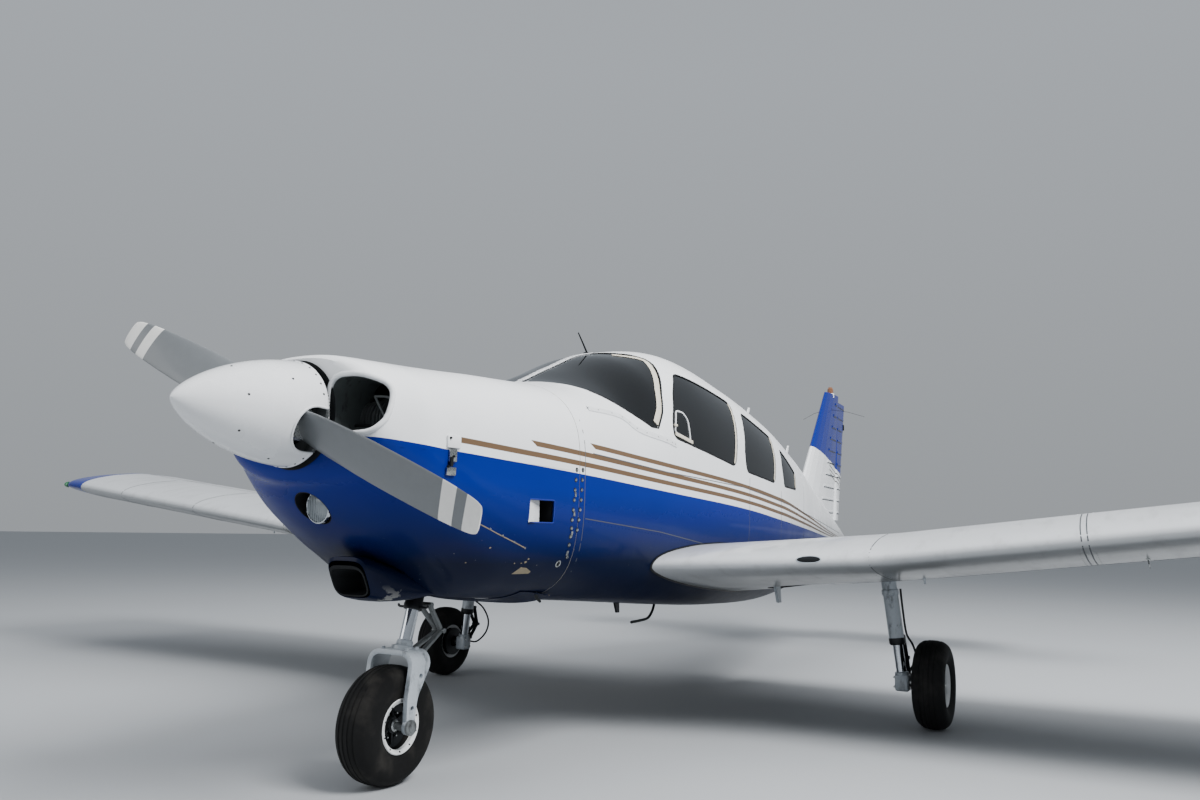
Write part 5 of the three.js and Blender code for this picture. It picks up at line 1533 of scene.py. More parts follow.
def spinner_spot(y, angle, lift=0.0):
    """A point of the spinner's surface and its normal; the angle runs about its axis."""
    radius = spinner_radius(y)
    slope = (spinner_radius(y + 0.004) - spinner_radius(y - 0.004)) / 0.008
    out = Vector((math.cos(angle), 0, math.sin(angle)))
    normal = (out - Vector((0, slope, 0))).normalized()
    return Vector((0, y + AXLE_Y, PROP["z"])) + out * radius + normal * lift, normal


def spinner_pieces():
    bm = bmesh.new()
    depth = PROP["base"] - PROP["tip"]
    outer = [(spinner_radius(PROP["base"] - depth * t), PROP["base"] - depth * t) for t in
             (math.sin(k / 40 * TAU / 4) for k in range(41))]
    spun(bm, [(0.181, PROP["base"] + 0.002), *outer], (0, AXLE_Y, PROP["z"]), (0, 1, 0), 96)
    bmesh.ops.recalc_face_normals(bm, faces=bm.faces)
    bmesh.ops.solidify(bm, geom=bm.faces[:], thickness=0.004)
    piece = make(bm, "spinner_shell", "propeller_body", "gloss_enamel_white", ["spinner"])
    direction = Vector((math.cos(PROP["angle"]), 0, math.sin(PROP["angle"])))
    holes = []
    for side in (1, -1):
        bm = bmesh.new()
        pipe(bm, PROP_CENTRE + direction * (side * 0.08), PROP_CENTRE + direction * (side * 0.26), 0.082,
             sides=48)
        holes.append(cutter(bm))
        bm = bmesh.new()
        for vert in block(bm, (0.06, 0.0, -0.0815), (0.26, 0.06, 0.0815)):
            vert.co = PROP_CENTRE + Matrix.Rotation(-PROP["angle"] + (1 - side) * TAU / 4, 3, "Y") @ vert.co
        holes.append(cutter(bm))
    carve(piece, holes)

    across = Vector((-math.sin(PROP["angle"]), 0, math.cos(PROP["angle"])))
    bm = bmesh.new()
    for side in (1, -1):
        edge = []
        arc = [(0.081, 0.038)] + [(0.083 * math.cos(a), -0.083 * math.sin(a)) for a in
                                  (math.pi * k / 24 for k in range(25))] + [(-0.081, 0.038)]
        for q, along in arc:
            radius = spinner_radius(PROP["y"] + along)
            out = math.sqrt(max(radius * radius - q * q, 0.0))
            edge.append(PROP_CENTRE + direction * (side * out) + across * q + Vector((0, along, 0)))
        sweep(bm, edge, 0.009, sides=8, axis=direction * side)
    make(bm, "spinner_lips", "propeller_body", "gloss_enamel_white")

    bm = bmesh.new()
    for k in range(28):
        angle = TAU * k / 28 + 0.1
        if abs(math.sin(angle - PROP["angle"])) > 0.5:
            studs(bm, [spinner_spot(-0.592, angle)], 0.0056, 0.0016)
    for y, angles in ((-0.7, (1.0, 2.2, 4.1, 5.4)), (-0.86, (0.6, 1.7, 2.8, 3.7, 4.9, 5.9))):
        studs(bm, [spinner_spot(y, PROP["angle"] + a) for a in angles], 0.0056, 0.0016)
    make(bm, "spinner_screws", "propeller_body", "oiled_steel")
    bm = bmesh.new()
    rim = [(0.1845, PROP["base"] - 0.016), (0.187, PROP["base"] - 0.013), (0.187, PROP["base"] - 0.003),
           (0.184, PROP["base"] + 0.002), (0.182, PROP["base"] - 0.003)]
    spun(bm, [*rim, rim[0]], (0, AXLE_Y, PROP["z"]), (0, 1, 0), 96)
    gaps = []
    for side in (0, math.pi):
        gap = bmesh.new()
        for vert in block(gap, (0.1, -0.05, -0.085), (0.3, 0.08, 0.085)):
            vert.co = PROP_CENTRE + Matrix.Rotation(-PROP["angle"] + side, 3, "Y") @ vert.co
        gaps.append(cutter(gap))
    ring = make(bm, "spinner_rim", "propeller_body", "gloss_enamel_white")
    carve(ring, gaps)


def propeller_blades():
    rows = columns(BLADE_ROWS)
    bm = bmesh.new()
    for turn in (0, math.pi):
        matrix = Matrix.Rotation(-PROP["angle"] + turn, 3, "Y")

        def place(u, v):
            radius = 0.06 + 0.875 * (1 - (1 - v) ** 1.8)
            chord, thick, pitch = (column(radius) for column in rows)
            pitch = math.radians(pitch)
            along = math.cos(u * TAU) * 0.5
            across = math.sin(u * TAU) * 0.5 * (1 - 0.35 * along)
            lead, front = along * chord, across * thick
            corner = max(0.0, (radius - 0.905) / 0.03)
            radius -= 0.007 * corner * (2 * abs(along)) ** 5
            return PROP_CENTRE + matrix @ Vector((
                radius, -(lead * math.sin(pitch) + front * math.cos(pitch)),
                lead * math.cos(pitch) - front * math.sin(pitch)))

        lay(bm, 36, 70, place)
    close(bm)
    make(bm, "blades", "propeller_body", "satin_blade_paint", ["propeller"], angle=45)
    bm = bmesh.new()
    hub = [(0.0, -0.075), (0.06, -0.075), (0.082, -0.06), (0.082, 0.045), (0.0, 0.045)]
    spun(bm, hub, PROP_CENTRE, (0, 1, 0), 40)
    direction = Vector((math.cos(PROP["angle"]), 0, math.sin(PROP["angle"])))
    for side in (1, -1):
        pipe(bm, PROP_CENTRE, PROP_CENTRE + direction * (side * 0.135), 0.052, 0.046, 32)
        clamp = [(0.056, 0.098), (0.06, 0.102), (0.06, 0.118), (0.056, 0.122), (0.044, 0.122), (0.044, 0.098)]
        spun(bm, [*clamp, clamp[0]], PROP_CENTRE, direction * side, 32)
    make(bm, "propeller_hub", "propeller_body", "plated_steel")


def starter_ring():
    """Back plate, the toothed ring that shows in the gap behind the spinner, and a dark disc as painted shade
    in that gap.
    """
    bm = bmesh.new()
    centre = (0, AXLE_Y, PROP["z"])
    shaft = [(0.0, -0.6), (0.048, -0.6), (0.048, -0.4405), (0.0, -0.4405)]
    spun(bm, shaft, centre, (0, 1, 0), 32)
    ring = [(0.11, -0.5745), (0.1735, -0.5745), (0.1745, -0.573), (0.1745, -0.564), (0.172, -0.563),
            (0.11, -0.563)]
    spun(bm, [*ring, ring[0]], centre, (0, 1, 0), 96)
    teeth = 96
    hub = Matrix.Translation((0, -0.5685 + AXLE_Y, PROP["z"]))
    outwards, size = Matrix.Translation((0.176, 0, 0)), Matrix.Diagonal((0.005, 0.01, 0.0055, 1))
    for k in range(teeth):
        matrix = hub @ Matrix.Rotation(TAU * k / teeth, 4, "Y") @ outwards @ size
        bmesh.ops.create_cube(bm, size=1, matrix=matrix)
    make(bm, "starter_ring", "propeller_body", "cast_aluminium", angle=40)
    # A near-black disc on the cowl's front face is painted shade in the gap behind the spinner
    bm = bmesh.new()
    gap = [(0.06, -0.553), (0.193, -0.553), (0.193, -0.5518), (0.06, -0.5518)]
    spun(bm, [*gap, gap[0]], centre, (0, 1, 0), 96)
    make(bm, "nose_gap_shade", "airframe", "duct_paint")


class AIRCRAFT_OT_propeller(bpy.types.Operator):
    """Spinner, blades, back plate and starter ring"""
    bl_idname = "aircraft.propeller"
    bl_label = "Propeller"

    def execute(self, context):
        spinner_pieces()
        propeller_blades()
        starter_ring()
        return {"FINISHED"}


class AIRCRAFT_OT_engine(bpy.types.Operator):
    """Crankcase, finned cylinders and baffles seen through the inlets"""
    bl_idname = "aircraft.engine"
    bl_label = "Engine"

    def execute(self, context):
        bm = bmesh.new()
        station_block(bm, (-0.15, -0.395, 1.145), (0.15, 0.29, 1.4), 0.03, 3)
        nose = [(0.0, -0.438), (0.075, -0.438), (0.08, -0.425), (0.08, -0.395), (0.115, -0.385),
                (0.0, -0.385)]
        spun(bm, nose, (0, AXLE_Y, PROP["z"]), (0, 1, 0), 40)
        studs(bm, [(Vector((0.062 * math.cos(a), -0.4385 + AXLE_Y, PROP["z"] + 0.062 * math.sin(a))),
                    Vector((0, -1, 0))) for a in (TAU * k / 8 for k in range(8))], 0.007, 0.005, 6)
        fins = bmesh.new()
        for side in (1, -1):
            for middle in (-0.315, -0.1, 0.115):
                barrel = [(0.0, 0.14)]
                for k in range(8):
                    d = 0.15 + k * 0.0145
                    wide = 0.078 if k < 5 else 0.088
                    barrel += [(0.06, d), (wide, d + 0.002), (wide, d + 0.005), (0.06, d + 0.007)]
                barrel += [(0.07, 0.268), (0.07, 0.296), (0.0, 0.296)]
                spun(fins, barrel, (0, middle + AXLE_Y, 1.345), (side, 0, 0), 28)
                for z in (1.3, 1.39):
                    sweep(bm, smooth_path([(side * 0.285, middle - 0.05 + AXLE_Y, z),
                                           (side * 0.292, middle - 0.085 + AXLE_Y, z + 0.03),
                                           (side * 0.24, middle - 0.1 + AXLE_Y, 1.425)], 5), 0.01, sides=8)
        make(fins, "cylinders", "airframe", "cast_aluminium", angle=30)
        make(bm, "crankcase", "airframe", "cast_aluminium", ["engine_block"])
        # Sheet baffles that close the space above and beside the cylinders
        bm = bmesh.new()
        for side in (1, -1):
            x0, x1 = sorted((side * 0.15, side * 0.38))
            station_block(bm, (x0, 0.24, 1.18), (x1, 0.243, 1.5))
            x0, x1 = sorted((side * 0.15, side * 0.372))
            station_block(bm, (x0, -0.42, 1.24), (x1, -0.417, 1.318))
            x0, x1 = sorted((side * 0.3, side * 0.303))
            station_block(bm, (x0, -0.4, 1.24), (x1, 0.24, 1.29))
        make(bm, "baffles", "airframe", "baffle_primer")
        bm = bmesh.new()
        for side in (1, -1):
            sweep(bm, [(side * 0.16, -0.418 + AXLE_Y, 1.322), (side * 0.37, -0.418 + AXLE_Y, 1.318)], 0.012,
                  sides=8)
        make(bm, "baffle_seals", "airframe", "seal_rubber")
        paint_node("nose_gear_mount", "cast_enamel")
        return {"FINISHED"}


# Wings and tail


def wing_piece(name, side, start, end, around, finish_name, node, spanwise, dense=False):
    """One closed length of wing skin."""
    bm = bmesh.new()

    def place(u, v):
        span = start + (end - start) * (1 - (1 - v) ** 2 if dense else v)
        if u > 0.999:
            return wing_point(span, 1.0, True, side)
        t = (1 - u / 0.49) ** 2 if u < 0.49 else ((u - 0.49) / 0.5) ** 2
        return wing_point(span, min(t, 1.0), u < 0.49, side)

    lay(bm, around * 2 + 2, spanwise, place)
    close(bm)
    return make(bm, name, "airframe", finish_name, [node], angle=32)


def hinge_line():
    """Height of the flap and aileron hinge in the flat wing, and the radius of their noses."""
    share = (WING_HINGE - WING["lead"]) / (WING["trail"] - WING["lead"])
    upper, lower = wing_flat(1.5, share, True), wing_flat(1.5, share, False)
    return (upper.z + lower.z) / 2, (upper.z - lower.z) / 2


def bay_cutter(side, s0, s1):
    """The space in the wing that a flap or aileron works in."""
    middle, radius = hinge_line()
    x0, x1 = WING["root_x"] + s0, WING["root_x"] + s1
    y = WING_HINGE + AXLE_Y
    reach = radius + CLEAR
    lip = math.sqrt(reach ** 2 - radius ** 2)
    start, end = math.pi / 2, math.pi + math.atan2(radius, lip)
    arc = [(y + reach * math.cos(a), middle + reach * math.sin(a))
           for a in (start + (end - start) * k / 16 for k in range(17))]
    outline = [(y + 0.5, middle + reach + 0.12), *arc, (y - lip, middle - 0.2), (y + 0.5, middle - 0.2)]
    bm = bmesh.new()
    shift = raised(Vector((x1, 0, 0))) - raised(Vector((x0, 0, 0)))
    extruded(bm, [raised(Vector((x0, p[0], p[1]))) for p in outline], shift)
    return cutter(bm, side)


def well_cutters(side):
    """Wheel well and leg slot under the wing."""
    y = MAIN["y"] + AXLE_Y
    bm = bmesh.new()
    pipe(bm, (WELL["x"], y, 0.5), (WELL["x"], y, WELL["top"]), WELL["radius"], sides=64)
    for vert in bm.verts:
        vert.co = raised(vert.co)
    slot = bmesh.new()
    for vert in block(slot, (WELL["x"], y - WELL["slot_half"], 0.5),
                      (WELL["slot_end"], y + WELL["slot_half"], WELL["slot_top"])):
        vert.co = raised(vert.co)
    return [cutter(bm, side), cutter(slot, side)]


def wheel_well_lining(side, place):
    """Dark wall and roof of the wheel well."""
    y = MAIN["y"] + AXLE_Y
    bm = bmesh.new()
    wall = [(0.249, 0.64), (0.249, 0.7635), (0.0, 0.7635)]
    spun(bm, wall, (WELL["x"], y, 0), (0, 0, 1), 64)
    for vert in bm.verts:
        point = raised(vert.co)
        vert.co = mirrored(point, side)
    bmesh.ops.recalc_face_normals(bm, faces=bm.faces)
    bmesh.ops.solidify(bm, geom=bm.faces[:], thickness=0.001)
    bmesh.ops.recalc_face_normals(bm, faces=bm.faces)
    piece = make(bm, f"well_{place}", "airframe", "duct_paint")
    keep = bmesh.new()
    lay(keep, 82, 20, lambda u, v: wing_point(0.02 + 1.1 * v, (1 - u / 0.5) ** 2 if u < 0.5 else
                                              min(1.0, ((u - 0.5) / 0.5) ** 2), u < 0.5, side))
    close(keep)
    carve(piece, [cutter(keep)], "INTERSECT")


def wing_root_seal(side, place):
    """Black rubber in the corner between hull and wing."""
    upper = [root_point((k / 20) ** 2 * 0.8, True, side) for k in range(20, 0, -1)]
    lower = [root_point((k / 20) ** 2 * 0.8, False, side) for k in range(0, 21)]
    bm = bmesh.new()
    sweep(bm, upper + lower, 0.014, sides=10)
    make(bm, f"root_seal_{place}", "airframe", "seal_rubber")


def wing_joints(side, place):
    bm = bmesh.new()
    ends = [(k / 12) ** 2 * 0.62 for k in range(12, 0, -1)]
    for span in (0.866, 1.755, 1.78, 2.7, 3.52):
        spots = [wing_spot(span, t, True, side, 0.0005) for t in ends]
        spots += [wing_spot(span, 0.0005, True, side, 0.0005)]
        spots += [wing_spot(span, t, False, side, 0.0005) for t in reversed(ends)]
        strip(bm, spots, 0.0055, 0.0007)
    for t in (0.36, 0.7):
        for upper in (True, False):
            start = 0.1 if upper else 0.62
            strip(bm, [wing_spot(s, t, upper, side, 0.0003) for s in span_of(start, 4.02, 0.12)], 0.003,
                  0.0005)
    make(bm, f"wing_joints_{place}", "airframe", "joint_dirt_and_bead_shade")
    bm = bmesh.new()
    radius = bpy.context.scene.aircraft_hull.rivet
    for t in (0.345, 0.375, 0.69):
        for upper in (True, False):
            start = 0.1 if upper else 0.62
            studs(bm, [wing_spot(s, t, upper, side) for s in span_of(start, 4.0, 0.05)], radius, 0.0008, 6)
    for span in (0.846, 0.886, 1.735, 1.8, 2.68, 2.72):
        for upper in (True, False):
            studs(bm, [wing_spot(span, t, upper, side) for t in span_of(0.06, 0.66, 0.028)], radius, 0.0008,
                  6)
    make(bm, f"wing_rivets_{place}", "airframe", "satin_enamel_wing")


def flap_beads(side, place):
    """Pressed stiffening beads that run along the chord of flap and aileron."""
    middle, radius = hinge_line()
    trail = WING["root_z"] - (WING["trail"] - WING["lead"]) * math.sin(WING["incidence"])
    for name, (s0, s1) in (("flap", FLAP_SPAN), ("aileron", AILERON_SPAN)):
        bm = bmesh.new()
        for span in span_of(s0 + 0.1, s1 - 0.1, 0.14):
            for up in (1, -1):
                path = []
                for share in (0.06, 0.3, 0.6, 0.9):
                    y = WING_HINGE + (3.199 - WING_HINGE) * share
                    z = middle + up * radius + (trail + up * 0.002 - middle - up * radius) * share
                    point = raised(Vector((WING["root_x"] + span, y + AXLE_Y, z)))
                    path.append((mirrored(point, side), Vector((0, 0, up))))
                sweep(bm, path, 0.016, lambda v: 0.007 * (1 - 0.5 * v), sides=8)
        make(bm, f"{name}_beads_{place}", f"{name}_{place}_body", "satin_enamel_wing")


def wing_fittings(side, place):
    """Air inlet in the leading edge, lamps, fuel cap, tie-down ring, mast and drain."""
    if side > 0:
        inlet_span, count = 0.612, 32
        frame_path = []
        for k in range(count):
            a = TAU * k / count
            edge = 0.042 + 0.055 * math.sin(a)
            frame_path.append(wing_spot(inlet_span + 0.052 * math.cos(a), edge * edge, edge > 0, side, 0.0))
        bm = bmesh.new()
        sweep(bm, [p for p, _ in frame_path], 0.005, sides=8, loop=True)
        make(bm, "leading_inlet_rim", "airframe", "cast_enamel")
        bm = bmesh.new()
        centre = wing_spot(inlet_span, 0.0018, True, side, 0.0008)

        def dish(u, v):
            rim = frame_path[round(u * count) % count][0]
            return centre[0].lerp(rim, v) + centre[1] * (0.0018 * (1 - v * v))

        lay(bm, count, 5, dish)
        bmesh.ops.solidify(bm, geom=bm.faces[:], thickness=0.0006)
        make(bm, "leading_inlet", "airframe", "duct_paint")
    bm = bmesh.new()
    point, normal = wing_spot(1.3, 0.42, True, side)
    spun(bm, [(0.0, 0.004), (0.036, 0.004), (0.04, 0.002), (0.041, 0.0), (0.0, 0.0)], point, normal, 32)
    plate(bm, (point + normal * 0.006, normal), (0.05, 0.01, 0.005), (0, 1, 0), 0.001)
    point, normal = wing_spot(1.985, 0.26, False, side)
    loop = [point + normal * 0.022 + Vector((0, 0.017 * math.cos(a), 0)) + normal * (0.017 * math.sin(a))
            for a in (TAU * k / 20 for k in range(20))]
    sweep(bm, loop, 0.006, sides=8, loop=True)
    plate(bm, (point, normal), (0.04, 0.018, 0.01), (0, 1, 0), 0.002)
    make(bm, f"wing_fittings_{place}", "airframe", "plated_steel")
    bm = bmesh.new()
    point, normal = wing_spot(0.17, 0.42, False, side)
    mast = ((-0.035, 0.02), (0.04, 0.02), (0.062, -0.085), (0.022, -0.085))
    extruded(bm, [point + Vector((-0.008, dy, dz)) for dy, dz in mast], (0.016, 0, 0))
    for span, t in ((1.005, 0.3), (2.2, 0.34), (2.45, 0.34)):
        point, normal = wing_spot(span, t, False, side)
        spun(bm, [(0.0, 0.028), (0.004, 0.028), (0.006, 0.01), (0.01, 0.0), (0.0, 0.0)], point, normal, 12)
    make(bm, f"wing_mast_{place}", "airframe", "cast_enamel")
    bm = bmesh.new()
    lamp_point = wing_point(WING_SPAN - 0.055, 0.0, True, side)
    spun(bm, [(0.0, 0.03), (0.012, 0.027), (0.021, 0.016), (0.024, 0.0), (0.0, 0.0)], lamp_point,
         (side * 0.8, -0.6, 0.05), 24)
    make(bm, f"position_lamp_{place}", "airframe", "red_lens" if side > 0 else "green_lens")


def wing_walkway():
    """Black gritty walkway on the starboard wing root."""
    bm = bmesh.new()

    def place(u, v):
        t = 0.18 + 0.6 * v
        start = root_point(t, True).x - WING["root_x"] + 0.03
        return wing_spot(start + (0.42 - start) * u, t, True, -1, 0.0012)[0]

    lay(bm, 12, 30, place)
    bmesh.ops.solidify(bm, geom=bm.faces[:], thickness=0.001)
    make(bm, "walkway", "airframe", "walkway_grit")


class AIRCRAFT_OT_wings(bpy.types.Operator):
    """Wing panels, tips, flaps and ailerons"""
    bl_idname = "aircraft.wings"
    bl_label = "Wings and tips"

    def execute(self, context):
        for side, place in SIDES:
            piece = wing_piece(f"wing_skin_{place}", side, -0.2, WING["tip"], 40, "satin_enamel_wing",
                               f"wing_{place}", 60)
            carve(piece, [bay_cutter(side, FLAP_SPAN[0] - 0.3, FLAP_SPAN[1] + CLEAR),
                          bay_cutter(side, AILERON_SPAN[0] - CLEAR, AILERON_SPAN[1] + CLEAR),
                          *well_cutters(side), hull_solid(0.6, 3.7, -0.0005)], angle=32)
            wing_piece(f"tip_skin_{place}", side, WING["tip"] + 0.0006, WING_SPAN, 40, "gloss_enamel_blue",
                       f"wing_tip_{place}", 28, True)
            wheel_well_lining(side, place)
            wing_root_seal(side, place)
            wing_joints(side, place)
            flap_beads(side, place)
            wing_fittings(side, place)
        for node in ("flap_port", "flap_starboard", "aileron_port", "aileron_starboard"):
            paint_node(node, "satin_enamel_wing")
        wing_walkway()
        return {"FINISHED"}


def fin_spot(z, t, side):
    return fin_point(z, t, side, 0.0008), Vector((side, 0, 0))


def rudder_spot(z, share, side):
    """A point of the rudder's side between hinge and trailing edge, found on the CAD solid."""
    _, hinge, trail, thick = fin_values(z)
    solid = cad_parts["rudder"]
    y = hinge + (trail - hinge) * share + AXLE_Y
    back = solid.matrix_world.inverted()
    hit, place, _, _ = solid.ray_cast(back @ Vector((side, y, z)), back.to_3x3() @ Vector((-side, 0, 0)))
    half = abs((solid.matrix_world @ place).x) if hit else thick * 0.29 * (1 - share)
    return Vector((side * (half + 0.0008), y, z)), Vector((side, 0, 0))


def stabilator_beads():
    lines, rivets = bmesh.new(), bmesh.new()
    for side in (1, -1):
        for up in (1, -1):
            for x in (0.42, 0.8, 1.2, 1.58, 1.86):
                path = []
                for t in (0.02, 0.08, 0.2, 0.4, 0.6, 0.8, 0.97):
                    half = EVEN(math.sqrt(t)) * STABILATOR["thick"] / 2
                    y = STABILATOR["lead"] + t * STABILATOR["chord"] + AXLE_Y
                    path.append((Vector((side * x, y, STABILATOR["z"] + up * half)), Vector((0, 0, up))))
                strip(lines, path, 0.003, 0.0005)
            for t in (0.22, 0.62):
                half = EVEN(math.sqrt(t)) * STABILATOR["thick"] / 2
                y = STABILATOR["lead"] + t * STABILATOR["chord"] + AXLE_Y
                studs(rivets, [(Vector((side * x, y, STABILATOR["z"] + up * half)), Vector((0, 0, up)))
                               for x in span_of(0.22, 1.85, 0.05)], 0.003, 0.0008, 6)
    make(lines, "stabilator_joints", "stabilator_body", "joint_dirt_and_bead_shade")
    make(rivets, "stabilator_rivets", "stabilator_body", "satin_enamel_wing")


def tail_fittings():
    _, hinge, _, _ = fin_values(FIN["top_z"])
    bm = bmesh.new()
    base = Vector((0, (FIN["top_lead"] + hinge) / 2 + AXLE_Y, FIN["top_z"] - 0.004))
    spun(bm, [(0.0, 0.012), (0.0335, 0.012), (0.036, 0.008), (0.036, -0.03), (0.0, -0.03)], base, (0, 0, 1),
         32)
    make(bm, "beacon_base", "airframe", "gloss_enamel_white")
    whisker_z, lamp_z = 2.17, 2.05
    lead, hinge, _, _ = fin_values(whisker_z)
    bm = bmesh.new()
    for side in (1, -1):
        root = Vector((side * 0.03, (lead + hinge) / 2 + AXLE_Y, whisker_z))
        tip = root + Vector((side * 0.27, 0.18, -0.06))
        sweep(bm, [root, root.lerp(tip, 0.5) + Vector((0, 0, 0.012)), tip], lambda v: 0.0035 - 0.001 * v,
              sides=6)
        plate(bm, (root, Vector((side, 0, 0))), (0.05, 0.024, 0.014), (0, 1, 0), 0.004)
    make(bm, "whisker_aerials", "airframe", "oiled_steel")
    _, _, trail, _ = fin_values(lamp_z)
    bm = bmesh.new()
    spot = (Vector((0, trail + AXLE_Y - 0.006, lamp_z)), Vector((0, 1, 0)))
    plate(bm, spot, (0.06, 0.03, 0.026), (0, 0, 1), 0.008)
    make(bm, "tail_lamp_base", "rudder_body", "oiled_steel")
    bm = bmesh.new()
    spun(bm, [(0.0, 0.02), (0.009, 0.017), (0.013, 0.01), (0.013, 0.0), (0.0, 0.0)],
         spot[0] + Vector((0, 0.006, 0)), (0, 1, 0), 20)
    make(bm, "tail_lamp", "rudder_body", "lamp_glass")


class AIRCRAFT_OT_tail(bpy.types.Operator):
    """Fin, rudder, stabilator, beacon and tail fittings"""
    bl_idname = "aircraft.tail"
    bl_label = "Tail surfaces"

    def execute(self, context):
        for node in ("fin", "rudder"):
            paint_node(node, "gloss_enamel_fin")
        paint_node("stabilator", "satin_enamel_wing")
        paint_node("beacon", "amber_lens", 60)
        context.view_layer.update()
        for body, name in (("airframe", "fin"), ("rudder_body", "rudder")):
            beads, lines = bmesh.new(), bmesh.new()
            for z in span_of(1.2, 2.24, 0.117):
                lead, hinge, trail, thick = fin_values(z)
                edge = (hinge - 0.29 * thick - lead) / (trail - lead)
                for side in (1, -1):
                    if name == "fin":
                        shares = span_of(0.42, edge - 0.03, 0.05)
                        path = [fin_spot(z, t, side) for t in shares]
                        low = [fin_spot(z - 0.014, t, side) for t in shares]
                    else:
                        path = [rudder_spot(z, share, side) for share in (0.06, 0.3, 0.6, 0.9)]
                        low = [rudder_spot(z - 0.014, share, side) for share in (0.03, 0.3, 0.6, 0.97)]
                    sweep(beads, path, 0.02, 0.01, sides=8)
                    # The dark strip just under each bead is painted shade cast by the bead, though its piece
                    # is named for joints
                    strip(lines, low, 0.0085, 0.0012)
            make(beads, f"{name}_beads", body, "gloss_enamel_fin")
            make(lines, f"{name}_joints", body, "joint_dirt_and_bead_shade")
        stabilator_beads()
        tail_fittings()
        return {"FINISHED"}


# Wheels and gear


def tyre_profile(rim):
    """Half section of a grooved tyre: radius and distance from the middle."""
    side = ((rim, 0.05, 0), (rim + 0.01, 0.062, 0), (rim + 0.028, 0.072, 0), (0.15, 0.0795, 0),
            (0.175, 0.0795, 0), (0.196, 0.072, 0), (0.209, 0.059, 0), (0.2165, 0.046, 0))
    half = [(p.x, p.y) for p in smooth_path(side, 4)]
    for centre in (0.034, 0.0115):
        crown = 0.2165 + 0.006 * (1 - (centre / 0.046) ** 2)
        half += [(crown, centre + 0.0045), (crown - 0.003, centre + 0.0028), (crown - 0.003, centre - 0.0028),
                 (crown, centre - 0.0045)]
    return half + [(r, -d) for r, d in reversed(half)]


def wheel_hub(name, centre, out, body, rim):
    """White rim, dark ribbed web, bearing cap, bolts and the disc on a main wheel."""
    bm = bmesh.new()
    if name == "nose":
        edge = [(0.084, 0.03), (0.086, 0.068), (0.101, 0.0745), (0.104, 0.072), (0.1, 0.064), (0.088, 0.056)]
    else:
        edge = [(rim - 0.012, 0.03), (rim - 0.01, 0.048), (rim + 0.004, 0.06), (rim + 0.01, 0.063),
                (rim + 0.008, 0.056), (rim, 0.05)]
    ring = [*edge, *[(r, -d) for r, d in reversed(edge)]]
    spun(bm, [*ring, ring[0]], centre, (1, 0, 0), 72)
    make(bm, f"{name}_rim", body, "rim_enamel", [f"{name}_hub"])
    if name == "nose":
        bm = bmesh.new()
        studs(bm, [(centre + Matrix.Rotation(TAU * k / 10, 3, "X") @ Vector((0.0705 * face, 0, 0.093)),
                    Vector((face, 0, 0))) for k in range(10) for face in (1, -1)], 0.0045, 0.004, 6)
        make(bm, "nose_rim_bolts", body, "oiled_steel")
    bm = bmesh.new()
    web = [(0.0165, 0.036), (0.03, 0.036), (0.036, 0.022), (rim - 0.03, 0.018),
           (rim + 0.003 if name == "nose" else rim - 0.011, 0.032)]
    section = [*web, *[(r, -d) for r, d in reversed(web)]]
    spun(bm, [*section, section[0]], centre, (1, 0, 0), 60)
    for k in range(6):
        turn = Matrix.Rotation(TAU * k / 6, 3, "X")
        for face in (1, -1):
            rib = [centre + turn @ Vector((face * 0.022, 0, r)) for r in (0.03, rim - 0.014)]
            sweep(bm, rib, 0.012, 0.022, sides=8, square=4, axis=(1, 0, 0))
    make(bm, f"{name}_web", body, "oiled_steel")
    bm = bmesh.new()
    cap = [(0.0, 0.05), (0.018, 0.049), (0.023, 0.045), (0.024, 0.034), (0.017, 0.034)]
    for face in (1, -1):
        spun(bm, cap, centre, (face, 0, 0), 32)
    bolts = [(centre + Matrix.Rotation(TAU * (k + 0.5) / 6, 3, "X") @ Vector((0.026 * face, 0, rim - 0.034)),
              Vector((face, 0, 0))) for k in range(6) for face in (1, -1)]
    studs(bm, bolts, 0.006, 0.006, 6)
    make(bm, f"{name}_bearing", body, "plated_steel")
    if name != "nose":
        bm = bmesh.new()
        disc = [(0.04, 0.036), (0.04, 0.07), (0.087, 0.07), (0.088, 0.071), (0.088, 0.077), (0.087, 0.078),
                (0.034, 0.078), (0.034, 0.036)]
        spun(bm, [*disc, disc[0]], centre, (-out, 0, 0), 60)
        make(bm, f"{name}_disc", body, "oiled_steel")


class AIRCRAFT_OT_wheels(bpy.types.Operator):
    """Tyres, hubs and brake discs"""
    bl_idname = "aircraft.wheels"
    bl_label = "Wheels"

    def execute(self, context):
        places = (("nose", 0.0, 0.0, "nose_wheel", 0.082),
                  ("main_port", MAIN["x"], MAIN["y"], "main_wheel_port", 0.097),
                  ("main_starboard", -MAIN["x"], MAIN["y"], "main_wheel_starboard", 0.097))
        for name, x, y, body, rim in places:
            centre = Vector((x, y + AXLE_Y, TYRE["radius"]))
            out = -1 if x < 0 else 1
            bm = bmesh.new()
            profile = tyre_profile(rim + 0.0005)
            spun(bm, [*profile, profile[0]], centre, (1, 0, 0), 96)
            make(bm, f"{name}_tyre_tread", body, "tyre_rubber", [f"{name}_tyre"], angle=50)
            wheel_hub(name, centre, out, body, rim)
        return {"FINISHED"}


def nose_well_lining():
    """Dark walls of the nose gear's opening."""
    bm = bmesh.new()
    for low, high in (((-0.097, -0.072, 0.705), (-0.0945, 0.332, 0.8)),
                      ((0.0945, -0.072, 0.705), (0.097, 0.332, 0.8)),
                      ((-0.097, -0.074, 0.76), (0.097, -0.0715, 0.8)),
                      ((-0.097, 0.331, 0.69), (0.097, 0.334, 0.8))):
        station_block(bm, low, high)
    make(bm, "nose_well", "airframe", "duct_paint")


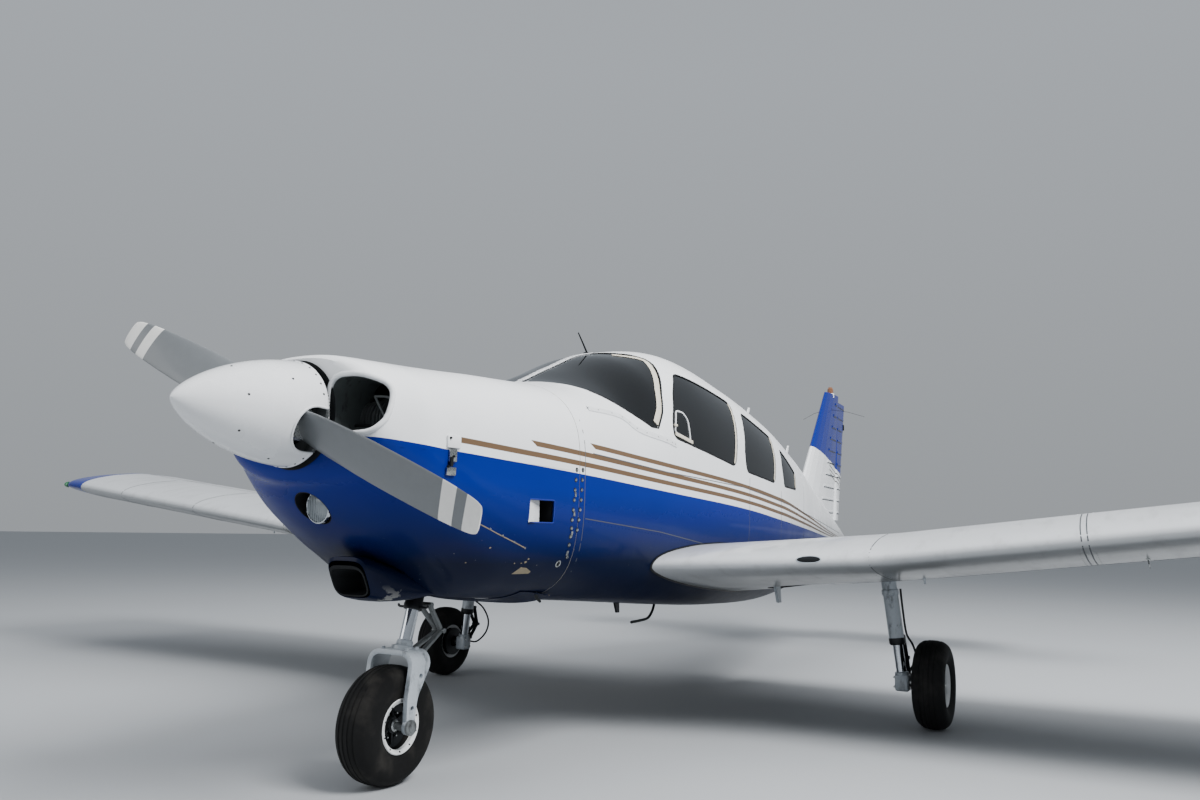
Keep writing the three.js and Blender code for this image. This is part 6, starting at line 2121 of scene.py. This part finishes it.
class AIRCRAFT_OT_nose_gear(bpy.types.Operator):
    """Nose leg: strut, piston, fork, links and axle"""
    bl_idname = "aircraft.nose_gear"
    bl_label = "Nose gear"

    def execute(self, context):
        radius = TYRE["radius"]

        def along(d, x=0.0):
            return Vector((x, d * math.sin(NOSE_RAKE) + AXLE_Y, radius + d * math.cos(NOSE_RAKE)))

        axis = (along(1) - along(0)).normalized()
        low = Vector((0, AXLE_Y, radius))
        body = "nose_leg_body"
        half, thick, top = FORK["half"], FORK["thick"], FORK["top"]
        hoops = []
        for margin in (0.0, thick):
            side = half - margin
            corners = [(-side, 0.1), (-side, top - margin), (side, top - margin), (side, 0.1)]
            hoops.append(front_prism(rounded(corners, FORK["round"] - margin, 10), -0.2, 0.3))
        fork = bmesh.new()
        station_block(fork, (-0.13, -0.1, 0.15), (0.13, 0.2, 0.55))
        piece = make(fork, "nose_fork", body, "cast_enamel", ["nose_leg"])
        carve(piece, [hoops[0]], "INTERSECT")
        carve(piece, [hoops[1]])
        holes = []
        for y, z in ((0.055, 0.405), (0.012, 0.29)):
            bm = bmesh.new()
            pipe(bm, (-0.2, y + AXLE_Y, z), (0.2, y + AXLE_Y, z), 0.01, sides=20)
            holes.append(cutter(bm))
        carve(piece, [prism(rounded(FORK_SIDE, 0.014, 5), -0.13, 0.13)], "INTERSECT")
        carve(piece, holes)
        soften(piece, 0.004, 3)

        bm = bmesh.new()
        spun(bm, [(0.0, 0.262), (0.026, 0.262), (0.026, 0.45), (0.0, 0.45)], low, axis, 40)
        make(bm, "nose_piston", body, "chromed_steel")
        bm = bmesh.new()
        strut = [(0.0, 0.44), (0.034, 0.44), (0.038, 0.444), (0.038, 0.462), (0.036, 0.466), (0.036, 0.54),
                 (0.04, 0.545), (0.04, 0.56), (0.0235, 0.562), (0.0235, 0.655), (0.0, 0.655)]
        spun(bm, strut, low, axis, 40)
        make(bm, "nose_strut", body, "oiled_steel")
        bm = bmesh.new()
        crown = [(0.0, 0.268), (0.044, 0.268), (0.048, 0.273), (0.046, 0.292), (0.034, 0.3), (0.031, 0.318),
                 (0.0265, 0.32), (0.0, 0.32)]
        spun(bm, crown, low, axis, 40)
        boss = [(0.0, 0.096), (0.026, 0.096), (0.028, 0.099), (0.028, 0.118), (0.024, 0.121), (0.0, 0.121)]
        for side in (-1, 1):
            spun(bm, boss, low, (side, 0, 0), 32)
            for y in (0.03, 0.088):
                studs(bm, [(Vector((side * 0.06, y + AXLE_Y, top)), Vector((0, 0, 1)))], 0.011, 0.007, 6)
        station_block(bm, (-0.03, 0.088, 0.47), (0.03, 0.128, 0.498), 0.006)
        make(bm, "nose_crown", body, "cast_enamel")
        bm = bmesh.new()
        axle = [(0.0, -0.128), (0.01, -0.128), (0.01, -0.124), (0.015, -0.124), (0.015, 0.124),
                (0.01, 0.124), (0.01, 0.128), (0.0, 0.128)]
        spun(bm, axle, low, (1, 0, 0), 28)
        cap = [(0.0, 0.132), (0.008, 0.132), (0.011, 0.13), (0.016, 0.13), (0.019, 0.127),
               (0.026, 0.127), (0.029, 0.124), (0.029, 0.114), (0.0, 0.114)]
        for side in (-1, 1):
            spun(bm, cap, low, (side, 0, 0), 32)
        make(bm, "nose_axle", body, "cast_aluminium")
        # Torque links: a pair of flat forks joined at the elbow, on lugs of strut and crown
        elbow = Vector((0, 0.296 + AXLE_Y, 0.552))
        bm = bmesh.new()
        for end, foot, spread_x in ((Vector((0, 0.158 + AXLE_Y, 0.48)), along(0.29), 0.03),
                                    (Vector((0, 0.196 + AXLE_Y, 0.662)), along(0.45), 0.026)):
            for side in (-1, 1):
                shift = Vector((side * spread_x, 0, 0))
                sweep(bm, [end + shift, elbow + Vector((side * 0.01, 0, 0))], 0.016, 0.022, sides=8, square=4,
                      axis=(1, 0, 0))
                sweep(bm, [foot + shift * 0.6, end + shift], 0.012, 0.026, sides=8, square=4, axis=(1, 0, 0))
            pipe(bm, end - Vector((0.04, 0, 0)), end + Vector((0.04, 0, 0)), 0.011)
        pipe(bm, elbow - Vector((0.03, 0, 0)), elbow + Vector((0.03, 0, 0)), 0.01)
        make(bm, "nose_links", body, "cast_aluminium")
        bm = bmesh.new()
        for side in (-1, 1):
            sweep(bm, smooth_path([along(0.452, side * 0.036), along(0.452, side * 0.068),
                                   along(0.46, side * 0.077)], 6),
                  0.01, sides=8)
        make(bm, "steering_arms", body, "oiled_steel")
        nose_well_lining()
        return {"FINISHED"}


class AIRCRAFT_OT_main_gear(bpy.types.Operator):
    """Main legs: trunnion, strut, piston, links, axle and brake"""
    bl_idname = "aircraft.main_gear"
    bl_label = "Main gear"

    def execute(self, context):
        x, y, leg, tube_low = MAIN["x"], MAIN["y"] + AXLE_Y, MAIN["leg"], MAIN["tube_low"]
        z = TYRE["radius"]
        for side, place in SIDES:
            def at(px, py, pz):
                return Vector((side * px, py, pz))

            def bolts(bm, places, normal, radius=0.008):
                studs(bm, [(at(*p), Vector((side * normal[0], normal[1], normal[2]))) for p in places],
                      radius, 0.006, 6)

            # The leg stands square to the raised wing
            foot = at(leg + 0.017, y, tube_low)
            up = Vector((-side * math.sin(WING["dihedral"]), 0, math.cos(WING["dihedral"])))
            bm = bmesh.new()
            tube = [(0.0, 0.0), (0.036, 0.0), (0.039, 0.004), (0.039, 0.235), (0.044, 0.24), (0.044, 0.262),
                    (0.039, 0.268), (0.039, 0.355), (0.0, 0.355)]
            spun(bm, tube, foot, up, 48)
            half = WELL["slot_half"] - 0.0005
            for vert in block(bm, (leg - 0.05, y - half, 0.66),
                              (leg + 0.056, y + half, WELL["slot_top"] - 0.0005), 0.006):
                point = raised(vert.co)
                vert.co = mirrored(point, side)
            make(bm, f"main_tube_{place}", "airframe", "cast_enamel", [f"main_leg_{place}"])
            bm = bmesh.new()
            pipe(bm, foot - up * 0.195, foot + up * 0.005, 0.026, sides=40)
            make(bm, f"main_piston_{place}", "airframe", "chromed_steel")
            bm = bmesh.new()
            collar = [(0.027, -0.02), (0.036, -0.02), (0.042, -0.01), (0.042, 0.014), (0.0385, 0.016),
                      (0.027, 0.01)]
            spun(bm, [*collar, collar[0]], foot, up, 48)
            make(bm, f"main_gland_{place}", "airframe", "oiled_steel")
            bm = bmesh.new()
            x0, x1 = sorted((side * (leg + 0.006), side * (leg + 0.078)))
            block(bm, (x0, y - 0.038, z - 0.046), (x1, y + 0.038, z + 0.04), 0.012, 3)
            collar = [(0.0, -0.215), (0.034, -0.215), (0.037, -0.205), (0.035, -0.16), (0.0265, -0.156)]
            spun(bm, collar, foot, up, 40)
            make(bm, f"main_block_{place}", "airframe", "cast_enamel")
            bm = bmesh.new()
            pipe(bm, at(leg + 0.03, y, z), at(x + 0.04, y, z), 0.0155, sides=28)
            bolts(bm, [(leg + 0.004, y + dy, z + dz) for dy in (-0.022, 0.022) for dz in (-0.026, 0.022)],
                  (-1, 0, 0))
            bolts(bm, [(x + 0.052, y, z)], (1, 0, 0), 0.014)
            make(bm, f"main_axle_{place}", "airframe", "plated_steel")
            bm = bmesh.new()
            elbow = at(leg + 0.03, y + 0.118, z + 0.112)
            for end in (at(leg + 0.04, y + 0.036, z + 0.03), at(leg + 0.014, y + 0.04, z + 0.228)):
                for shift in (-1, 1):
                    sweep(bm, [end + Vector((shift * 0.026, 0, 0)), elbow + Vector((shift * 0.009, 0, 0))],
                          0.013, 0.024, sides=8, square=4, axis=(1, 0, 0))
                pipe(bm, end - Vector((0.036, 0, 0)), end + Vector((0.036, 0, 0)), 0.011)
            pipe(bm, elbow - Vector((0.026, 0, 0)), elbow + Vector((0.026, 0, 0)), 0.01)
            make(bm, f"main_links_{place}", "airframe", "oiled_steel")
            bm = bmesh.new()
            inner = x - TYRE["half"] - 0.02
            x0, x1 = sorted((side * (inner - 0.044), side * inner))
            block(bm, (x0, y + 0.04, z - 0.03), (x1, y + 0.09, z + 0.03), 0.008, 3)
            bolts(bm, [(inner - 0.046, y + 0.065, z + dz) for dz in (-0.018, 0.018)], (-1, 0, 0), 0.007)
            make(bm, f"calliper_{place}", "airframe", "cast_aluminium")
            bm = bmesh.new()
            line = [at(leg + 0.036, y + 0.018, 0.7), at(leg + 0.044, y + 0.022, 0.6),
                    at(leg + 0.06, y + 0.026, 0.47),
                    at(leg + 0.085, y + 0.055, 0.41), at(leg + 0.095, y + 0.08, 0.34),
                    at(inner - 0.036, y + 0.085, 0.27), at(inner - 0.028, y + 0.07, 0.25)]
            # On the starboard leg it loops clear behind the links
            if side < 0:
                line = [at(leg - 0.01, y + 0.036, 0.5), at(leg - 0.045, y + 0.095, 0.445),
                        at(leg - 0.065, y + 0.13, 0.36),
                        at(leg - 0.045, y + 0.13, 0.28), at(leg + 0.01, y + 0.105, 0.22),
                        at(inner - 0.03, y + 0.085, 0.225)]
            sweep(bm, smooth_path(line, 7), 0.0115, sides=10)
            make(bm, f"brake_line_{place}", "airframe", "seal_rubber")
        return {"FINISHED"}


# Cabin fittings and seats


def floor_point(u, station):
    return Vector(((2 * u - 1) * (hull_half(station, FLOOR_Z) - 0.03), station + AXLE_Y, FLOOR_Z))


def panel_pieces():
    """Panel body with its hood, cut to the cabin's inner wall."""
    bm = bmesh.new()
    outline = rounded(PANEL, 0.006, 3)
    extruded(bm, [(-0.6, y + AXLE_Y, z) for y, z in outline], (1.2, 0, 0))
    piece = make(bm, "panel_body", "airframe", "panel_vinyl", ["instrument_panel"])
    carve(piece, [hull_solid(0.6, 1.3, 0.0355)], "INTERSECT")
    bm = bmesh.new()
    station_block(bm, (-0.43, 1.01, 1.2), (0.43, 1.0135, 1.535), 0.001)
    make(bm, "panel_face", "airframe", "panel_crackle")


def panel_dials():
    faces, rings, needles = bmesh.new(), bmesh.new(), bmesh.new()
    back = Vector((0, 1, 0))
    places = [(0.145 + 0.095 * c, 1.465 - 0.095 * r, 0.041) for r in range(2) for c in range(3)]
    places += [(-0.15 - 0.062 * c, 1.48 - 0.062 * r, 0.026) for r in range(3) for c in range(3)]
    places += [(0.15 + 0.07 * c, 1.285, 0.026) for c in range(3)]
    for index, (x, z, radius) in enumerate(places):
        centre = Vector((x, 1.0135 + AXLE_Y, z))
        studs(faces, [(centre, back)], radius, 0.001, 32)
        ring = [(radius, 0.0), (radius, 0.006), (radius - 0.003, 0.007), (radius - 0.005, 0.001),
                (radius, 0.0)]
        spun(rings, ring, centre, back, 32)
        turn = index * 1.9
        tip = centre + Vector((math.cos(turn), 0.0025 / radius, math.sin(turn))) * (radius * 0.8)
        sweep(needles, [centre + back * 0.002, tip], 0.003, 0.0015, sides=4)
        for k in range(10):
            a = TAU * k / 10
            spot = centre + Vector((math.cos(a), 0, math.sin(a))) * (radius * 0.82) + back * 0.0018
            studs(needles, [(spot, back)], 0.0018, 0.0008, 5)
    make(faces, "dial_faces", "airframe", "dial_face")
    make(rings, "dial_rings", "airframe", "panel_vinyl")
    make(needles, "dial_marks", "airframe", "gloss_enamel_white")
    # Centre stack: plain boxes with knobs, and the engine levers under them
    bm, knobs = bmesh.new(), bmesh.new()
    for k in range(4):
        z = 1.52 - k * 0.062
        station_block(bm, (-0.085, 1.01, z - 0.055), (0.08, 1.02, z), 0.003)
        for x in (-0.066, 0.061):
            spun(knobs, [(0.0, 0.018), (0.008, 0.018), (0.01, 0.012), (0.011, 0.0), (0.0, 0.0)],
                 (x, 1.02 + AXLE_Y, z - 0.028), (0, 1, 0), 16)
    for x in (-0.045, -0.01, 0.025):
        pipe(knobs, (x, 1.0 + AXLE_Y, 1.225), (x, 1.085 + AXLE_Y, 1.245), 0.004, sides=10)
        spun(knobs, [(0.0, 0.014), (0.01, 0.012), (0.014, 0.0), (0.01, -0.01), (0.0, -0.012)],
             (x, 1.09 + AXLE_Y, 1.246), (0, 1, 0.2), 16)
    make(bm, "radio_stack", "airframe", "dial_face")
    make(knobs, "panel_knobs", "airframe", "panel_vinyl")


def control_yokes():
    bm, shafts = bmesh.new(), bmesh.new()
    for x in (-YOKE["x"], YOKE["x"]):
        wheel_y, z, half = YOKE["wheel_y"] + AXLE_Y, YOKE["z"], YOKE["half"]
        pipe(shafts, (x, YOKE["y"] + AXLE_Y, z), (x, wheel_y, z), 0.0105)
        grip = [(x - half, wheel_y, z + 0.085), (x - half, wheel_y, z + 0.025),
                (x - half * 0.7, wheel_y, z - 0.012),
                (x, wheel_y, z - 0.004), (x + half * 0.7, wheel_y, z - 0.012), (x + half, wheel_y, z + 0.025),
                (x + half, wheel_y, z + 0.085)]
        sweep(bm, smooth_path(grip, 6), 0.024, sides=12)
        spun(bm, [(0.0, -0.016), (0.03, -0.016), (0.034, -0.01), (0.034, 0.01), (0.03, 0.016), (0.0, 0.016)],
             (x, wheel_y, z), (0, 1, 0), 28)
    make(bm, "yokes", "airframe", "panel_vinyl")
    make(shafts, "yoke_shafts", "airframe", "chromed_steel")


class AIRCRAFT_OT_inside(bpy.types.Operator):
    """Floor, bulkheads, panel, dials, yokes and compass"""
    bl_idname = "aircraft.inside"
    bl_label = "Cabin fittings"

    def execute(self, context):
        bm = bmesh.new()
        lay(bm, 16, 60, lambda u, v: floor_point(u, 0.545 + 3.2 * v))
        bmesh.ops.solidify(bm, geom=bm.faces[:], thickness=0.008)
        make(bm, "cabin_floor", "airframe", "cabin_carpet")
        bm = bmesh.new()
        hull_disc(bm, 3.64, 0.028, 0.006)
        hull_disc(bm, 0.535, 0.028, 0.004)
        make(bm, "bulkheads", "airframe", "cabin_lining")
        panel_pieces()
        panel_dials()
        control_yokes()
        bm = bmesh.new()
        post = top_spot(1.36, -0.012)[0]
        block(bm, post + Vector((-0.026, -0.03, -0.075)), post + Vector((0.026, 0.03, -0.012)), 0.01, 3)
        sweep(bm, [post + Vector((0, 0, -0.02)), post + Vector((0, 0.0, 0.006))], 0.014)
        make(bm, "compass", "airframe", "panel_vinyl")
        return {"FINISHED"}


def seat_pad(name, low, high, lean, replaced):
    """A crowned pad swelled by cloth pressure and leaned back along its height."""
    bm = bmesh.new()
    low, high = Vector(low) + Vector((0, AXLE_Y, 0)), Vector(high) + Vector((0, AXLE_Y, 0))
    middle, half = (low + high) / 2, (high - low) / 2

    def place(u, v):
        a, b = u * TAU, (v - 0.5) * math.pi
        ring = power(math.cos(b), 0.3)
        x, y, z = power(math.cos(a), 0.35) * ring, power(math.sin(a), 0.35) * ring, power(math.sin(b), 0.42)
        if lean:
            return Vector((x * half.x * (1 - 0.06 * z), y * half.y, z * half.z))
        return Vector((x * half.x, y * half.y, z * half.z))

    lay(bm, 64, 32, place)
    for vert in bm.verts:
        vert.co = middle + vert.co
        vert.co.y += lean * (vert.co.z - low.z) / (high.z - low.z)
    piece = make(bm, name, "airframe", "seat_weave", replaced, angle=80)
    swell(piece, 0.016)
    pad_piping(name, middle, half, lean)


def pad_piping(name, middle, half, lean):
    """Piped seam round the pad's edge."""
    bm = bmesh.new()
    if lean:
        def at(x, z):
            shift = lean * (z + 1) / 2
            return middle + Vector((x * half.x * (1 - 0.06 * z), shift - half.y * 0.86, z * half.z))
    else:
        def at(x, z):
            return middle + Vector((x * half.x, z * half.y, half.z * 0.86))
    loop = []
    for k in range(60):
        a = TAU * k / 60
        loop.append(at(power(math.cos(a), 0.35) * 0.97, power(math.sin(a), 0.35) * 0.97))
    sweep(bm, loop, 0.008, sides=8, loop=True)
    make(bm, f"{name}_piping", "airframe", "seat_piping")


def seat_belts(label, left, right, y, z):
    """Lap belt laid over the cushion with its buckle."""
    bm, buckle = bmesh.new(), bmesh.new()
    top = z + 0.128
    middle = (left + right) / 2
    path = smooth_path([(left + 0.01, y + 0.4 + AXLE_Y, z + 0.06), (left + 0.05, y + 0.36 + AXLE_Y, top),
                        (middle, y + 0.27 + AXLE_Y, top + 0.006), (right - 0.05, y + 0.36 + AXLE_Y, top),
                        (right - 0.01, y + 0.4 + AXLE_Y, z + 0.06)], 8)
    sweep(bm, [(p, Vector((0, -0.1, 1))) for p in path], 0.044, 0.003, sides=8, square=4)
    plate(buckle, (Vector((middle, y + 0.27 + AXLE_Y, top + 0.012)), Vector((0, 0, 1))), (0.07, 0.052, 0.012),
          (1, 0, 0), 0.003)
    make(bm, f"{label}_belt", "airframe", "seat_piping")
    make(buckle, f"{label}_buckle", "airframe", "plated_steel")


class AIRCRAFT_OT_seats(bpy.types.Operator):
    """Padded seats with their bases, piping and belts"""
    bl_idname = "aircraft.seats"
    bl_label = "Seats"

    def execute(self, context):
        for name, (x0, x1, y, z) in SEATS.items():
            count = 2 if name == "rear_bench" else 1
            width = (x1 - x0) / count
            for k in range(count):
                left, right = x0 + width * k + 0.012, x0 + width * (k + 1) - 0.012
                label = f"{name}_{k}" if count == 2 else name
                extra = [name] if k == 0 else []
                seat_pad(f"{label}_cushion", (left, y + 0.012, z + 0.012), (right, y + 0.44, z + 0.108), 0.0,
                         extra)
                seat_pad(f"{label}_back", (left, y + 0.42, z + 0.085), (right, y + 0.5, z + 0.6), 0.135, [])
                seat_belts(label, left, right, y, z)
            bm = bmesh.new()
            station_block(bm, (x0 + 0.06, y + 0.04, FLOOR_Z + 0.0005), (x1 - 0.06, y + 0.4, z + 0.01), 0.008)
            back = [(0.5, 0.06), (0.512, 0.06), (0.65, 0.6), (0.638, 0.604)]
            extruded(bm, [(x0 + 0.02, y + dy + AXLE_Y, z + dz) for dy, dz in back], (x1 - x0 - 0.04, 0, 0))
            make(bm, f"{name}_frame", "airframe", "panel_vinyl")
        return {"FINISHED"}


def swell(piece, reach):
    """Swells a pad with cloth pressure; no point moves further than reach."""
    scene = bpy.context.scene
    remesh = piece.modifiers.new("remesh", "REMESH")
    remesh.mode = "VOXEL"
    remesh.voxel_size = 0.009
    settle(piece, 80)
    start = [vert.co.copy() for vert in piece.data.vertices]
    cloth = piece.modifiers.new("cloth", "CLOTH")
    cloth.settings.use_pressure = True
    cloth.settings.uniform_pressure_force = 4.0
    cloth.settings.effector_weights.gravity = 0.0
    for frame_number in range(1, 21):
        scene.frame_set(frame_number)
    settle(piece, 80)
    scene.frame_set(1)
    for vert, origin in zip(piece.data.vertices, start):
        move = vert.co - origin
        if move.length > reach:
            vert.co = origin + move.normalized() * reach
    smooth = piece.modifiers.new("smooth", "SUBSURF")
    smooth.levels = smooth.render_levels = 1
    settle(piece, 80)


# Stage


def backdrop(context):
    """A pale world that meets the floor without a hard line and brightens upwards."""
    world = bpy.data.worlds.new("studio")
    context.scene.world = world
    world.use_nodes = True
    tree = world.node_tree
    _, _, rise = axes(tree, add_node(tree, "ShaderNodeTexCoord").outputs["Generated"])
    colour = blend_colour(tree, ramp(tree, rise, 0.0, 0.45), linear("#c9ced3"), linear("#dfe6ee"))
    background = tree.nodes["Background"]
    tree.links.new(colour, background.inputs[0])
    background.inputs[1].default_value = 0.6


class AIRCRAFT_OT_stage(bpy.types.Operator):
    """Floor, lamps and camera"""
    bl_idname = "aircraft.stage"
    bl_label = "Stage"

    def execute(self, context):
        stage = context.scene.aircraft_stage
        bm = bmesh.new()
        bmesh.ops.create_grid(bm, x_segments=1, y_segments=1, size=stage.floor)
        mesh = bpy.data.meshes.new("floor")
        bm.to_mesh(mesh)
        bm.free()
        floor = bpy.data.objects.new("floor", mesh)
        context.scene.collection.objects.link(floor)
        mesh.materials.append(look("studio_floor"))
        backdrop(context)
        # Lamp columns: name, place, aim, size and power in watts
        lamps = (
            ("key", (8.0, -3.0, 9.5), (0.0, -0.5, 1.0), 5.0, 2500.0),
            ("overhead", (0.0, 1.5, 10.0), (0.0, 1.0, 0.0), 12.0, 1000.0),
            ("fill", (-6.0, -9.5, 3.5), (0.0, -2.0, 1.0), 6.0, 240.0),
        )
        for name, place, aim, size, watts in lamps:
            lamp = bpy.data.lights.new(name, "AREA")
            lamp.size = size
            lamp.energy = watts
            obj = bpy.data.objects.new(name, lamp)
            obj.location = place
            obj.rotation_euler = (Vector(aim) - Vector(place)).to_track_quat("-Z", "Y").to_euler()
            obj.visible_glossy = name == "fill"
            context.scene.collection.objects.link(obj)

        forward = Vector((-math.sin(stage.yaw) * math.cos(stage.pitch),
                          math.cos(stage.yaw) * math.cos(stage.pitch), math.sin(stage.pitch)))
        level = Vector((math.cos(stage.yaw), math.sin(stage.yaw), 0))
        up = level.cross(forward)
        right = level * math.cos(stage.roll) + up * math.sin(stage.roll)
        top = up * math.cos(stage.roll) - level * math.sin(stage.roll)
        camera = bpy.data.cameras.new("camera")
        camera.lens = stage.lens
        camera.sensor_width = 36.0
        camera.sensor_fit = "HORIZONTAL"
        camera.clip_end = 300.0
        obj = bpy.data.objects.new("camera", camera)
        turned = Matrix((right, top, -forward)).transposed().to_4x4()
        obj.matrix_world = Matrix.Translation(stage.camera) @ turned
        context.scene.collection.objects.link(obj)
        context.scene.camera = obj
        return {"FINISHED"}


STEPS = (
    AIRCRAFT_OT_stage, AIRCRAFT_OT_cowling, AIRCRAFT_OT_cabin, AIRCRAFT_OT_glazing, AIRCRAFT_OT_hull_trim,
    AIRCRAFT_OT_propeller, AIRCRAFT_OT_engine, AIRCRAFT_OT_wings, AIRCRAFT_OT_tail, AIRCRAFT_OT_wheels,
    AIRCRAFT_OT_nose_gear, AIRCRAFT_OT_main_gear, AIRCRAFT_OT_inside, AIRCRAFT_OT_seats,
)


class AIRCRAFT_PT_steps(bpy.types.Panel):
    bl_idname = "AIRCRAFT_PT_steps"
    bl_label = "Light aircraft"
    bl_space_type = "VIEW_3D"
    bl_region_type = "UI"
    bl_category = "Aircraft"

    def draw(self, context):
        for step in STEPS:
            self.layout.operator(step.bl_idname)


GROUPS = (AircraftPaint, AircraftHull, AircraftStage)


def register():
    for cls in (*GROUPS, *STEPS, AIRCRAFT_PT_steps):
        bpy.utils.register_class(cls)
    bpy.types.Scene.aircraft_paint = PointerProperty(type=AircraftPaint)
    bpy.types.Scene.aircraft_hull = PointerProperty(type=AircraftHull)
    bpy.types.Scene.aircraft_stage = PointerProperty(type=AircraftStage)


def unregister():
    del bpy.types.Scene.aircraft_stage
    del bpy.types.Scene.aircraft_hull
    del bpy.types.Scene.aircraft_paint
    for cls in reversed((*GROUPS, *STEPS, AIRCRAFT_PT_steps)):
        bpy.utils.unregister_class(cls)


def main():
    register()
    for step in STEPS:
        family, name = step.bl_idname.split(".")
        getattr(getattr(bpy.ops, family), name)()


if __name__ == "__main__":
    main()
